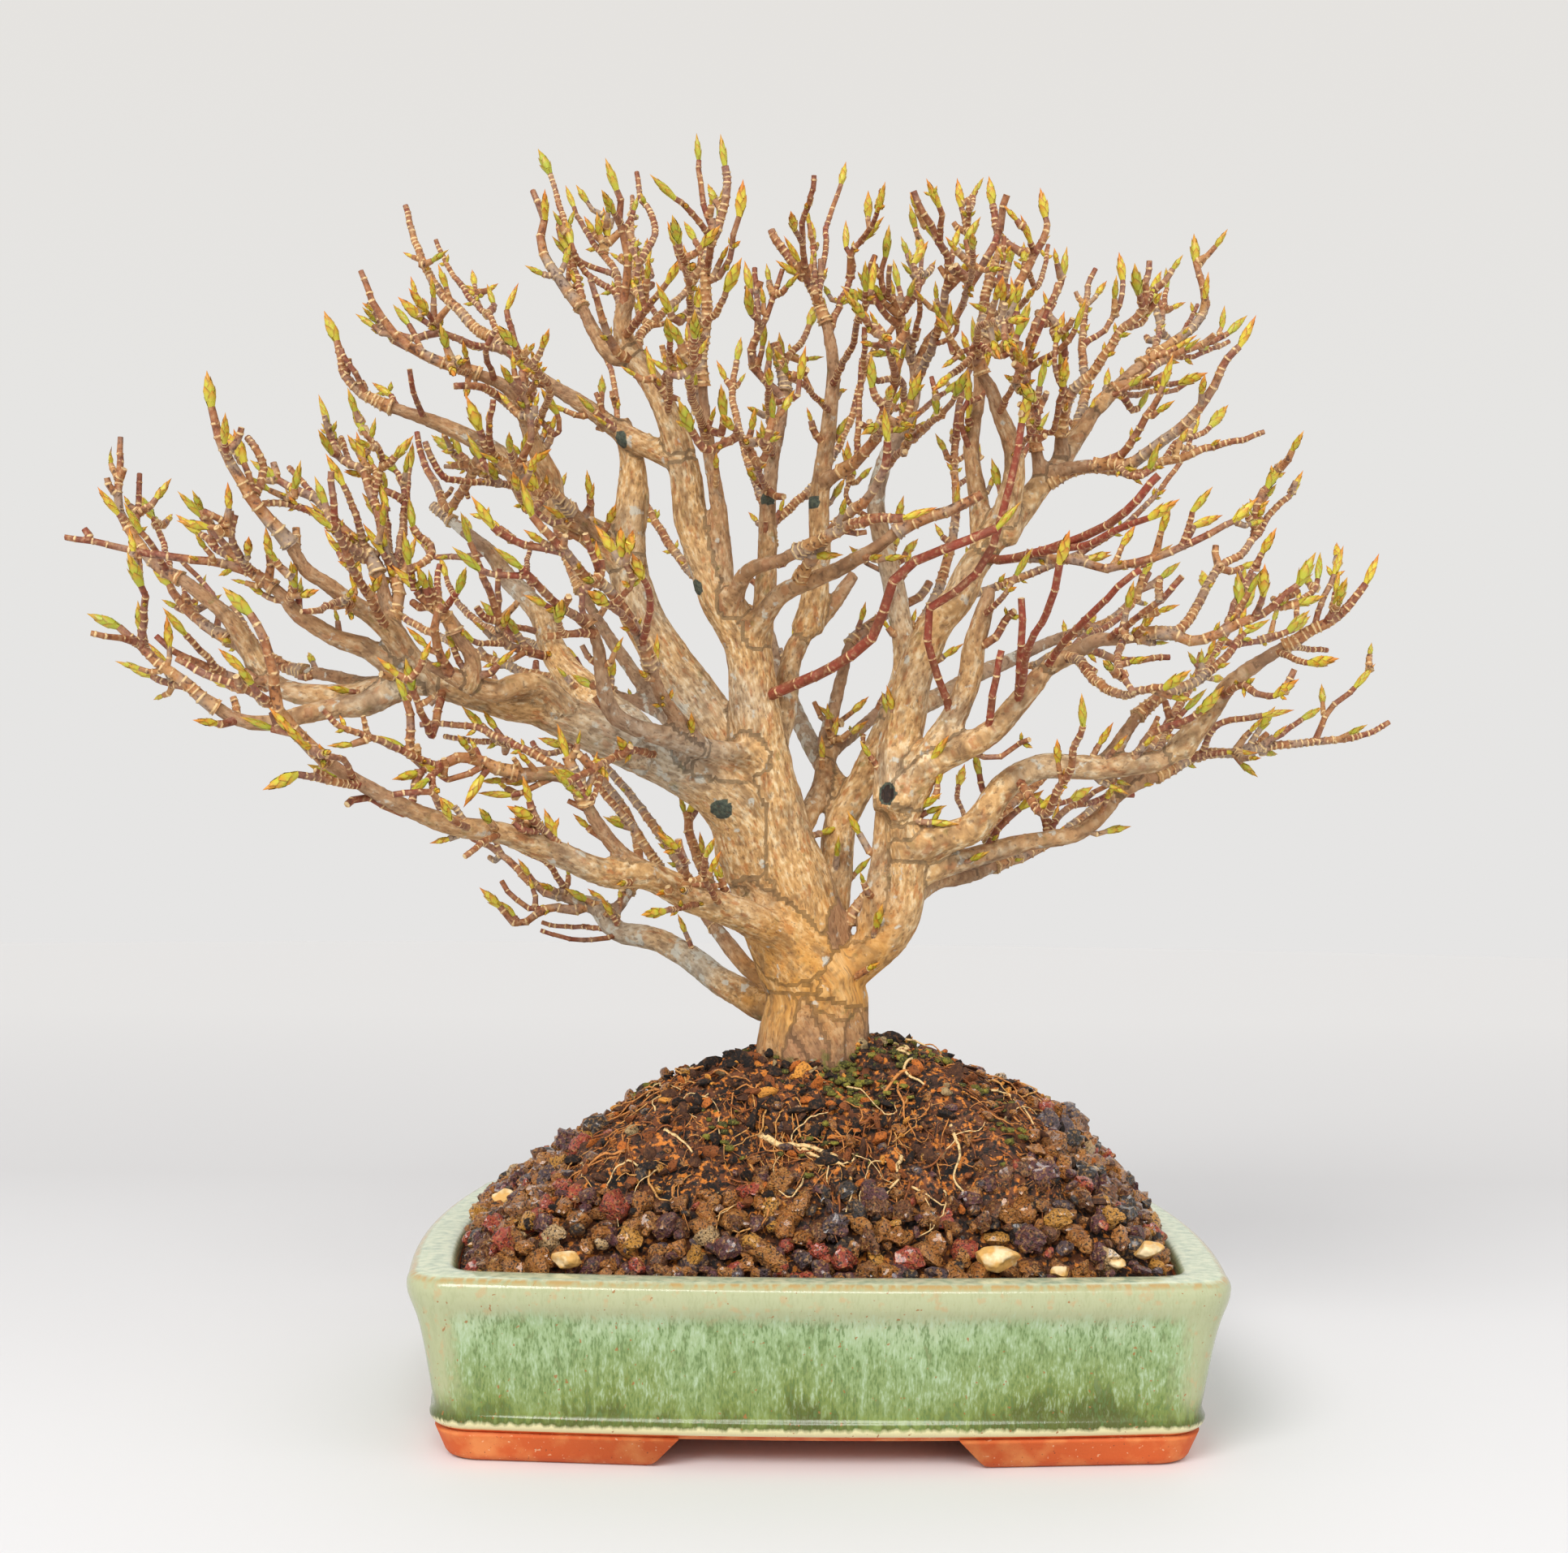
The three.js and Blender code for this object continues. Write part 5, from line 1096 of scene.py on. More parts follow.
@dataclass
class Twigs:
    """The thin ends of the limbs and the short spurs along them."""

    wood: Wood
    # The smooth red shoots of the last year
    young: tuple[str, ...] = ("RS1", "RS2", "RS3", "RS4", "RS5", "RS6", "CG1", "CG2", "LX1", "FR9")
    shoots: int = 185
    shoot_length: tuple[float, float] = (9.0, 25.0)
    shoot_radius: tuple[float, float] = (0.85, 1.3)
    heart: tuple[float, float, float] = (0.0, 0.0, 140.0)
    spurs: int = 540
    spur_length: tuple[float, float] = (1.6, 6.0)
    spur_radius: tuple[float, float] = (0.65, 0.95)
    dry_share: float = 0.3
    nodes: int = 300
    spur_bud: tuple[float, float] = (3.8, 7.4)
    node_bud: tuple[float, float] = (1.9, 3.4)
    # The stoutest limbs that carry shoots and spurs, and resting buds
    carrier_radius: float = 5.5
    node_radius: float = 2.4
    # How many shoots end in a bud, and how near the crown's outside they may reach
    budded: float = 0.72
    crown_fill: float = 0.9
    young_age: tuple[float, float] = (0.12, 0.0)
    step: float = 1.5
    # Where the crown is parted in two meshes
    parting: float = -12.0
    seed: int = 23
    strands: list[Strand] = field(default_factory=list)
    buds: list[BudPlace] = field(default_factory=list)
    spur_buds: list[BudPlace] = field(default_factory=list)
    node_buds: list[BudPlace] = field(default_factory=list)

    def grow(self) -> None:
        """Makes every twig, shoot, spur and bud place."""
        rng = random.Random(self.seed)
        limbs = self.wood.skeleton.limbs
        for limb in limbs:
            self.grow_twig(limb, rng)
        carriers = [limb for limb in limbs if limb.start < self.carrier_radius]
        carriers = [limb for limb in carriers if limb.name not in self.young]
        lengths = [limb.length for limb in carriers]
        ends = np.array([limb.path[-1] for limb in limbs]) - self.heart
        shoots = [self.shoot(limb, ends, rng) for limb in rng.choices(carriers, lengths, k=self.shoots)]
        shoots = [limb for limb in shoots if limb is not None]
        for limb in shoots:
            self.grow_twig(limb, rng)
        carriers += shoots
        for limb in rng.choices(carriers, [limb.length for limb in carriers], k=self.spurs):
            self.grow_spur(limb, rng)
        thin = [limb for limb in carriers if limb.start < self.node_radius]
        for limb in rng.choices(thin, [limb.length for limb in thin], k=self.nodes):
            self.grow_node(limb, rng)

    def shoot(self, carrier: Limb, ends: np.ndarray, rng: random.Random) -> Optional[Limb]:
        """Lays a fine shoot that leaves its carrier sideways and curves up and out of the crown.

        Args:
            carrier: The limb that it grows from.
            ends: Where the limbs end, as seen from the crown's heart, one a row.
            rng: The random numbers.

        Returns:
            The shoot, or None where it would stand out of the crown.
        """
        here, heading, across = self.side_way(carrier, rng.uniform(0.12, 0.88) * carrier.length, rng)
        outward = unit(here - self.heart)
        length = rng.uniform(*self.shoot_length)
        leave = unit(across + heading * 0.6 + outward * 0.4)
        rise = unit(leave * 0.5 + outward + np.array([0, 0, rng.uniform(0.2, 0.9)]))
        bend = np.array([rng.gauss(0, 0.06 * length) for _ in range(3)])
        middle = here + leave * length * 0.45
        bends = [here, middle, middle + rise * length * 0.3 + bend, middle + rise * length * 0.6]
        path = smooth_line(np.array(bends), 16)
        tip = path[-1] - self.heart
        beside = ends @ unit(tip) > 0.95 * np.linalg.norm(ends, axis=1)
        far = np.linalg.norm(ends[beside], axis=1).max() if beside.any() else 0.0
        if np.linalg.norm(tip) > self.crown_fill * far:
            return None
        start = rng.uniform(*self.shoot_radius)
        ending = Tip.BUD if rng.random() < self.budded else Tip.CUT
        reach = float(arc_lengths(path)[-1])
        return Limb("shoot", carrier.name, start, start * 0.85, 0.0, ending, path, path, reach)

    def grow_twig(self, limb: Limb, rng: random.Random) -> None:
        """Makes the thin end of a limb, with its bud.

        Args:
            limb: The limb.
            rng: The random numbers.
        """
        start = self.wood.split(limb)
        end = limb.length - (0.92 * self.wood.bud if limb.tip is Tip.BUD else 0.0)
        tip = limb.path[-1]
        if end - start > 1.2:
            count = max(3, round((end - start) / self.step))
            path = at_lengths(limb.path, np.linspace(start, end, count))
            radii = tuple(float(r) for r in limb.radius(np.array([start, end])))
            if limb.name in self.young:
                age = self.young_age
            else:
                age = tuple(float(0.3 + 0.7 * smooth(0.8, 2.2, np.array(r))) for r in radii)
            strand = self.wood.ringed(path, radii, age, rng)
            self.strands.append(strand)
            foot = strand.points[-1]
        else:
            foot = at_lengths(limb.path, np.array([end]))[0]
        if limb.tip is Tip.BUD:
            reach = float(np.linalg.norm(tip - foot))
            self.buds.append(BudPlace(foot, unit(tip - foot), reach * rng.uniform(0.94, 1.0), rng.random()))

    def side_way(
        self, limb: Limb, place: float, rng: random.Random
    ) -> tuple[np.ndarray, np.ndarray, np.ndarray]:
        """Picks a place on a limb and a way that leads off it.

        Args:
            limb: The limb.
            place: How far along the limb.
            rng: The random numbers.

        Returns:
            The place on the middle line, the limb's heading and the way across it.
        """
        here, on = at_lengths(limb.path, np.array([place, min(place + 1.5, limb.length)]))
        heading = unit(on - here)
        across = np.array([rng.gauss(0, 1), rng.gauss(0, 1), rng.gauss(0.35, 1)])
        across = unit(across - heading * float(across @ heading))
        return here, heading, across

    def grow_spur(self, limb: Limb, rng: random.Random) -> None:
        """Makes one spur, or two facing ones, with a bud or a dry stub at the end.

        Args:
            limb: The limb that carries it.
            rng: The random numbers.
        """
        place = rng.uniform(0.06, 0.9) * limb.length
        here, heading, across = self.side_way(limb, place, rng)
        girth = float(limb.radius(np.array(place)))
        for side in (1, -1)[: rng.choice((1, 1, 2))]:
            way = unit(across * side + heading * rng.uniform(0.25, 0.9))
            out = girth + rng.uniform(*self.spur_length)
            bend = unit(way + heading * 0.5 + np.array([0, 0, 0.35]))
            path = np.array([here, here + way * out * 0.55, here + way * out * 0.55 + bend * out * 0.45])
            radius = rng.uniform(*self.spur_radius)
            age = rng.uniform(0.35, 0.8)
            radii = (radius * 1.1, radius * 0.9)
            spur = self.wood.ringed(smooth_line(path, 8), radii, (age, age * 0.8), rng)
            self.strands.append(spur)
            if rng.random() > self.dry_share:
                foot = spur.points[-1] - bend * 0.4
                self.spur_buds.append(BudPlace(foot, bend, rng.uniform(*self.spur_bud), rng.random()))

    def grow_node(self, limb: Limb, rng: random.Random) -> None:
        """Makes a facing pair of small resting buds.

        Args:
            limb: The twig that carries them.
            rng: The random numbers.
        """
        place = rng.uniform(0.05, 0.85) * limb.length
        here, heading, across = self.side_way(limb, place, rng)
        girth = float(limb.radius(np.array(place)))
        for side in (1, -1):
            way = unit(across * side * 0.9 + heading)
            foot = here + across * side * girth * 0.75
            self.node_buds.append(BudPlace(foot, way, rng.uniform(*self.node_bud), rng.random()))

    def meshes(self) -> dict[str, bpy.types.Mesh]:
        """Sweeps the twigs in two meshes.

        Returns:
            The twigs left and right of the trunk, with cut ends as material 1.
        """
        halves: dict[str, list[Strand]] = {"twigs_left": [], "twigs_right": []}
        for strand in self.strands:
            left = strand.points[:, 0].mean() < self.parting
            halves["twigs_left" if left else "twigs_right"].append(strand)
        meshes = {}
        for name, strands in halves.items():
            mesh = strand_mesh(strands, name, 1)
            for face in mesh.polygons:
                face.material_index = int(len(face.vertices) > 4)
            meshes[name] = mesh
        return meshes


@dataclass(frozen=True)
class BudShape:
    """A swelling bud one unit long: a pointed spindle wrapped in facing pairs of scales."""

    radius: float = 0.118
    pairs: int = 4
    # The spindle's faces around and from foot to point, and a scale's across and up
    sides: int = 7
    levels: int = 5
    across: int = 3
    up: int = 3
    flare: float = 0.05
    # Where up its length it is widest
    widest: float = 0.36

    def girth(self, share: np.ndarray) -> np.ndarray:
        """Returns the spindle's radius at shares of its length.

        Args:
            share: The shares, 0 at the foot.

        Returns:
            One radius a share.
        """
        rise = 0.55 + 0.45 * np.sin(np.minimum(share / self.widest, 1) * math.pi / 2)
        fall = 1 - np.maximum(0.0, (share - self.widest) / (1 - self.widest)) ** 1.45
        return self.radius * rise * np.maximum(fall, 0.02)

    def spread(self) -> tuple[np.ndarray, np.ndarray]:
        """Returns how far up a scale, and how far from its middle, each of its points lies."""
        up, side = np.linspace(0, 1, self.up + 1), np.linspace(-1, 1, self.across + 1)
        return tuple(np.meshgrid(up, side, indexing="ij"))

    def scale(self, pair: int, middle: float) -> np.ndarray:
        """Returns one scale's points, in rows from its foot to its point.

        Args:
            pair: Which pair it belongs to, from the foot up.
            middle: The direction that it faces.

        Returns:
            The points, as rows by points by three.
        """
        up, side = self.spread()
        age = pair / self.pairs
        height = -0.02 + 0.66 * age + (0.44 - 0.12 * age) * (up - 0.06 * side**2 * (1 - up))
        angle = middle + side * (1.5 * (1 - up**1.8) + 0.02)
        lift = 1.03 + self.flare * up**2 / 0.3 - 0.04 * np.abs(side)
        girth = self.girth(np.clip(height, 0, 1)) * lift + 0.006 * (1 - age)
        return np.stack([girth * np.cos(angle), girth * np.sin(angle), height], axis=2)

    def mesh(self, name: str) -> bpy.types.Mesh:
        """Builds the bud.

        Args:
            name: The mesh's name.

        Returns:
            The bud, with the marks scale, 0 at a scale's foot and 1 at its point, and edge.
        """
        around = np.arange(self.sides) / self.sides * math.tau
        share, turn = np.meshgrid(np.linspace(0, 1, self.levels + 1), around, indexing="ij")
        girth = self.girth(share) * 0.94
        rings = np.stack([girth * np.cos(turn), girth * np.sin(turn), share * 0.97], axis=2)
        parts = [wrapped(rings, "spindle")]
        scale, edge = [0.5 + 0.5 * share.ravel()], [np.zeros(share.size)]
        for pair in range(self.pairs):
            for turn in (0.0, math.pi):
                middle = turn + pair * math.pi / 2 + 0.25 * math.sin(5 * pair + turn)
                parts.append(from_bmesh(grid_through(self.scale(pair, middle)), "scale"))
                up, side = self.spread()
                scale.append(up.ravel())
                edge.append(np.abs(side).ravel())
        bm = bmesh.new()
        for part in parts:
            bm.from_mesh(part)
            bpy.data.meshes.remove(part)
        mesh = from_bmesh(bm, name)
        paint(mesh, "scale", np.concatenate(scale))
        paint(mesh, "edge", np.concatenate(edge))
        return mesh


def bud_mesh(
    places: Sequence[BudPlace], shapes: Sequence[BudShape], name: str, seed: int
) -> bpy.types.Mesh:
    """Sets buds on their places.

    Args:
        places: The places.
        shapes: The shapes to draw from.
        name: The mesh's name.
        seed: The random numbers' seed.

    Returns:
        All the buds in one mesh, with the marks scale, edge and tone.
    """
    rng = random.Random(seed)
    templates = [shape.mesh(f"{name}_{k}") for k, shape in enumerate(shapes)]
    copies = []
    for place in places:
        turn = Vector(place.heading).to_track_quat("Z", "Y").to_matrix().to_4x4()
        spin = Matrix.Rotation(rng.random() * math.tau, 4, "Z")
        plump = rng.uniform(0.92, 1.12)
        size = Matrix.Diagonal((place.length * plump, place.length * plump, place.length, 1))
        matrix = Matrix.Translation(Vector(place.foot)) @ turn @ spin @ size
        copies.append((rng.randrange(len(templates)), matrix, place.tone))
    return scatter(templates, copies, name)


@dataclass(frozen=True)
class Wound:
    """A pruning wound sealed with paste, marked 1, or a dark knot, marked 2, at its place as sighted."""

    x: float
    z: float
    radius: float
    rise: float
    mark: float


WOUNDS = (
    Wound(-50.9, 233.8, 2.4, 0.4, 1),
    Wound(-12.9, 220.5, 2.2, 0.4, 1),
    Wound(-2.0, 219.7, 2.1, 0.4, 1),
    Wound(-30.8, 197.7, 2.2, 0.4, 1),
    Wound(-23.6, 142.1, 2.9, 0.4, 1),
    Wound(17.5, 146.5, 2.6, -0.9, 2),
)


def seal_wounds(mesh: bpy.types.Mesh, wounds: Sequence[Wound]) -> None:
    """Raises or sinks the wounds in the side of the skin that faces the eye, and marks them.

    Args:
        mesh: The skin.
        wounds: The wounds.
    """
    points, out = coordinates(mesh), normals(mesh)
    share = -EYE[1] / (points[:, 1] - EYE[1])
    across = EYE[0] + (points[:, 0] - EYE[0]) * share
    up = EYE[2] + (points[:, 2] - EYE[2]) * share
    mark = np.zeros(len(points))
    for wound in wounds:
        gap = np.hypot(across - wound.x, up - wound.z)
        front = np.where((gap < wound.radius + 3) & (out[:, 1] < -0.3), gap * 2 + points[:, 1], 1e6)
        if front.min() > 1e5:
            log.warning("no bark at the wound at %.1f, %.1f", wound.x, wound.z)
            continue
        middle = points[int(np.argmin(front))]
        away = np.linalg.norm(points - middle, axis=1) / wound.radius
        inside = 1 - smooth(0.8, 1.05, away)
        points += out * (wound.rise * inside * (1 - 0.45 * np.clip(away, 0, 1) ** 2))[:, None]
        mark = np.maximum(mark, inside * wound.mark)
    set_coordinates(mesh, points)
    paint(mesh, "wound", mark)


@dataclass(frozen=True)
class Outline:
    """The pot's bowed, rounded rectangle seen from above."""

    half_length: float = 90.0
    half_depth: float = 68.0
    bow: float = 4.0
    corner: float = 14.0

    def loop(self, inset: float, per_side: int = 34, per_corner: int = 11) -> np.ndarray:
        """Returns the outline drawn in by an inset.

        Args:
            inset: How far it is drawn in.
            per_side: The points on each side.
            per_corner: The points on each corner.

        Returns:
            x and y, one pair a row, anticlockwise from the front left corner.
        """
        hl, hd = self.half_length - inset, self.half_depth - inset
        c, bow = max(self.corner - inset / 2, 4.0), 2 * self.bow
        stops = [
            ((-hl + c, -hd), (0, -hd - bow), (hl - c, -hd), per_side),
            ((hl - c, -hd), (hl, -hd), (hl, -hd + c), per_corner),
            ((hl, -hd + c), (hl + bow, 0), (hl, hd - c), per_side),
            ((hl, hd - c), (hl, hd), (hl - c, hd), per_corner),
            ((hl - c, hd), (0, hd + bow), (-hl + c, hd), per_side),
            ((-hl + c, hd), (-hl, hd), (-hl, hd - c), per_corner),
            ((-hl, hd - c), (-hl - bow, 0), (-hl, -hd + c), per_side),
            ((-hl, -hd + c), (-hl, -hd), (-hl + c, -hd), per_corner),
        ]
        points = []
        for start, pull, end, count in stops:
            t = np.arange(count)[:, None] / count
            first, bend, last = (np.array(place) for place in (start, pull, end))
            points.append(first * (1 - t) ** 2 + 2 * bend * t * (1 - t) + last * t * t)
        return np.vstack(points)

    def reach(self, inset: float, angle: np.ndarray) -> np.ndarray:
        """Returns how far the drawn-in outline lies from the middle, by direction.

        Args:
            inset: How far it is drawn in.
            angle: The directions, in radians from the right.

        Returns:
            One distance a direction.
        """
        loop = self.loop(inset)
        turn = np.arctan2(loop[:, 1], loop[:, 0])
        order = np.argsort(turn)
        return np.interp(angle, turn[order], np.hypot(*loop[order].T), period=math.tau)


@dataclass(frozen=True)
class Mound:
    """The mounded top of the root ball."""

    outline: Outline = Outline()
    inset: float = 10.5
    top: float = 87.0
    edge: float = 39.5
    end_rise: float = 4.0
    # How steeply it falls to the front, the left and the right
    fall: tuple[float, float, float] = (1.35, 1.35, 2.15)
    flat: float = 0.94
    narrow: float = 5.0
    swell: float = 1.3
    # x, y, reach and height of each hump
    humps: tuple[tuple[float, float, float, float], ...] = ((-38, 2, 11, 3), (58, 0, 13, 5))

    def by_angle(self, angle: np.ndarray, share: np.ndarray) -> np.ndarray:
        """Returns the height by direction and share of the way to the wall.

        Args:
            angle: The directions, in radians from the right.
            share: The shares, 0 in the middle.

        Returns:
            One height a pair.
        """
        cosine = np.cos(angle)
        at_end = np.abs(cosine) ** self.narrow
        side = np.where(cosine > 0, self.fall[2], self.fall[1])
        fall = self.fall[0] + (side - self.fall[0]) * at_end
        edge = self.edge + self.end_rise * at_end
        out = np.minimum(share / (self.flat + (1 - self.flat) * at_end), 1)
        level = edge + (self.top - edge) * (1 - out**fall)
        wave = np.sin(3 * angle + 7 * share) + np.sin(7 * angle - 5 * share + 1.3)
        level = level + self.swell * 0.5 * wave * share * (1 - share) * 4
        far = share * self.outline.reach(self.inset, angle)
        for x, y, reach, height in self.humps:
            away = np.hypot(far * cosine - x, far * np.sin(angle) - y)
            level = level + height * np.exp(-(away**2) / reach**2)
        return level

    def heights(self, points: np.ndarray) -> np.ndarray:
        """Returns the heights at places, x and y a row.

        Args:
            points: The places.

        Returns:
            One height a place.
        """
        angle = np.arctan2(points[:, 1], points[:, 0])
        share = np.hypot(points[:, 0], points[:, 1]) / self.outline.reach(self.inset, angle)
        return self.by_angle(angle, np.clip(share, 0, 1))

    def height(self, x: float, y: float) -> float:
        """Returns the height at one place."""
        return float(self.heights(np.array([[x, y]]))[0])

    def point(self, angle: float, share: float) -> np.ndarray:
        """Returns the surface point in a direction, a share of the way to the wall.

        Args:
            angle: The direction, in radians from the right.
            share: The share, 0 in the middle.

        Returns:
            The point.
        """
        reach = float(self.outline.reach(self.inset, np.array([angle]))[0]) * share
        height = float(self.by_angle(np.array([angle]), np.array([share]))[0])
        return np.array([reach * math.cos(angle), reach * math.sin(angle), height])


@dataclass
class RootBall:
    """The moist, peaty root ball: its crumbly mound and its sides in the pot."""

    mound: Mound
    around: int = 350
    rings: int = 62
    # Inset and height of its sides from the top down, and size and height of each layer of clods
    sides: tuple[tuple[float, float], ...] = ((10.9, 37.5), (12.9, 24.0), (16.4, 12.5))
    clods: tuple[tuple[float, float], ...] = ((12.0, 1.9), (5.0, 1.7), (2.2, 1.2), (1.2, 0.6))
    under: float = 4.2
    # Its inner ring, and where the grit and the wall begin, as shares of the way to the wall
    innermost: float = 0.03
    grit_from: tuple[float, float] = (0.68, 0.78)
    wall_from: float = 0.93
    crumb: tuple[float, float] = (1.5, 0.9)

    def mesh(self) -> bpy.types.Mesh:
        """Builds the root ball.

        Returns:
            A closed mesh with the mark depth, which is low in the hollows, where the soil's material paints
            shade.
        """
        angle = np.linspace(0, math.tau, self.around, endpoint=False)
        turn, share = np.meshgrid(angle, np.linspace(self.innermost, 1, self.rings))
        reach = self.mound.outline.reach(self.mound.inset, angle)[None, :] * share
        height = self.mound.by_angle(turn.ravel(), share.ravel())
        points = np.c_[(reach * np.cos(turn)).ravel(), (reach * np.sin(turn)).ravel(), height]
        share = share.ravel()
        lift = sum(noise_at(points, size, k * 7.0) * rise for k, (size, rise) in enumerate(self.clods))
        crumb = np.abs(noise_at(points, self.crumb[0], 31.0)) * self.crumb[1]
        gritty = smooth(*self.grit_from, share)
        relief = (lift + crumb) * (1 - 0.75 * gritty) * (1 - smooth(self.wall_from, 1.0, share))
        points[:, 2] += relief - 0.9 - self.under * gritty
        wall = []
        for inset, level in self.sides:
            out = self.mound.outline.reach(inset, angle)
            wall.append(np.c_[out * np.cos(angle), out * np.sin(angle), np.full(self.around, level)])
        rings = np.concatenate([points.reshape(self.rings, self.around, 3), np.array(wall)])
        mesh = wrapped(rings, "root_ball")
        paint(mesh, "depth", np.r_[lift + crumb, np.zeros(len(mesh.vertices) - len(points))])
        shade_smooth(mesh)
        return mesh


@dataclass(frozen=True)
class RootKind:
    """One kind of fine root."""

    count: int
    length: tuple[float, float]
    radius: tuple[float, float]
    tone: tuple[float, float]
    arch: float


@dataclass
class FineRoots:
    """The fine roots that wander over the mound."""

    mound: Mound
    kinds: tuple[RootKind, ...] = (
        RootKind(620, (3.0, 11.0), (0.1, 0.26), (0.2, 1.0), 1.0),
        RootKind(230, (7.0, 22.0), (0.14, 0.34), (0.0, 0.8), 1.8),
        RootKind(26, (8.0, 17.0), (0.32, 0.6), (0.0, 0.6), 1.4),
    )
    # Stout pale roots in plain sight: radius, then x and y of each bend
    laid: tuple[tuple[float, ...], ...] = (
        (0.85, -13.5, -30.0, -9.0, -32.6, -3.5, -33.4, 4.5, -36.0),
        (0.55, -3.5, -33.2, 0.5, -36.5, 6.0, -38.0),
        (0.6, 19.5, -3.0, 22.7, -5.5, 19.8, -9.5, 23.4, -13.0, 21.0, -17.5, 26.0, -21.5),
        (0.45, 31.0, -30.0, 32.6, -36.0, 30.8, -40.5, 35.5, -45.0),
        (0.4, 44.0, -12.0, 49.0, -16.5, 52.0, -24.0),
        (0.45, -35.5, -30.0, -30.0, -34.0, -27.0, -37.5),
    )
    step: float = 1.1
    # How much a root sways, how often and how sharply it kinks, and how deep it is bedded
    sway: float = 0.3
    kinked: float = 0.16
    kink: float = 1.3
    bedded: float = 0.35
    seed: int = 5

    def wander(self, kind: RootKind, rng: random.Random) -> np.ndarray:
        """Walks one root over the mound, with kinks.

        Args:
            kind: Its kind.
            rng: The random numbers.

        Returns:
            x and y, one pair a row, as far as it stays off the wall.
        """
        angle, share = rng.uniform(0, math.tau), rng.triangular(0.2, 0.82, 0.6)
        here = self.mound.point(angle, share)[:2]
        heading = math.atan2(here[1], here[0]) + rng.gauss(0, 1.0)
        curl = rng.gauss(0, 0.08)
        track = []
        for _ in range(max(5, round(rng.uniform(*kind.length) / self.step))):
            track.append(here.copy())
            sway = rng.gauss(0, self.sway)
            sharp = rng.uniform(-self.kink, self.kink) if rng.random() < self.kinked else 0.0
            heading += curl + sway + sharp
            here = here + self.step * np.array([math.cos(heading), math.sin(heading)])
        flat = np.array(track)
        turn = np.arctan2(flat[:, 1], flat[:, 0])
        inside = np.hypot(flat[:, 0], flat[:, 1]) < 0.9 * self.mound.outline.reach(self.mound.inset, turn)
        return flat[: int(np.argmin(inside)) if not inside.all() else len(flat)]

    def lay(self, flat: np.ndarray, radius: float, arch: float, tone: float) -> Strand:
        """Lays a root on the mound.

        Args:
            flat: x and y, one pair a row.
            radius: Its radius at the thick end.
            arch: How high its middle stands off the soil.
            tone: The value of its colour.

        Returns:
            The root.
        """
        share = np.linspace(0, 1, len(flat))
        waver = np.array([0.5 * noise.noise(Vector((p[0] / 2, p[1] / 2, 2.0))) for p in flat])
        arched = self.mound.heights(flat) + np.sin(share * math.pi) * arch
        height = arched + waver + 0.6 * radius - self.bedded
        radii = radius * (1 - 0.55 * share) * (1 + 0.18 * np.sin(9 * share + 7 * tone))
        return Strand(np.c_[flat, height], radii, {"tone": np.full(len(flat), tone)})

    def mesh(self) -> bpy.types.Mesh:
        """Lays all the roots.

        Returns:
            The roots, with the mark tone, one value a root.
        """
        rng = random.Random(self.seed)
        strands = []
        for kind in self.kinds:
            for _ in range(kind.count):
                flat = self.wander(kind, rng)
                radius, arch = rng.uniform(*kind.radius), kind.arch * rng.uniform(0.3, 1.2)
                tone = rng.uniform(*kind.tone)
                if len(flat) > 3:
                    strands.append(self.lay(flat, radius, arch, tone))
        for radius, *bends in self.laid:
            route = np.array(bends).reshape(-1, 2)
            flat = smooth_line(np.c_[route, np.zeros(len(route))], 6 * len(route))[:, :2]
            strands.append(self.lay(flat, radius, 0.9, 0.05))
        return strand_mesh(strands, "fine_roots", 0)


@dataclass(frozen=True)
class Stone:
    """A lump of grit or soil: a ball with broad dents and fine pores."""

    detail: int
    dents: float
    pores: float
    facets: float = 0.0

    def mesh(self, name: str, seed: int) -> bpy.types.Mesh:
        """Builds the lump, one unit in radius.

        Args:
            name: The mesh's name.
            seed: Which lump it is.

        Returns:
            The lump.
        """
        bm = bmesh.new()
        bmesh.ops.create_icosphere(bm, subdivisions=self.detail, radius=1.0)
        mesh = from_bmesh(bm, name)
        points = coordinates(mesh)
        rng = random.Random(seed)
        for _ in range(round(9 * self.facets)):
            way = unit(np.array([rng.gauss(0, 1) for _ in range(3)]))
            depth = rng.uniform(0.55, 0.86)
            points -= np.clip(points @ way - depth, 0, None)[:, None] * way
        broad = noise_at(points, 0.8, seed * 3.7)
        fine = noise_at(points, 0.3, seed * 1.9)
        pitted = 0.5 * np.clip(-fine, 0, 1) - np.clip(fine, 0, 1)
        shift = self.dents * broad + self.pores * pitted
        set_coordinates(mesh, points * (1 + shift)[:, None])
        return mesh


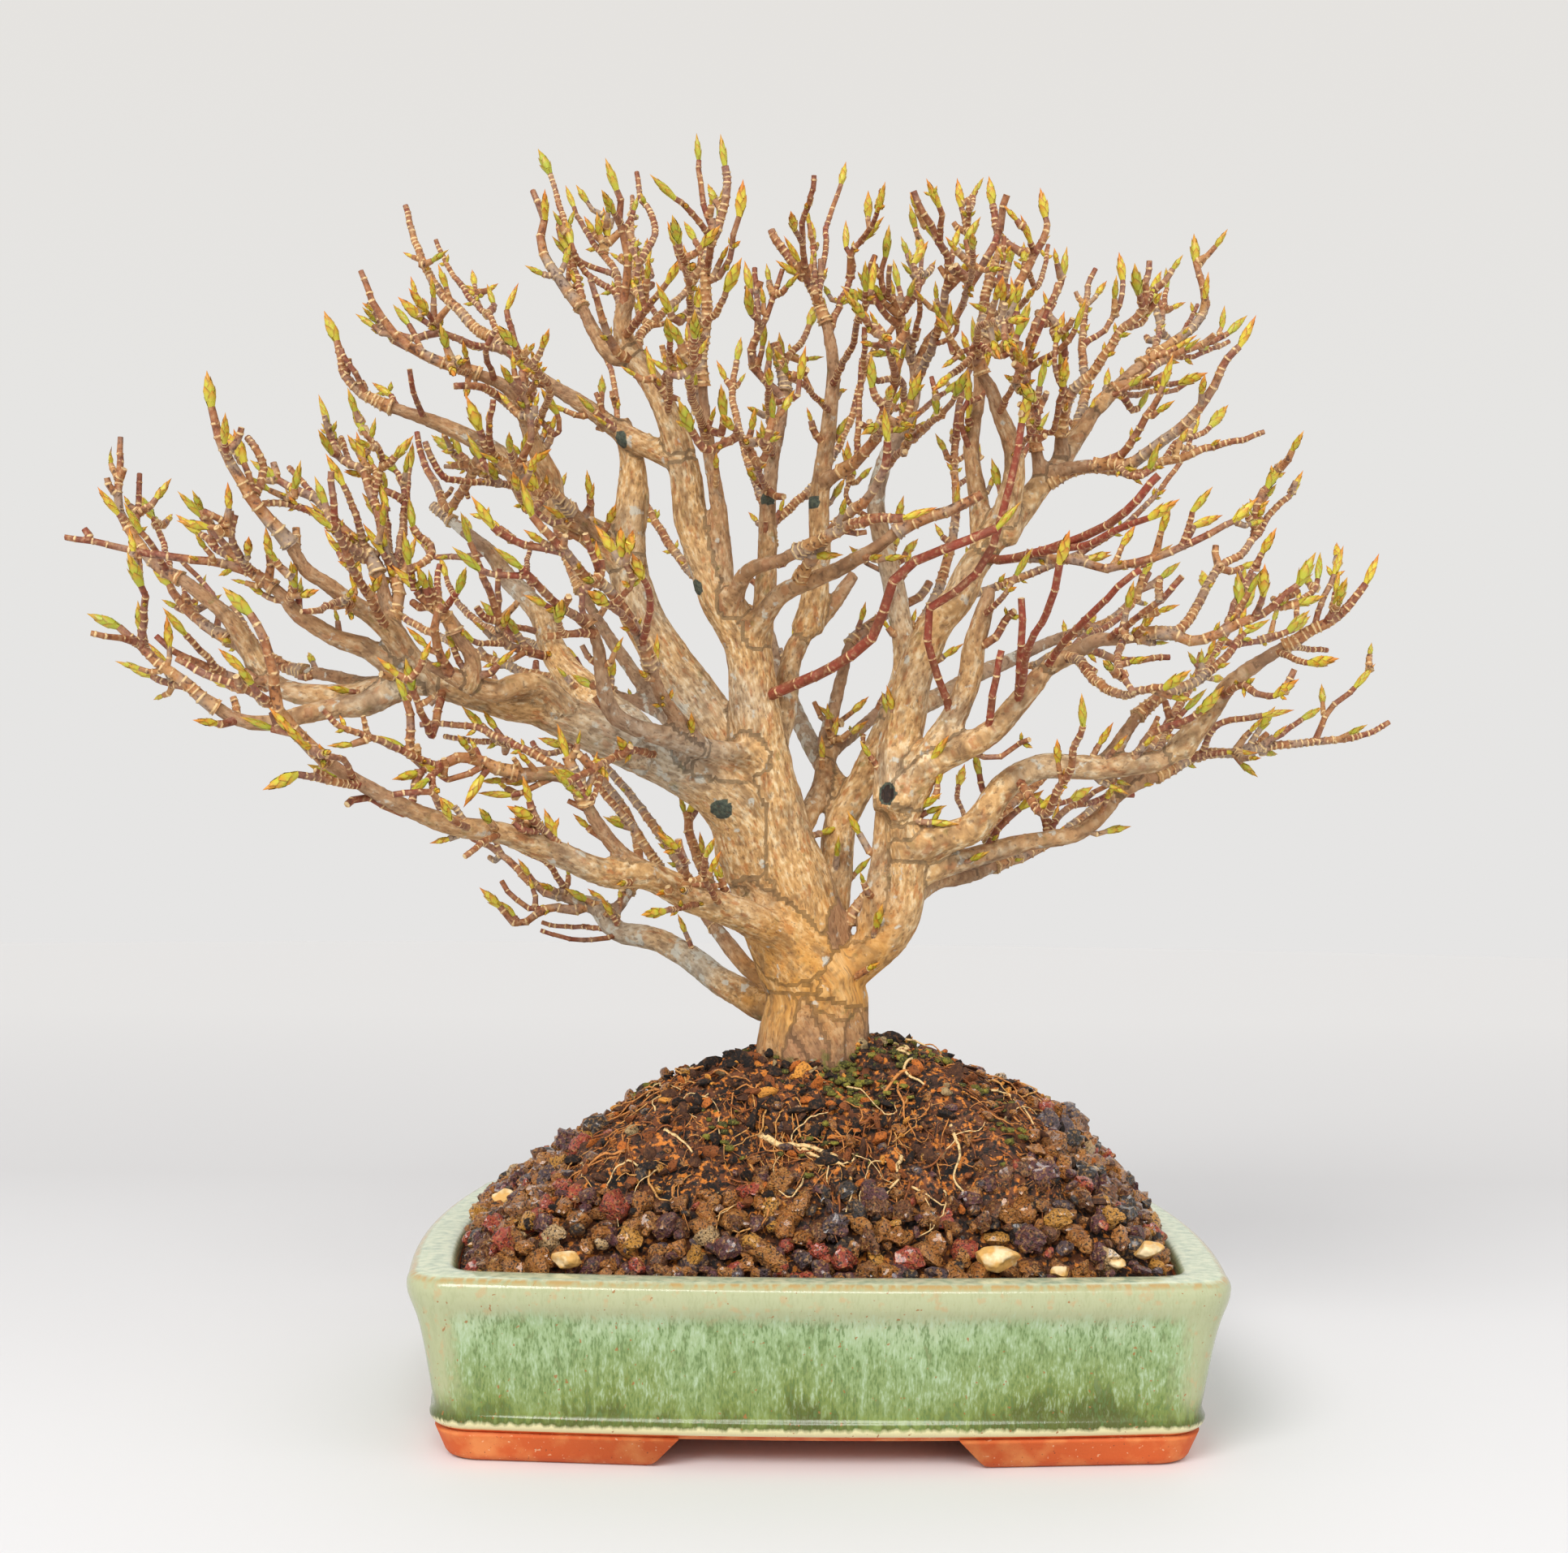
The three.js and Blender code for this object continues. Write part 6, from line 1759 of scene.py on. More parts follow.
@dataclass
class Grit:
    """The coarse lava grit around the mound, with finer grit in its gaps."""

    mound: Mound
    pebbles: Sequence[tuple[float, float, float]]
    coarse: tuple[float, float] = (4.6, 8.2)
    fine: tuple[float, float] = (2.2, 4.2)
    inner: float = 0.69
    shapes: int = 8
    seed: int = 12
    spots: list[tuple[float, float, float]] = field(default_factory=list)

    def free(self, x: float, y: float, size: float, close: float, crowd: bool) -> bool:
        """Tells whether a grain fits at a place.

        Args:
            x: The place across.
            y: The place in depth.
            size: The grain's size.
            close: How near the others may be, as a share of the sizes.
            crowd: Whether it may lie under a pebble.

        Returns:
            Whether it fits.
        """
        on_pebble = (math.hypot(x - px, y - py) < 0.3 * size + radius for px, py, radius in self.pebbles)
        if not crowd and any(on_pebble):
            return False
        near = np.array(self.spots or [(1e3, 1e3, 0.0)])
        return bool((np.hypot(near[:, 0] - x, near[:, 1] - y) > close * (size + near[:, 2])).all())

    def layer(
        self,
        sizes: tuple[float, float],
        tries: int,
        close: float,
        lift: float,
        rng: random.Random,
        stray: float = 0.0,
        crowd: bool = False,
    ) -> list[tuple[int, Matrix, float]]:
        """Lays one layer of grains.

        Args:
            sizes: The least and greatest size.
            tries: How many places to try.
            close: How near two grains may be, as a share of their sizes.
            lift: How high a grain's middle lies over the mound, as a share of its size.
            rng: The random numbers.
            stray: How far the layer runs up the mound, as a share of the way to the wall.
            crowd: Whether grains may lie under the pebbles.

        Returns:
            The copies for scatter.
        """
        copies = []
        self.spots = []
        for _ in range(tries):
            angle = rng.uniform(0, math.tau)
            size = sizes[0] + (sizes[1] - sizes[0]) * rng.random() ** 1.3
            reach = float(self.mound.outline.reach(self.mound.inset, np.array([angle]))[0])
            most = 1 - (0.5 * size + 0.2) / reach / max(abs(math.cos(angle)), abs(math.sin(angle)))
            inner = self.inner + 0.045 * math.sin(5 * angle + 1) + 0.03 * math.sin(11 * angle)
            if stray:
                share = inner - stray * rng.random() ** 1.6
            else:
                share = math.sqrt(rng.uniform(inner**2, most**2))
            x, y, z = self.mound.point(angle, share)
            if not self.free(x, y, size, close, crowd):
                continue
            self.spots.append((x, y, size))
            turn = Matrix.Rotation(rng.uniform(0, math.tau), 4, unit_vector(rng))
            sides = (size * 0.58, size * rng.uniform(0.42, 0.55), size * rng.uniform(0.36, 0.5), 1)
            height = z + lift * size * rng.uniform(0.6, 1.3)
            place = Matrix.Translation((x, y, height))
            matrix = place @ turn @ Matrix.Diagonal(sides)
            copies.append((rng.randrange(self.shapes), matrix, rng.random()))
        return copies

    def meshes(self) -> dict[str, bpy.types.Mesh]:
        """Builds the grit.

        Returns:
            The coarse grit, and the fine grit with the strays.
        """
        rng = random.Random(self.seed)
        grain = Stone(detail=3, dents=0.16, pores=0.42, facets=1.5)
        chip = Stone(detail=2, dents=0.18, pores=0.25, facets=1.2)
        rough = [grain.mesh(f"grain_{k}", k) for k in range(self.shapes)]
        small = [chip.mesh(f"chip_{k}", k + 20) for k in range(self.shapes)]
        coarse = self.layer(self.coarse, tries=9000, close=0.37, lift=0.06, rng=rng)
        fine = self.layer(self.coarse, tries=3000, close=0.35, lift=-0.28, rng=rng, crowd=True)
        fine += self.layer(self.fine, tries=4200, close=0.46, lift=0.1, rng=rng)
        fine += self.layer(self.fine, tries=240, close=0.6, lift=0.2, rng=rng, stray=0.26)
        return {
            "coarse_grit": scatter(rough, coarse, "coarse_grit", 32),
            "fine_grit": scatter(small, fine, "fine_grit", 32),
        }


def unit_vector(rng: random.Random) -> Vector:
    """Returns a direction drawn at random."""
    return Vector((rng.gauss(0, 1), rng.gauss(0, 1), rng.gauss(0, 1))).normalized()


@dataclass
class Litter:
    """Crumbs of soil and bark and cushions of moss on the mound."""

    mound: Mound
    crumbs: int = 1600
    # The least size of a crumb and what the greatest has more, and how many shapes of either kind there are
    crumb: tuple[float, float] = (0.35, 1.8)
    crumb_kinds: int = 6
    cushions: int = 420
    cushion: tuple[float, float] = (0.5, 1.5)
    moss_kinds: int = 5
    patches: int = 26
    patch_spread: float = 3.4
    seed: int = 77

    def crumb_mesh(self) -> bpy.types.Mesh:
        """Strews the crumbs, most of them small.

        Returns:
            The crumbs, with the mark tone.
        """
        rng = random.Random(self.seed)
        plain, fine = (Stone(detail, dents=0.4, pores=0.1, facets=0.8) for detail in (1, 2))
        kinds = [plain] * self.crumb_kinds + [fine] * self.crumb_kinds
        templates = [kind.mesh(f"crumb_{k}", k + 50) for k, kind in enumerate(kinds)]
        copies = []
        for _ in range(self.crumbs):
            place = self.mound.point(rng.uniform(0, math.tau), rng.uniform(0.12, 0.8))
            size = self.crumb[0] + self.crumb[1] * rng.random() ** 3
            turn = Matrix.Rotation(rng.uniform(0, math.tau), 4, unit_vector(rng))
            shape = Matrix.Diagonal((size * rng.uniform(0.8, 1.9), size, size * rng.uniform(0.35, 0.8), 1))
            height = Vector(place) + Vector((0, 0, 0.45))
            kind = rng.randrange(self.crumb_kinds) + (self.crumb_kinds if size > 1.0 else 0)
            copies.append((kind, Matrix.Translation(height) @ turn @ shape, rng.random()))
        return scatter(templates, copies, "crumbs", 40)

    def moss_mesh(self) -> bpy.types.Mesh:
        """Grows the moss in patches of small spiky cushions.

        Returns:
            The moss, with the mark tone.
        """
        rng = random.Random(self.seed + 1)
        templates = []
        for k in range(self.moss_kinds):
            bm = bmesh.new()
            bmesh.ops.create_icosphere(bm, subdivisions=2, radius=1.0)
            mesh = from_bmesh(bm, f"moss_{k}")
            points = coordinates(mesh)
            spikes = np.abs(noise_at(points, 0.16, k * 5.0))
            far = 0.75 + 0.75 * spikes + 0.2 * noise_at(points, 0.7, k)
            set_coordinates(mesh, points * far[:, None])
            templates.append(mesh)
        patches = [(rng.uniform(0, math.tau), rng.uniform(0.2, 0.62)) for _ in range(self.patches)]
        copies = []
        for _ in range(self.cushions):
            angle, share = rng.choice(patches)
            spread = [rng.gauss(0, self.patch_spread), rng.gauss(0, self.patch_spread), 0]
            near = self.mound.point(angle, share) + np.array(spread)
            size = rng.uniform(*self.cushion)
            height = self.mound.height(near[0], near[1])
            place = Matrix.Translation((near[0], near[1], height + 0.2 * size))
            spin = Matrix.Rotation(rng.uniform(0, math.tau), 4, "Z")
            shape = Matrix.Diagonal((size, size * rng.uniform(0.7, 1), size * rng.uniform(0.4, 0.75), 1))
            copies.append((rng.randrange(self.moss_kinds), place @ spin @ shape, rng.random()))
        return scatter(templates, copies, "moss")


@dataclass(frozen=True)
class Pebble:
    """A chunky pale pebble that lies in the grit."""

    x: float
    y: float
    half_length: float
    half_width: float
    half_height: float

    def mesh(self, mound: Mound, seed: int) -> bpy.types.Mesh:
        """Builds the pebble.

        Args:
            mound: The mound that it lies on.
            seed: Which pebble it is.

        Returns:
            The pebble.
        """
        mesh = Stone(detail=4, dents=0.14, pores=0.1, facets=0.75).mesh("pebble", seed + 80)
        points = coordinates(mesh)
        points /= np.abs(points).max(axis=0)
        turn = 0.5 * math.sin(3 * seed)
        points = points * (self.half_length, self.half_width, self.half_height)
        across = points[:, 0] * math.cos(turn) - points[:, 1] * math.sin(turn)
        deep = points[:, 0] * math.sin(turn) + points[:, 1] * math.cos(turn)
        height = mound.height(self.x, self.y) + 0.45 * self.half_height
        set_coordinates(mesh, np.c_[across + self.x, deep + self.y, points[:, 2] + height])
        shade_smooth(mesh)
        return mesh


PEBBLES = (
    Pebble(-55.4, -54.5, 3.5, 2.6, 2.2),
    Pebble(38.6, -55.0, 5.4, 3.4, 2.9),
    Pebble(73.0, -49.5, 3.9, 3.0, 2.1),
    Pebble(-73.5, -21.0, 3.0, 2.4, 2.2),
    Pebble(52.6, -56.0, 2.4, 1.7, 1.5),
    Pebble(65.6, -54.0, 1.9, 1.6, 1.4),
)


@dataclass
class Pot:
    """The low glazed pot: bowed walls with a sunk panel on each side, on four slanted corner feet."""

    outline: Outline = field(default_factory=Outline)
    outer: tuple[tuple[float, float], ...] = (
        (6.0, 9.0),
        (6.4, 8.2),
        (8.5, 5.4),
        (12.0, 4.8),
        (16.5, 4.1),
        (23.0, 3.1),
        (28.5, 2.1),
        (33.5, 0.9),
        (36.7, 0.15),
        (38.7, 0.1),
        (40.0, 0.7),
        (40.65, 1.9),
    )
    inner: tuple[tuple[float, float], ...] = (
        (40.6, 8.9),
        (39.9, 9.8),
        (37.9, 10.3),
        (27.0, 12.5),
        (12.4, 15.4),
        (12.0, 16.4),
    )
    panel: float = 1.3
    panel_low: float = 10.8
    panel_high: float = 33.8
    panel_end: float = 0.9
    hole: float = 7.0
    spacing: float = 45.0
    foot_height: float = 6.0
    foot_width: float = 12.0
    # Half the gap between two feet, and how far they lie in, at the top and at the sole
    front_gap: tuple[float, float] = (30.0, 36.0)
    side_gap: tuple[float, float] = (26.0, 31.0)
    foot_inset: tuple[float, float] = (6.2, 8.8)

    def profile(self, levels: Sequence[tuple[float, float]], step: float) -> list[tuple[float, float]]:
        """Returns a smooth profile through levels, with a new level every step.

        Args:
            levels: Heights and insets.
            step: The distance from one new level to the next.

        Returns:
            The new heights and insets.
        """
        rough = np.array(levels)
        count = max(4, round(arc_lengths(rough)[-1] / step))
        return [(float(height), float(inset)) for height, inset in smooth_line(rough, count)]

    def sunk(self, loop: np.ndarray, height: float) -> np.ndarray:
        """Returns how far each point of a loop is drawn in by the panels.

        Args:
            loop: The points, x and y a row.
            height: The height that they lie at.

        Returns:
            One depth a point.
        """
        hl, hd = self.outline.half_length, self.outline.half_depth
        on_long = np.abs(loop[:, 1]) / hd > np.abs(loop[:, 0]) / hl
        along = np.where(on_long, np.abs(loop[:, 0]) / hl, np.abs(loop[:, 1]) / hd)
        ends = 1 - smooth(self.panel_end - 0.1, self.panel_end + 0.04, along)
        up = float(smooth(self.panel_low - 1.2, self.panel_low + 1.2, np.array(height)))
        down = 1 - float(smooth(self.panel_high - 3.0, self.panel_high + 2.2, np.array(height)))
        return self.panel * ends * up * down

    def rings(self, levels: Sequence[tuple[float, float]], pressed: bool) -> np.ndarray:
        """Lays the outline's rings along a profile.

        Args:
            levels: The profile.
            pressed: Whether the panels are pressed into it.

        Returns:
            The rings, as rings by points by three.
        """
        rows = []
        for height, inset in levels:
            loop = self.outline.loop(inset)
            if pressed:
                loop = loop * (1 - self.sunk(loop, height) / np.linalg.norm(loop, axis=1))[:, None]
            rows.append(np.c_[loop, np.full(len(loop), height)])
        return np.array(rows)

    def body(self) -> bpy.types.Mesh:
        """Builds the glazed bowl with its drain holes.

        Returns:
            The bowl, without its feet.
        """
        (edge, out), (_, into) = self.outer[-1], self.inner[0]
        rim = [(edge + 0.12 * math.sin(math.pi * k / 6), mix(out, into, k / 6)) for k in range(1, 6)]
        outside = self.rings(self.profile(self.outer, 0.75), True)
        inside = self.rings(rim + self.profile(self.inner, 1.6), False)
        return self.drilled(wrapped(np.concatenate([outside, inside]), "pot_body"))

    def drilled(self, mesh: bpy.types.Mesh) -> bpy.types.Mesh:
        """Cuts the two drain holes through the floor.

        Args:
            mesh: The bowl.

        Returns:
            The bowl with its holes.
        """
        bm = bmesh.new()
        for side in (-1, 1):
            middle = Matrix.Translation((side * self.spacing, 0, 9))
            size = {"radius1": self.hole, "radius2": self.hole, "depth": 12}
            bmesh.ops.create_cone(bm, cap_ends=True, segments=48, matrix=middle, **size)
        cutter = bpy.data.objects.new("cutter", from_bmesh(bm, "cutter"))
        bpy.context.scene.collection.objects.link(cutter)
        cut = with_modifier(mesh, "BOOLEAN", object=cutter, operation="DIFFERENCE", solver="EXACT")
        bpy.data.objects.remove(cutter)
        return cut

    def foot(self, side_x: int, side_y: int) -> bpy.types.Mesh:
        """Builds one L-shaped corner foot with slanted ends.

        Args:
            side_x: -1 for a left foot, 1 for a right one.
            side_y: -1 for a front foot, 1 for a back one.

        Returns:
            The foot.
        """
        rows = []
        for share in np.linspace(0, 1, 10):
            round_in = 1.1 * max(0.0, share - 0.8) ** 2 / 0.04
            drawn = mix(*self.foot_inset, share) + round_in
            far = drawn + self.foot_width - 2 * round_in
            gap_x, gap_y = (mix(*gap, share) + round_in for gap in (self.front_gap, self.side_gap))
            edges = []
            for inset in (drawn, far):
                front, end = self.side_at(inset, gap_x, True), self.side_at(inset, gap_y, False)
                edges.append(np.vstack([[gap_x, front], self.corner_arc(inset), [end, gap_y]]))
            loop = np.vstack([edges[0], edges[1][::-1]]) * (side_x, side_y)
            rows.append(np.c_[loop, np.full(len(loop), (self.foot_height + 0.6) * (1 - share))])
        return wrapped(np.array(rows), "foot")

    def side_at(self, inset: float, along: float, front: bool) -> float:
        """Returns how far out a bowed side lies at a place along it.

        Args:
            inset: How far the outline is drawn in.
            along: The distance from the side's middle.
            front: True for the long sides, False for the ends.

        Returns:
            The side's distance from the pot's middle line.
        """
        hl, hd = self.outline.half_length - inset, self.outline.half_depth - inset
        half, out = (hl, hd) if front else (hd, hl)
        straight = half - max(self.outline.corner - inset / 2, 4.0)
        return out + self.outline.bow * (1 - (along / straight) ** 2)

    def corner_arc(self, inset: float) -> np.ndarray:
        """Returns the rounded back right corner of the drawn-in outline, x and y a row.

        Args:
            inset: How far the outline is drawn in.

        Returns:
            The points, from the back to the right.
        """
        hl, hd = self.outline.half_length - inset, self.outline.half_depth - inset
        c = max(self.outline.corner - inset / 2, 4.0)
        t = np.linspace(0, 1, 12)[:, None]
        start, pull, end = np.array([hl - c, hd]), np.array([hl, hd]), np.array([hl, hd - c])
        return start * (1 - t) ** 2 + 2 * pull * t * (1 - t) + end * t * t

    def mesh(self) -> bpy.types.Mesh:
        """Builds the whole pot.

        Returns:
            The pot: glaze is material 0, bare clay material 1. The mark flow holds the nearest place on the
            rim's outline and the height, so that the glaze can run straight down. The mark inset is the
            distance from that outline, and panel is 1 where a panel is sunk.
        """
        bm = bmesh.new()
        for part in (self.body(), *(self.foot(x, y) for x in (-1, 1) for y in (-1, 1))):
            bm.from_mesh(part)
            bpy.data.meshes.remove(part)
        mesh = from_bmesh(bm, "glazed_pot")
        points = coordinates(mesh)
        inner_wall = self.inner[2][0]
        for face in mesh.polygons:
            middle, out = face.center, face.normal
            low = middle.z < self.outer[2][0] - 1.2
            within = middle.z < inner_wall and out.xy.dot(middle.xy) < 0
            floor = middle.z < 13 and out.z > 0.7
            face.material_index = int(low or within or floor)
        shade_smooth(mesh)
        rim = self.outline.loop(0.0, 700, 160)
        tree = KDTree(len(rim))
        for k, (x, y) in enumerate(rim):
            tree.insert((x, y, 0), k)
        tree.balance()
        near = rim[[tree.find((x, y, 0))[1] for x, y, _ in points]]
        paint(mesh, "flow", np.c_[near, points[:, 2]])
        paint(mesh, "inset", np.hypot(*(points[:, :2] - near).T))
        pressed = [float(self.sunk(p[None, :2], p[2])[0]) for p in points]
        paint(mesh, "panel", np.array(pressed) / self.panel)
        return mesh


Socket = bpy.types.NodeSocket


def add_node(
    material: bpy.types.Material, kind: str, inputs: dict, out: int | str = 0, **settings: object
) -> Socket:
    """Adds one shader node.

    Args:
        material: The material.
        kind: The node's type without its ShaderNode prefix.
        inputs: Its inputs by name or number, each a constant or another node's socket.
        out: Which of its outputs to return.
        settings: Its settings.

    Returns:
        The chosen output socket.
    """
    node = material.node_tree.nodes.new("ShaderNode" + kind)
    for key, value in settings.items():
        setattr(node, key, value)
    for key, value in inputs.items():
        if isinstance(value, bpy.types.NodeSocket):
            material.node_tree.links.new(value, node.inputs[key])
        else:
            node.inputs[key].default_value = value
    return node.outputs[out]


def new_material(name: str, colour: str) -> bpy.types.Material:
    """Makes an empty material that uses nodes.

    Args:
        name: What the real material is.
        colour: Its colour in the viewport.

    Returns:
        The material, without a surface yet.
    """
    material = bpy.data.materials.new(name)
    material.use_nodes = True
    material.node_tree.nodes.clear()
    material.diffuse_color = linear(colour)
    return material


def finish_off(material: bpy.types.Material, inputs: dict) -> bpy.types.Material:
    """Gives a material its surface.

    Args:
        material: The material.
        inputs: The surface shader's inputs.

    Returns:
        The same material.
    """
    surface = add_node(material, "BsdfPrincipled", inputs)
    end = material.node_tree.nodes.new("ShaderNodeOutputMaterial")
    material.node_tree.links.new(surface, end.inputs["Surface"])
    return material


def mark_of(material: bpy.types.Material, name: str, out: str = "Fac") -> Socket:
    """Reads an attribute of the mesh."""
    return add_node(material, "Attribute", {}, out, attribute_name=name)


def object_place(material: bpy.types.Material) -> Socket:
    """Returns the place on the object, in millimetres."""
    return stretched(material, add_node(material, "TexCoord", {}, "Object"), (1 / MM, 1 / MM, 1 / MM))


def grain(material: bpy.types.Material, place: Socket, size: float, detail: float = 3.0) -> Socket:
    """Adds noise, 0 to 1, with a feature size in the unit of the place and a number of finer layers."""
    return add_node(material, "TexNoise", {"Vector": place, "Scale": 1 / size, "Detail": detail}, "Fac")


def stretched(material: bpy.types.Material, place: Socket, scale: tuple[float, float, float]) -> Socket:
    """Stretches a place along its axes."""
    return add_node(material, "VectorMath", {0: place, 1: scale}, 0, operation="MULTIPLY")


def set_stops(node: bpy.types.ShaderNodeValToRGB, stops: Sequence[tuple[float, str]]) -> None:
    """Gives a colour ramp its stops.

    Args:
        node: The colour ramp.
        stops: Places from 0 to 1, each with its colour.
    """
    band = node.color_ramp
    while len(band.elements) < len(stops):
        band.elements.new(0.5)
    for element, (place, colour) in zip(band.elements, stops):
        element.position = place
        element.color = linear(colour)


def ramp(
    material: bpy.types.Material, share: Socket, stops: Sequence[tuple[float, str]], sharp: bool = False
) -> Socket:
    """Turns a share into a colour.

    Args:
        material: The material.
        share: The share, 0 to 1.
        stops: Places and their colours.
        sharp: Whether the colours meet without blending.

    Returns:
        The colour.
    """
    made = add_node(material, "ValToRGB", {"Fac": share}, "Color")
    made.node.color_ramp.interpolation = "CONSTANT" if sharp else "LINEAR"
    set_stops(made.node, stops)
    return made


def span(
    material: bpy.types.Material, value: Socket, low: float, high: float, to: tuple[float, float]
) -> Socket:
    """Maps a span of values to another, and holds them inside it."""
    inputs = {"Value": value, "From Min": low, "From Max": high, "To Min": to[0], "To Max": to[1]}
    return add_node(material, "MapRange", inputs)


def blend(material: bpy.types.Material, share: Socket | float, a: Socket | str, b: Socket | str) -> Socket:
    """Mixes two colours, with the share of the second."""
    both = [linear(colour) if isinstance(colour, str) else colour for colour in (a, b)]
    return add_node(material, "Mix", {0: share, 6: both[0], 7: both[1]}, 2, data_type="RGBA")


def maths(material: bpy.types.Material, operation: str, a: Socket | float, b: Socket | float) -> Socket:
    """Adds a calculation of two values."""
    return add_node(material, "Math", {0: a, 1: b}, 0, operation=operation)


def bump(material: bpy.types.Material, height: Socket, depth: float, strength: float = 1.0) -> Socket:
    """Returns the normal of a surface raised by a height, 0 to 1, where 1 stands for a depth."""
    return add_node(material, "Bump", {"Height": height, "Distance": depth * MM, "Strength": strength})


@dataclass(frozen=True)
class BarkFinish:
    """Old maple bark: golden beige and grey, orange-brown where it has flaked, with whitish lichen and
    painted shade in its cracks.
    """

    plate: str = "#d3a76e"
    light: str = "#eed6ab"
    shade: str = "#a88052"
    grey: str = "#b9ad98"
    ash: str = "#9a8d79"
    pale: str = "#c2bdb0"
    # Warm bark from dark to bright, and the skin of young limbs
    warm: tuple[str, str] = ("#b06c20", "#e4ab4e")
    young: tuple[str, str] = ("#7d5038", "#b58c68")
    flake: str = "#b2682f"
    # Painted shade in the bark's cracks and hollows
    crack_shade: str = "#573c28"
    lichen: str = "#c9c7ba"
    peat: str = "#6b4626"
    moss: str = "#6a6a2c"
    paste: tuple[str, str] = ("#39413a", "#58604f")
    knot: str = "#2c1f19"
    rough: float = 0.82

    def material(self) -> bpy.types.Material:
        """Builds the material from the skin's marks grain, stoutness, relief, grey, low, gold and wound.

        Returns:
            The material.
        """
        m = new_material("maple bark", self.plate)
        place = object_place(m)
        along = stretched(m, mark_of(m, "grain", "Vector"), (1, 1, 0.42))
        fine = grain(m, along, 1.0, 8.0)
        grey = mark_of(m, "grey")
        base = ramp(m, fine, [(0.3, self.shade), (0.5, self.plate), (0.68, self.light)])
        dull = ramp(m, fine, [(0.32, self.ash), (0.52, self.grey), (0.7, self.pale)])
        base = blend(m, span(m, grey, 0.25, 0.75, (0, 0.9)), base, dull)
        flaked = span(m, grain(m, along, 1.5, 5.0), 0.57, 0.64, (0, 0.6))
        base = blend(m, maths(m, "MULTIPLY", flaked, span(m, grey, 0.9, 0.3, (0, 1))), base, self.flake)
        patchy = span(m, grain(m, along, 4.0, 3.0), 0.3, 0.6, (0.4, 0.9))
        warm = maths(m, "MULTIPLY", mark_of(m, "gold"), patchy)
        base = blend(m, warm, base, blend(m, fine, *self.warm))
        stout = mark_of(m, "stoutness")
        young = blend(m, fine, *self.young)
        base = blend(m, span(m, stout, 3.4, 1.7, (0, 0.8)), base, young)
        relief = mark_of(m, "relief")
        # Painted shade where the skin's relief is sunk, in cracks and between plates
        base = blend(m, span(m, relief, -0.1, -0.8, (0, 0.45)), base, self.crack_shade)
        crust = maths(m, "ADD", grain(m, place, 3.6, 8.0), span(m, grey, 0.2, 1.0, (-0.08, 0.06)))
        base = blend(m, span(m, crust, 0.58, 0.63, (0, 0.8)), base, self.lichen)
        low = maths(m, "ADD", mark_of(m, "low"), span(m, grain(m, place, 5.0, 4.0), 0.3, 0.7, (-0.4, 0.4)))
        base = blend(m, span(m, low, 0.3, 1.0, (0, 0.9)), base, self.peat)
        tufts = span(m, grain(m, place, 2.6, 5.0), 0.54, 0.6, (0, 0.7))
        green = maths(m, "MULTIPLY", span(m, low, 0.1, 0.6, (0, 1)), tufts)
        base = blend(m, green, base, self.moss)
        wound = mark_of(m, "wound")
        sealed = blend(m, span(m, grain(m, place, 0.8, 4.0), 0.4, 0.65, (0, 1)), *self.paste)
        base = blend(m, span(m, wound, 0.35, 0.6, (0, 1)), base, sealed)
        base = blend(m, span(m, wound, 1.3, 1.7, (0, 1)), base, self.knot)
        ridge = grain(m, along, 0.6, 5.0)
        # Painted shade in the hollows of the fine bump below
        base = blend(m, span(m, ridge, 0.42, 0.34, (0, 0.5)), base, self.crack_shade)
        normal = bump(m, ridge, 0.6, 0.9)
        return finish_off(m, {"Base Color": base, "Roughness": self.rough, "Normal": normal})


@dataclass(frozen=True)
class TwigFinish:
    """Thin maple bark: red on young shoots, brown and tan on older ones, with pale rings of bud scars and
    painted shade in the cracks of older bark.
    """

    young: str = "#94402a"
    ripe: str = "#87492f"
    tan: str = "#ab7141"
    old: str = "#c1935a"
    grey: str = "#98897a"
    # Painted shade in the cracks of older bark
    dark: str = "#47271a"
    fleck: str = "#c09c72"
    scar: str = "#e9c992"
    rough: float = 0.6

    def material(self) -> bpy.types.Material:
        """Builds the material from the twigs' marks scar and age.

        Returns:
            The material.
        """
        m = new_material("maple twig bark", self.ripe)
        place = object_place(m)
        age = mark_of(m, "age")
        drift = maths(m, "ADD", age, span(m, grain(m, place, 7.0, 3.0), 0.3, 0.7, (-0.25, 0.25)))
        base = ramp(m, drift, [(0.0, self.young), (0.22, self.ripe), (0.55, self.tan), (0.95, self.old)])
        bare = span(m, grain(m, place, 9.0, 2.0), 0.5, 0.62, (0, 0.8))
        base = blend(m, maths(m, "MULTIPLY", bare, span(m, age, 0.2, 0.5, (0, 1))), base, self.grey)
        fleck = grain(m, place, 1.1, 5.0)
        base = blend(m, span(m, fleck, 0.52, 0.68, (0, 0.55)), base, self.fleck)
        rough_bark = span(m, age, 0.1, 0.5, (0.25, 0.8))
        # Painted shade in the hollows of the fine bump, on older bark
        shaded_cracks = maths(m, "MULTIPLY", span(m, fleck, 0.46, 0.34, (0, 1)), rough_bark)
        base = blend(m, shaded_cracks, base, self.dark)
        broken = span(m, grain(m, place, 1.3, 4.0), 0.4, 0.54, (0.0, 0.95))
        ring = maths(m, "MULTIPLY", span(m, mark_of(m, "scar"), 0.15, 0.6, (0, 1)), broken)
        base = blend(m, ring, base, self.scar)
        normal = bump(m, fleck, 0.3, 0.8)
        return finish_off(m, {"Base Color": base, "Roughness": self.rough, "Normal": normal})


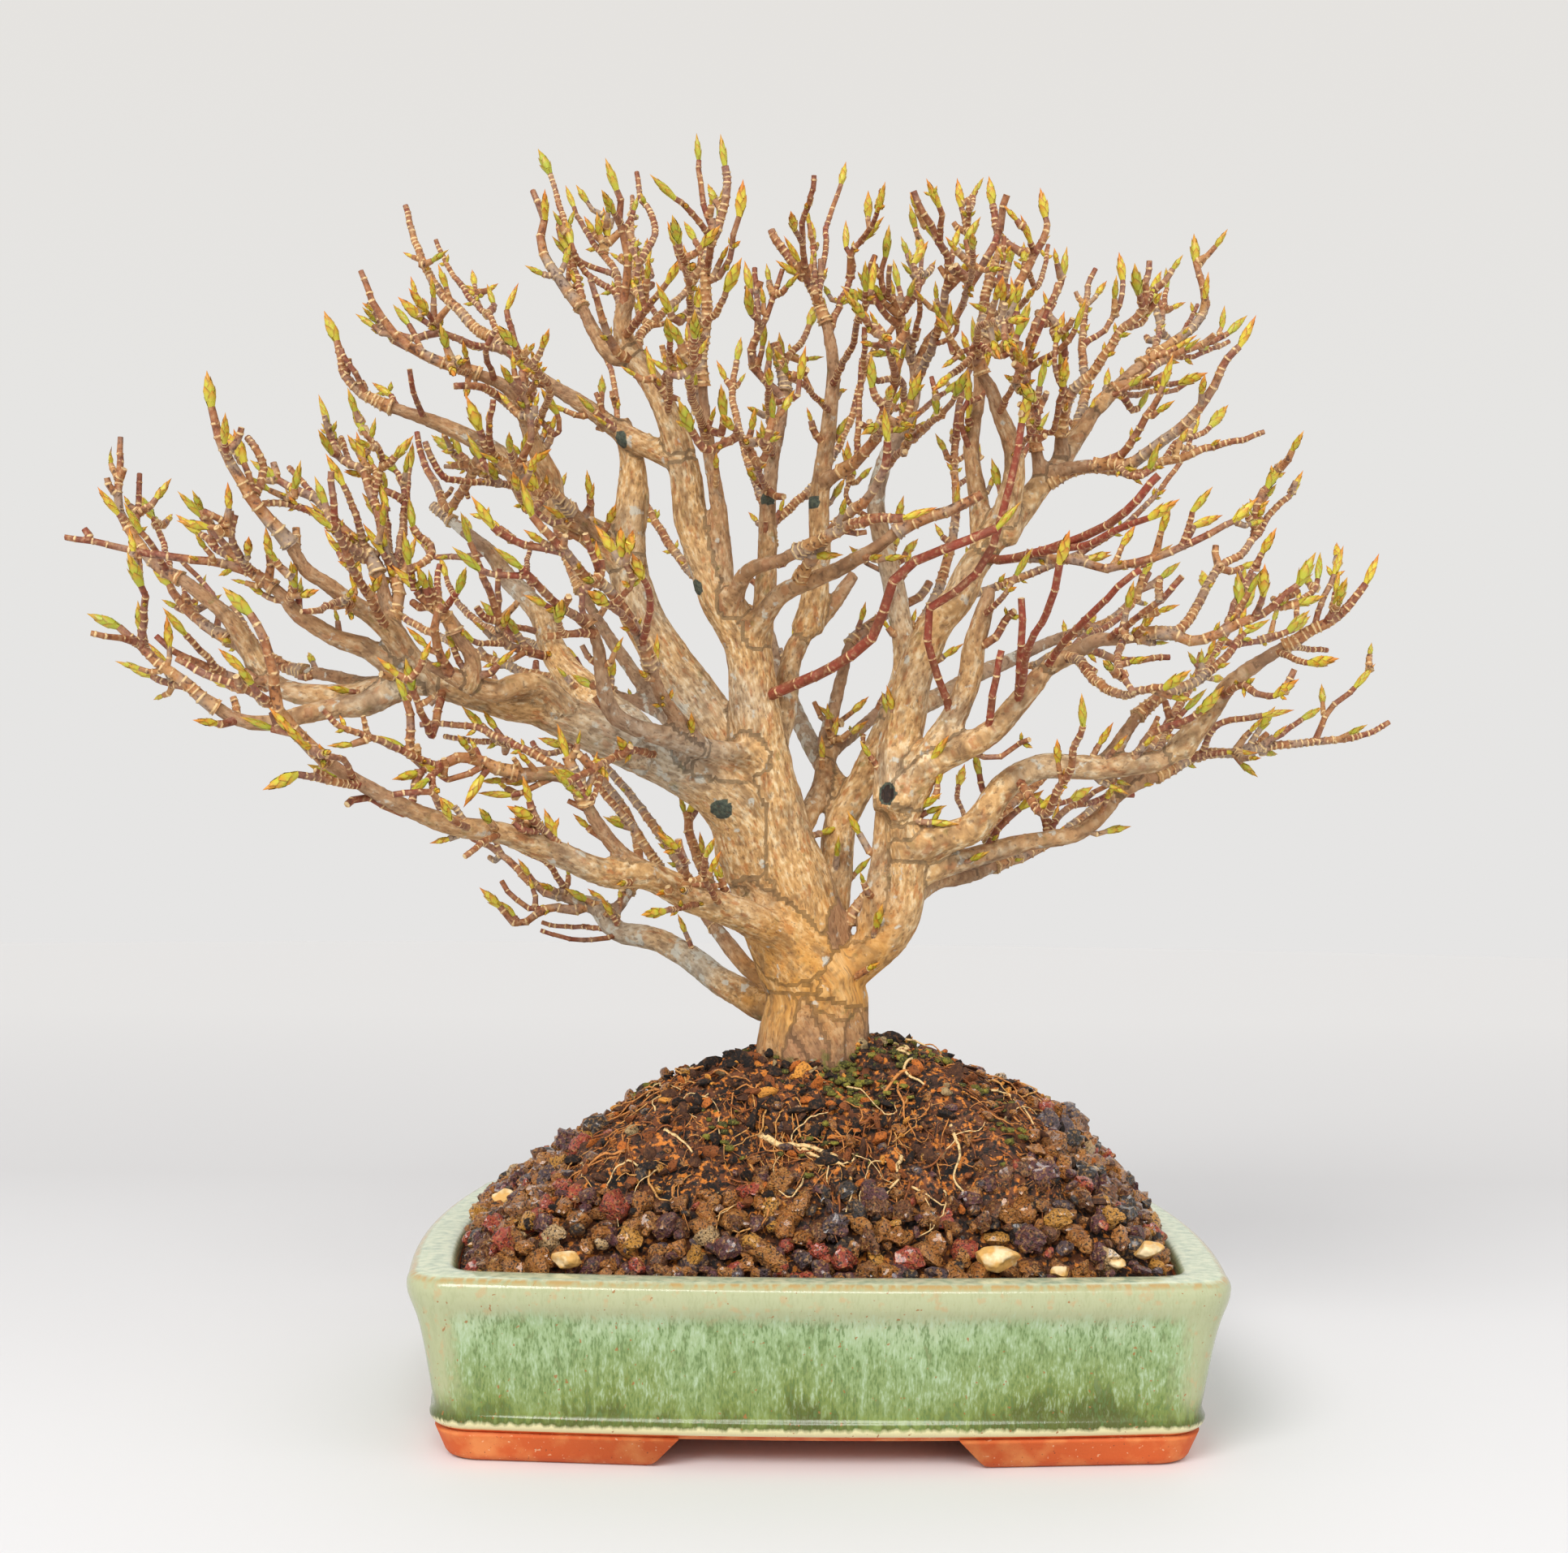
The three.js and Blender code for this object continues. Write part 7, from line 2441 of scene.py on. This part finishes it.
@dataclass(frozen=True)
class CutFinish:
    """Fresh cream wood of a cut end."""

    colour: str = "#d8bd8c"
    weathered: str = "#a9825a"

    def material(self) -> bpy.types.Material:
        """Builds the material.

        Returns:
            The material.
        """
        m = new_material("cut maple wood", self.colour)
        place = object_place(m)
        base = blend(m, span(m, grain(m, place, 0.9), 0.4, 0.65, (0, 1)), self.colour, self.weathered)
        return finish_off(m, {"Base Color": base, "Roughness": 0.8})


@dataclass(frozen=True)
class BudFinish:
    """Swelling bud scales: yellow-green with orange points and brown edges."""

    green: str = "#a9b032"
    lime: str = "#dcc83f"
    orange: str = "#cf761f"
    brown: str = "#7a3a18"
    rough: float = 0.42

    def material(self) -> bpy.types.Material:
        """Builds the material from the buds' marks scale, edge and tone.

        Returns:
            The material.
        """
        m = new_material("maple bud scales", self.green)
        scale, edge, tone = (mark_of(m, name) for name in ("scale", "edge", "tone"))
        base = blend(m, tone, self.green, self.lime)
        warm = maths(m, "MULTIPLY", span(m, scale, 0.35, 0.95, (0, 1)), span(m, tone, 0, 1, (0.55, 1)))
        base = blend(m, warm, base, self.orange)
        dark = maths(m, "MULTIPLY", span(m, edge, 0.5, 1.0, (0, 0.7)), span(m, scale, 0.1, 0.7, (0.1, 1)))
        base = blend(m, dark, base, self.brown)
        inputs = {"Base Color": base, "Roughness": self.rough, "Subsurface Weight": 0.08}
        inputs["Subsurface Radius"] = (0.4 * MM, 0.4 * MM, 0.15 * MM)
        return finish_off(m, inputs)


@dataclass(frozen=True)
class SoilFinish:
    """Moist peaty soil, brown on the clods and nearly black in the hollows, where shade is painted."""

    # Nearly black: painted shade in the hollows, and dark bits of peat
    dark: str = "#0d0806"
    brown: str = "#5a3520"
    red: str = "#7d4520"
    fleck: str = "#d9822f"
    straw: str = "#c08a50"

    def material(self) -> bpy.types.Material:
        """Builds the material from the root ball's mark depth.

        Returns:
            The material.
        """
        m = new_material("moist peat soil", self.brown)
        place = object_place(m)
        # Painted shade: nearly black where the depth mark is low, in the hollows between clods
        base = blend(m, span(m, mark_of(m, "depth"), -0.6, 1.6, (0, 1)), self.dark, self.brown)
        base = blend(m, span(m, grain(m, place, 9.0, 5.0), 0.46, 0.58, (0, 0.6)), base, self.red)
        base = blend(m, span(m, grain(m, place, 1.6, 5.0), 0.53, 0.6, (0, 0.9)), base, self.fleck)
        base = blend(m, span(m, grain(m, place, 1.3, 4.0), 0.5, 0.42, (0, 0.95)), base, self.dark)
        base = blend(m, span(m, grain(m, place, 0.9, 2.0), 0.63, 0.7, (0, 0.6)), base, self.straw)
        rough = span(m, grain(m, place, 3.0), 0.4, 0.6, (0.6, 0.95))
        normal = bump(m, grain(m, place, 0.7, 5.0), 0.6)
        return finish_off(m, {"Base Color": base, "Roughness": rough, "Normal": normal})


@dataclass(frozen=True)
class SpeckledFinish:
    """A loose material whose pieces differ in colour from one to the next, by the stops of their tone."""

    name: str
    stops: tuple[tuple[float, str], ...]
    # The size, colour and strength of the specks, the roughness and the depth of the fine relief. On the
    # lava grit the bright specks are partly painted highlights.
    speck: float
    speckle_and_highlight: str
    amount: float
    rough: float
    depth: float
    coat: float = 0.0
    # How strongly painted shade darkens the pits of the fine relief, and in what colour
    pores: float = 0.6
    shaded_pore: str = "#170e0b"

    def material(self) -> bpy.types.Material:
        """Builds the material from the pieces' mark tone.

        Returns:
            The material.
        """
        m = new_material(self.name, self.stops[0][1])
        place = object_place(m)
        base = ramp(m, mark_of(m, "tone"), self.stops, True)
        speck = grain(m, place, self.speck, 4.0)
        base = blend(m, span(m, speck, 0.5, 0.66, (0, self.amount)), base, self.speckle_and_highlight)
        shaded_pore = grain(m, place, self.speck * 0.6, 2.0)
        # Painted shade in the pits, where the fine relief below is low
        base = blend(m, span(m, shaded_pore, 0.48, 0.36, (0, self.pores)), base, self.shaded_pore)
        normal = bump(m, maths(m, "ADD", shaded_pore, grain(m, place, self.speck * 0.35, 3.0)), self.depth)
        inputs = {"Base Color": base, "Roughness": self.rough, "Normal": normal}
        inputs.update({"Coat Weight": self.coat, "Coat Roughness": 0.15})
        return finish_off(m, inputs)


LAVA = SpeckledFinish(
    "wet lava grit",
    (
        (0.0, "#b9722c"),
        (0.14, "#7d4a28"),
        (0.28, "#6b3d42"),
        (0.42, "#c07c38"),
        (0.58, "#37302f"),
        (0.67, "#bb4c34"),
        (0.76, "#a0642c"),
        (0.87, "#5e4c52"),
        (0.93, "#da9a3c"),
        (0.97, "#d8b482"),
    ),
    speck=0.9,
    # Bright specks: partly the grit's own pale grains, partly painted highlights
    speckle_and_highlight="#e0a860",
    amount=0.6,
    rough=0.36,
    depth=1.1,
    coat=0.7,
    pores=0.95,
)
CRUMB = SpeckledFinish(
    "soil and bark crumbs",
    (
        (0.0, "#120b08"),
        (0.36, "#4a2a17"),
        (0.56, "#87491d"),
        (0.74, "#c06a24"),
        (0.87, "#dd963c"),
        (0.96, "#a89066"),
    ),
    speck=0.9,
    speckle_and_highlight="#8a5a30",
    amount=0.4,
    rough=0.85,
    depth=0.3,
)
MOSS = SpeckledFinish(
    "moss",
    ((0.0, "#454417"), (0.4, "#66621f"), (0.8, "#8b832e"), (1.0, "#95793a")),
    speck=0.6,
    speckle_and_highlight="#a8a048",
    amount=0.6,
    rough=0.9,
    depth=0.3,
)
FINE_ROOT = SpeckledFinish(
    "fine maple roots",
    ((0.0, "#e6c48a"), (0.16, "#c98544"), (0.4, "#8e4f22"), (0.66, "#d19a55"), (0.8, "#5a331b")),
    speck=1.6,
    speckle_and_highlight="#b07a45",
    amount=0.35,
    rough=0.75,
    depth=0.1,
)
PALE_STONE = SpeckledFinish(
    "pale quartz pebble",
    ((0.0, "#d9a95f"), (1.0, "#d9a95f")),
    speck=3.4,
    speckle_and_highlight="#ecd7ad",
    amount=0.9,
    rough=0.5,
    depth=0.2,
    pores=0.15,
)


@dataclass(frozen=True)
class GlazeFinish:
    """Runny celadon glaze: mint over green in fine upright streaks, sandy on edges, olive at the foot, with
    painted shade on the rim's inner edge.
    """

    # The glaze's colours from the foot up, by height
    run: tuple[tuple[float, str], ...] = (
        (8.5, "#4c5218"),
        (11.0, "#56601f"),
        (14.0, "#74843f"),
        (18.0, "#7f9256"),
        (24.0, "#849a66"),
        (29.0, "#91a879"),
        (34.0, "#a1b48c"),
        (38.0, "#a9b58f"),
    )
    pale: str = "#b2c6a8"
    # Deep green of the streaks, and painted shade on the rim's inner edge
    deep: str = "#56703a"
    sand: str = "#abae88"
    blush: str = "#b89d72"
    cream: str = "#e4dcac"
    rust: str = "#98622f"
    rim: tuple[str, str, str] = ("#a0b29a", "#bccaaa", "#d2dab8")
    worn: str = "#b8985f"
    streak: float = 0.42
    rough: float = 0.12

    def material(self) -> bpy.types.Material:
        """Builds the material from the pot's marks flow, panel and inset.

        Returns:
            The material.
        """
        m = new_material("celadon glaze", self.run[4][1])
        flow = mark_of(m, "flow", "Vector")
        place = object_place(m)
        height = add_node(m, "SeparateXYZ", {0: flow}, "Z")
        thin = grain(m, stretched(m, flow, (1, 1, 0.3)), self.streak, 4.0)
        wide = grain(m, stretched(m, flow, (1, 1, 0.35)), 4 * self.streak, 5.0)
        patch = grain(m, stretched(m, flow, (1, 1, 0.7)), 30 * self.streak, 2.0)
        drips, drifts = span(m, wide, 0.3, 0.7, (-3.0, 3.0)), span(m, patch, 0.35, 0.65, (-3.5, 3.5))
        wander = maths(m, "ADD", drips, drifts)
        low, high = self.run[0][0], self.run[-1][0]
        level = span(m, maths(m, "ADD", height, wander), low, high, (0, 1))
        base = ramp(m, level, [((z - low) / (high - low), colour) for z, colour in self.run])
        streak = maths(m, "ADD", maths(m, "MULTIPLY", thin, 0.55), maths(m, "MULTIPLY", wide, 0.45))
        upper = span(m, height, 11.0, 16.0, (0.1, 0.75))
        base = blend(m, maths(m, "MULTIPLY", span(m, streak, 0.52, 0.66, (0, 0.9)), upper), base, self.pale)
        base = blend(m, span(m, streak, 0.49, 0.4, (0, 0.75)), base, self.deep)
        panel = mark_of(m, "panel")
        wash = maths(m, "ADD", panel, span(m, wide, 0.3, 0.7, (-0.25, 0.25)))
        thin_glaze = span(m, wash, 0.85, 0.2, (0, 0.85))
        thinned = maths(m, "MULTIPLY", thin_glaze, span(m, height, 10.5, 16.0, (0.0, 1)))
        base = blend(m, thinned, base, self.sand)
        blush = maths(m, "MULTIPLY", span(m, grain(m, flow, 2.6, 3.0), 0.58, 0.68, (0, 0.7)), thinned)
        base = blend(m, blush, base, self.blush)
        lip = maths(m, "ADD", height, span(m, wide, 0.3, 0.7, (-0.5, 0.5)))
        base = blend(m, span(m, lip, 9.6, 8.7, (0, 0.95)), base, self.cream)
        base = blend(m, span(m, grain(m, flow, 1.1, 1.0), 0.72, 0.76, (0, 0.8)), base, self.rust)
        inset = mark_of(m, "inset")
        over = maths(m, "MULTIPLY", span(m, inset, 1.0, 2.4, (0, 1)), span(m, height, 39.4, 40.2, (0, 1)))
        flat = ramp(m, grain(m, place, 2.4, 6.0), list(zip((0.3, 0.46, 0.6), self.rim)))
        base = blend(m, over, base, flat)
        # Painted shade: the rim's inner edge, where it turns down into the pot, darkens to deep green
        base = blend(m, span(m, inset, 9.4, 10.6, (0, 0.9)), base, self.deep)
        edge = maths(m, "MULTIPLY", span(m, height, 39.3, 40.3, (0, 0.9)), span(m, inset, 2.3, 1.5, (0, 1)))
        rubbed = maths(m, "MULTIPLY", edge, span(m, grain(m, flow, 1.6, 4.0), 0.42, 0.56, (0.1, 1)))
        base = blend(m, rubbed, base, self.worn)
        normal = bump(m, streak, 0.25, 0.35)
        return finish_off(m, {"Base Color": base, "Roughness": self.rough, "Normal": normal})


@dataclass(frozen=True)
class ClayFinish:
    """Bare terracotta of the feet, the underside and the inner wall: fired orange clay with pale grog."""

    clay: str = "#c85a22"
    dust: str = "#d98548"
    speck: str = "#6e3420"
    grog: str = "#e0b088"

    def material(self) -> bpy.types.Material:
        """Builds the material.

        Returns:
            The material.
        """
        m = new_material("bare terracotta", self.clay)
        place = object_place(m)
        base = blend(m, span(m, grain(m, place, 6.0, 6.0), 0.45, 0.68, (0, 0.9)), self.clay, self.dust)
        base = blend(m, span(m, grain(m, place, 0.8, 2.0), 0.68, 0.74, (0, 0.8)), base, self.speck)
        base = blend(m, span(m, grain(m, place, 0.9, 1.0), 0.3, 0.26, (0, 0.7)), base, self.grog)
        normal = bump(m, grain(m, place, 0.6, 3.0), 0.12, 0.6)
        return finish_off(m, {"Base Color": base, "Roughness": 0.72, "Normal": normal})


@dataclass(frozen=True)
class ScreenFinish:
    """Dark moulded plastic of the drain screens."""

    colour: str = "#2b2f2c"

    def material(self) -> bpy.types.Material:
        """Builds the material.

        Returns:
            The material.
        """
        m = new_material("moulded plastic mesh", self.colour)
        place = object_place(m)
        rough = span(m, grain(m, place, 1.5), 0.3, 0.7, (0.4, 0.6))
        return finish_off(m, {"Base Color": linear(self.colour), "Roughness": rough})


@dataclass(frozen=True)
class FloorFinish:
    """Matte white paper below the pot, with painted shade that makes it a little duller behind it."""

    near: str = "#eaebee"
    # Painted shade: dull behind the pot, a little less dull far back
    dull: str = "#c8c8ca"
    far: str = "#d0d0d1"

    def material(self) -> bpy.types.Material:
        """Builds the material.

        Returns:
            The material.
        """
        m = new_material("matte white paper", self.near)
        back = add_node(m, "SeparateXYZ", {0: object_place(m)}, "Y")
        share = span(m, back, -220, 2500, (0, 1))
        base = ramp(m, share, [(0.0, self.near), (0.2, self.dull), (0.5, self.far)])
        return finish_off(m, {"Base Color": base, "Roughness": 0.9})


@dataclass(frozen=True)
class Lamp:
    """One soft light, far away like a lit window: the way it comes from, how wide it looks in degrees."""

    place: tuple[float, float, float]
    spread: float
    power: float
    tint: str = "#ffffff"


@dataclass
class Studio:
    """The pale floor, the soft lights and the camera at the photo's place, its angles in degrees."""

    frame: Frame
    lamps: tuple[Lamp, ...] = (
        Lamp((-300, -560, 600), 26, 1.9, "#fffcf8"),
        Lamp((60, -560, 560), 18, 0.7),
        Lamp((520, -420, 420), 60, 0.4),
        Lamp((60, 420, 560), 60, 0.35),
    )
    # The room's colours from eye height up
    room: tuple[tuple[float, str], ...] = (
        (0.0, "#e6e5e4"),
        (0.2, "#e6e5e3"),
        (0.5, "#e5e2de"),
        (0.95, "#a5a4a2"),
    )
    eye: tuple[float, float, float] = (-2.2, -489.15, 130.0)
    yaw: float = 0.64
    pitch: float = 2.45
    roll: float = 0.57
    lens: float = 45.0
    sensor: float = 36.0
    floor: float = 2600.0
    # Where the lights point
    aim: tuple[float, float, float] = (0, 0, 110)

    def build(self) -> None:
        """Sets the stage."""
        self.lay_floor()
        for number, lamp in enumerate(self.lamps):
            self.hang(lamp, number)
        self.set_camera()
        self.light_room()
        bpy.context.scene.view_settings.view_transform = "Standard"

    def light_room(self) -> None:
        """Makes the room around: white at eye height and below, dimmer overhead."""
        world = bpy.data.worlds.new("white room")
        world.use_nodes = True
        nodes, links = world.node_tree.nodes, world.node_tree.links
        way = nodes.new("ShaderNodeTexCoord").outputs["Generated"]
        split = nodes.new("ShaderNodeSeparateXYZ")
        wall = nodes.new("ShaderNodeValToRGB")
        set_stops(wall, self.room)
        links.new(way, split.inputs[0])
        links.new(split.outputs["Z"], wall.inputs["Fac"])
        links.new(wall.outputs["Color"], nodes["Background"].inputs["Color"])
        bpy.context.scene.world = world

    def lay_floor(self) -> None:
        """Lays a round floor a little below the feet's soles."""
        bm = bmesh.new()
        bmesh.ops.create_circle(bm, cap_ends=True, segments=96, radius=self.floor * MM)
        mesh = from_bmesh(bm, "floor")
        mesh.materials.append(FloorFinish().material())
        ground = bpy.data.objects.new("floor", mesh)
        ground.location = (0, 0, -BOX_MARGIN * MM)
        bpy.context.scene.collection.objects.link(ground)
        ground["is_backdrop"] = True

    def hang(self, lamp: Lamp, number: int) -> None:
        """Hangs one light, facing the tree.

        Args:
            lamp: The light.
            number: The number in its name.
        """
        data = bpy.data.lights.new(f"lamp_{number}", "SUN")
        data.energy = lamp.power
        data.angle = math.radians(lamp.spread)
        data.color = linear(lamp.tint)[:3]
        light = bpy.data.objects.new(data.name, data)
        light.location = self.frame.spot(*lamp.place)
        aim = self.frame.spot(*self.aim) - light.location
        light.rotation_euler = aim.to_track_quat("-Z", "Y").to_euler()
        bpy.context.scene.collection.objects.link(light)
        light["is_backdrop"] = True

    def set_camera(self) -> None:
        """Puts the camera at the photo's place and angle."""
        data = bpy.data.cameras.new("camera")
        data.lens = self.lens
        data.sensor_width = self.sensor
        camera = bpy.data.objects.new("camera", data)
        camera.location = Vector(self.eye) * MM
        turn = Matrix.Rotation(math.radians(-self.yaw), 4, "Z")
        tilt = Matrix.Rotation(math.radians(90 + self.pitch), 4, "X")
        spin = Matrix.Rotation(math.radians(self.roll), 4, "Z")
        camera.rotation_euler = (turn @ tilt @ spin).to_euler()
        bpy.context.scene.collection.objects.link(camera)
        bpy.context.scene.camera = camera


def build_ground(frame: Frame, mound: Mound) -> None:
    """Builds the root ball and everything that lies on it.

    Args:
        frame: The frame that places the pieces.
        mound: The mound that they lie on.
    """
    soil = [SoilFinish().material()]
    add_piece(frame, RootBall(mound).mesh(), "soil_mound", soil, ["root_ball"])
    add_piece(frame, FineRoots(mound).mesh(), "fine_roots", [FINE_ROOT.material()])
    litter = Litter(mound)
    add_piece(frame, litter.crumb_mesh(), "crumbs", [CRUMB.material()])
    add_piece(frame, litter.moss_mesh(), "moss", [MOSS.material()])
    kept = [(p.x, p.y, max(p.half_length, p.half_width)) for p in PEBBLES]
    grit = Grit(mound, kept).meshes()
    lava = [LAVA.material()]
    add_piece(frame, grit["coarse_grit"], "coarse_grit", lava, ["lava_gravel"])
    add_piece(frame, grit["fine_grit"], "fine_grit", lava)
    for number, pebble in enumerate(PEBBLES, 1):
        name = f"pale_pebble_{number}"
        stone = [PALE_STONE.material()]
        mesh = pebble.mesh(mound, number)
        paint(mesh, "tone", np.full(len(mesh.vertices), 0.5))
        add_piece(frame, mesh, f"smooth_{name}", stone, [name])


def build_tree(frame: Frame, mound: Mound) -> None:
    """Builds the tree: its skin, twigs and buds.

    Args:
        frame: The frame that places the pieces.
        mound: The mound that it stands in.
    """
    skeleton = Skeleton()
    skeleton.grow()
    wood = Wood(skeleton)
    skin = wood.skin_mesh(mound.height)
    seal_wounds(skin, WOUNDS)
    bark = [BarkFinish().material()]
    add_piece(frame, skin, "trunk_and_limbs", bark, ["tree"])
    twigs = Twigs(wood)
    twigs.grow()
    thin = [TwigFinish().material(), CutFinish().material()]
    for name, mesh in twigs.meshes().items():
        add_piece(frame, mesh, name, thin)
    scales = [BudFinish().material()]
    full = [BudShape(), BudShape(radius=0.105, pairs=5, flare=0.03), BudShape(radius=0.14, flare=0.08)]
    plain = [BudShape(radius=radius, pairs=3, sides=6, levels=4, across=2) for radius in (0.12, 0.14)]
    small = [BudShape(radius=0.2, pairs=2, sides=5, levels=3, across=2, up=2)]
    for name, places, shapes, seed in (
        ("swelling_buds", twigs.buds, full, 3),
        ("spur_buds", twigs.spur_buds, plain, 5),
        ("resting_buds", twigs.node_buds, small, 4),
    ):
        add_piece(frame, bud_mesh(places, shapes, name, seed), name, scales)


def main() -> None:
    """Builds the tree, the ground and the pot, and sets the stage."""
    logging.basicConfig(level=logging.INFO, format="%(name)s %(message)s")
    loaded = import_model()
    frame = Frame.read()
    mound = Mound()
    build_tree(frame, mound)
    build_ground(frame, mound)
    pot = [GlazeFinish().material(), ClayFinish().material()]
    add_piece(frame, Pot().mesh(), "glazed_pot", pot, ["pot"])
    screen = ScreenFinish().material()
    for side in ("left", "right"):
        node = loaded["nodes"][f"drain_screen_{side}"]
        node.data.materials.clear()
        node.data.materials.append(screen)
    Studio(frame).build()


if __name__ == "__main__":
    main()
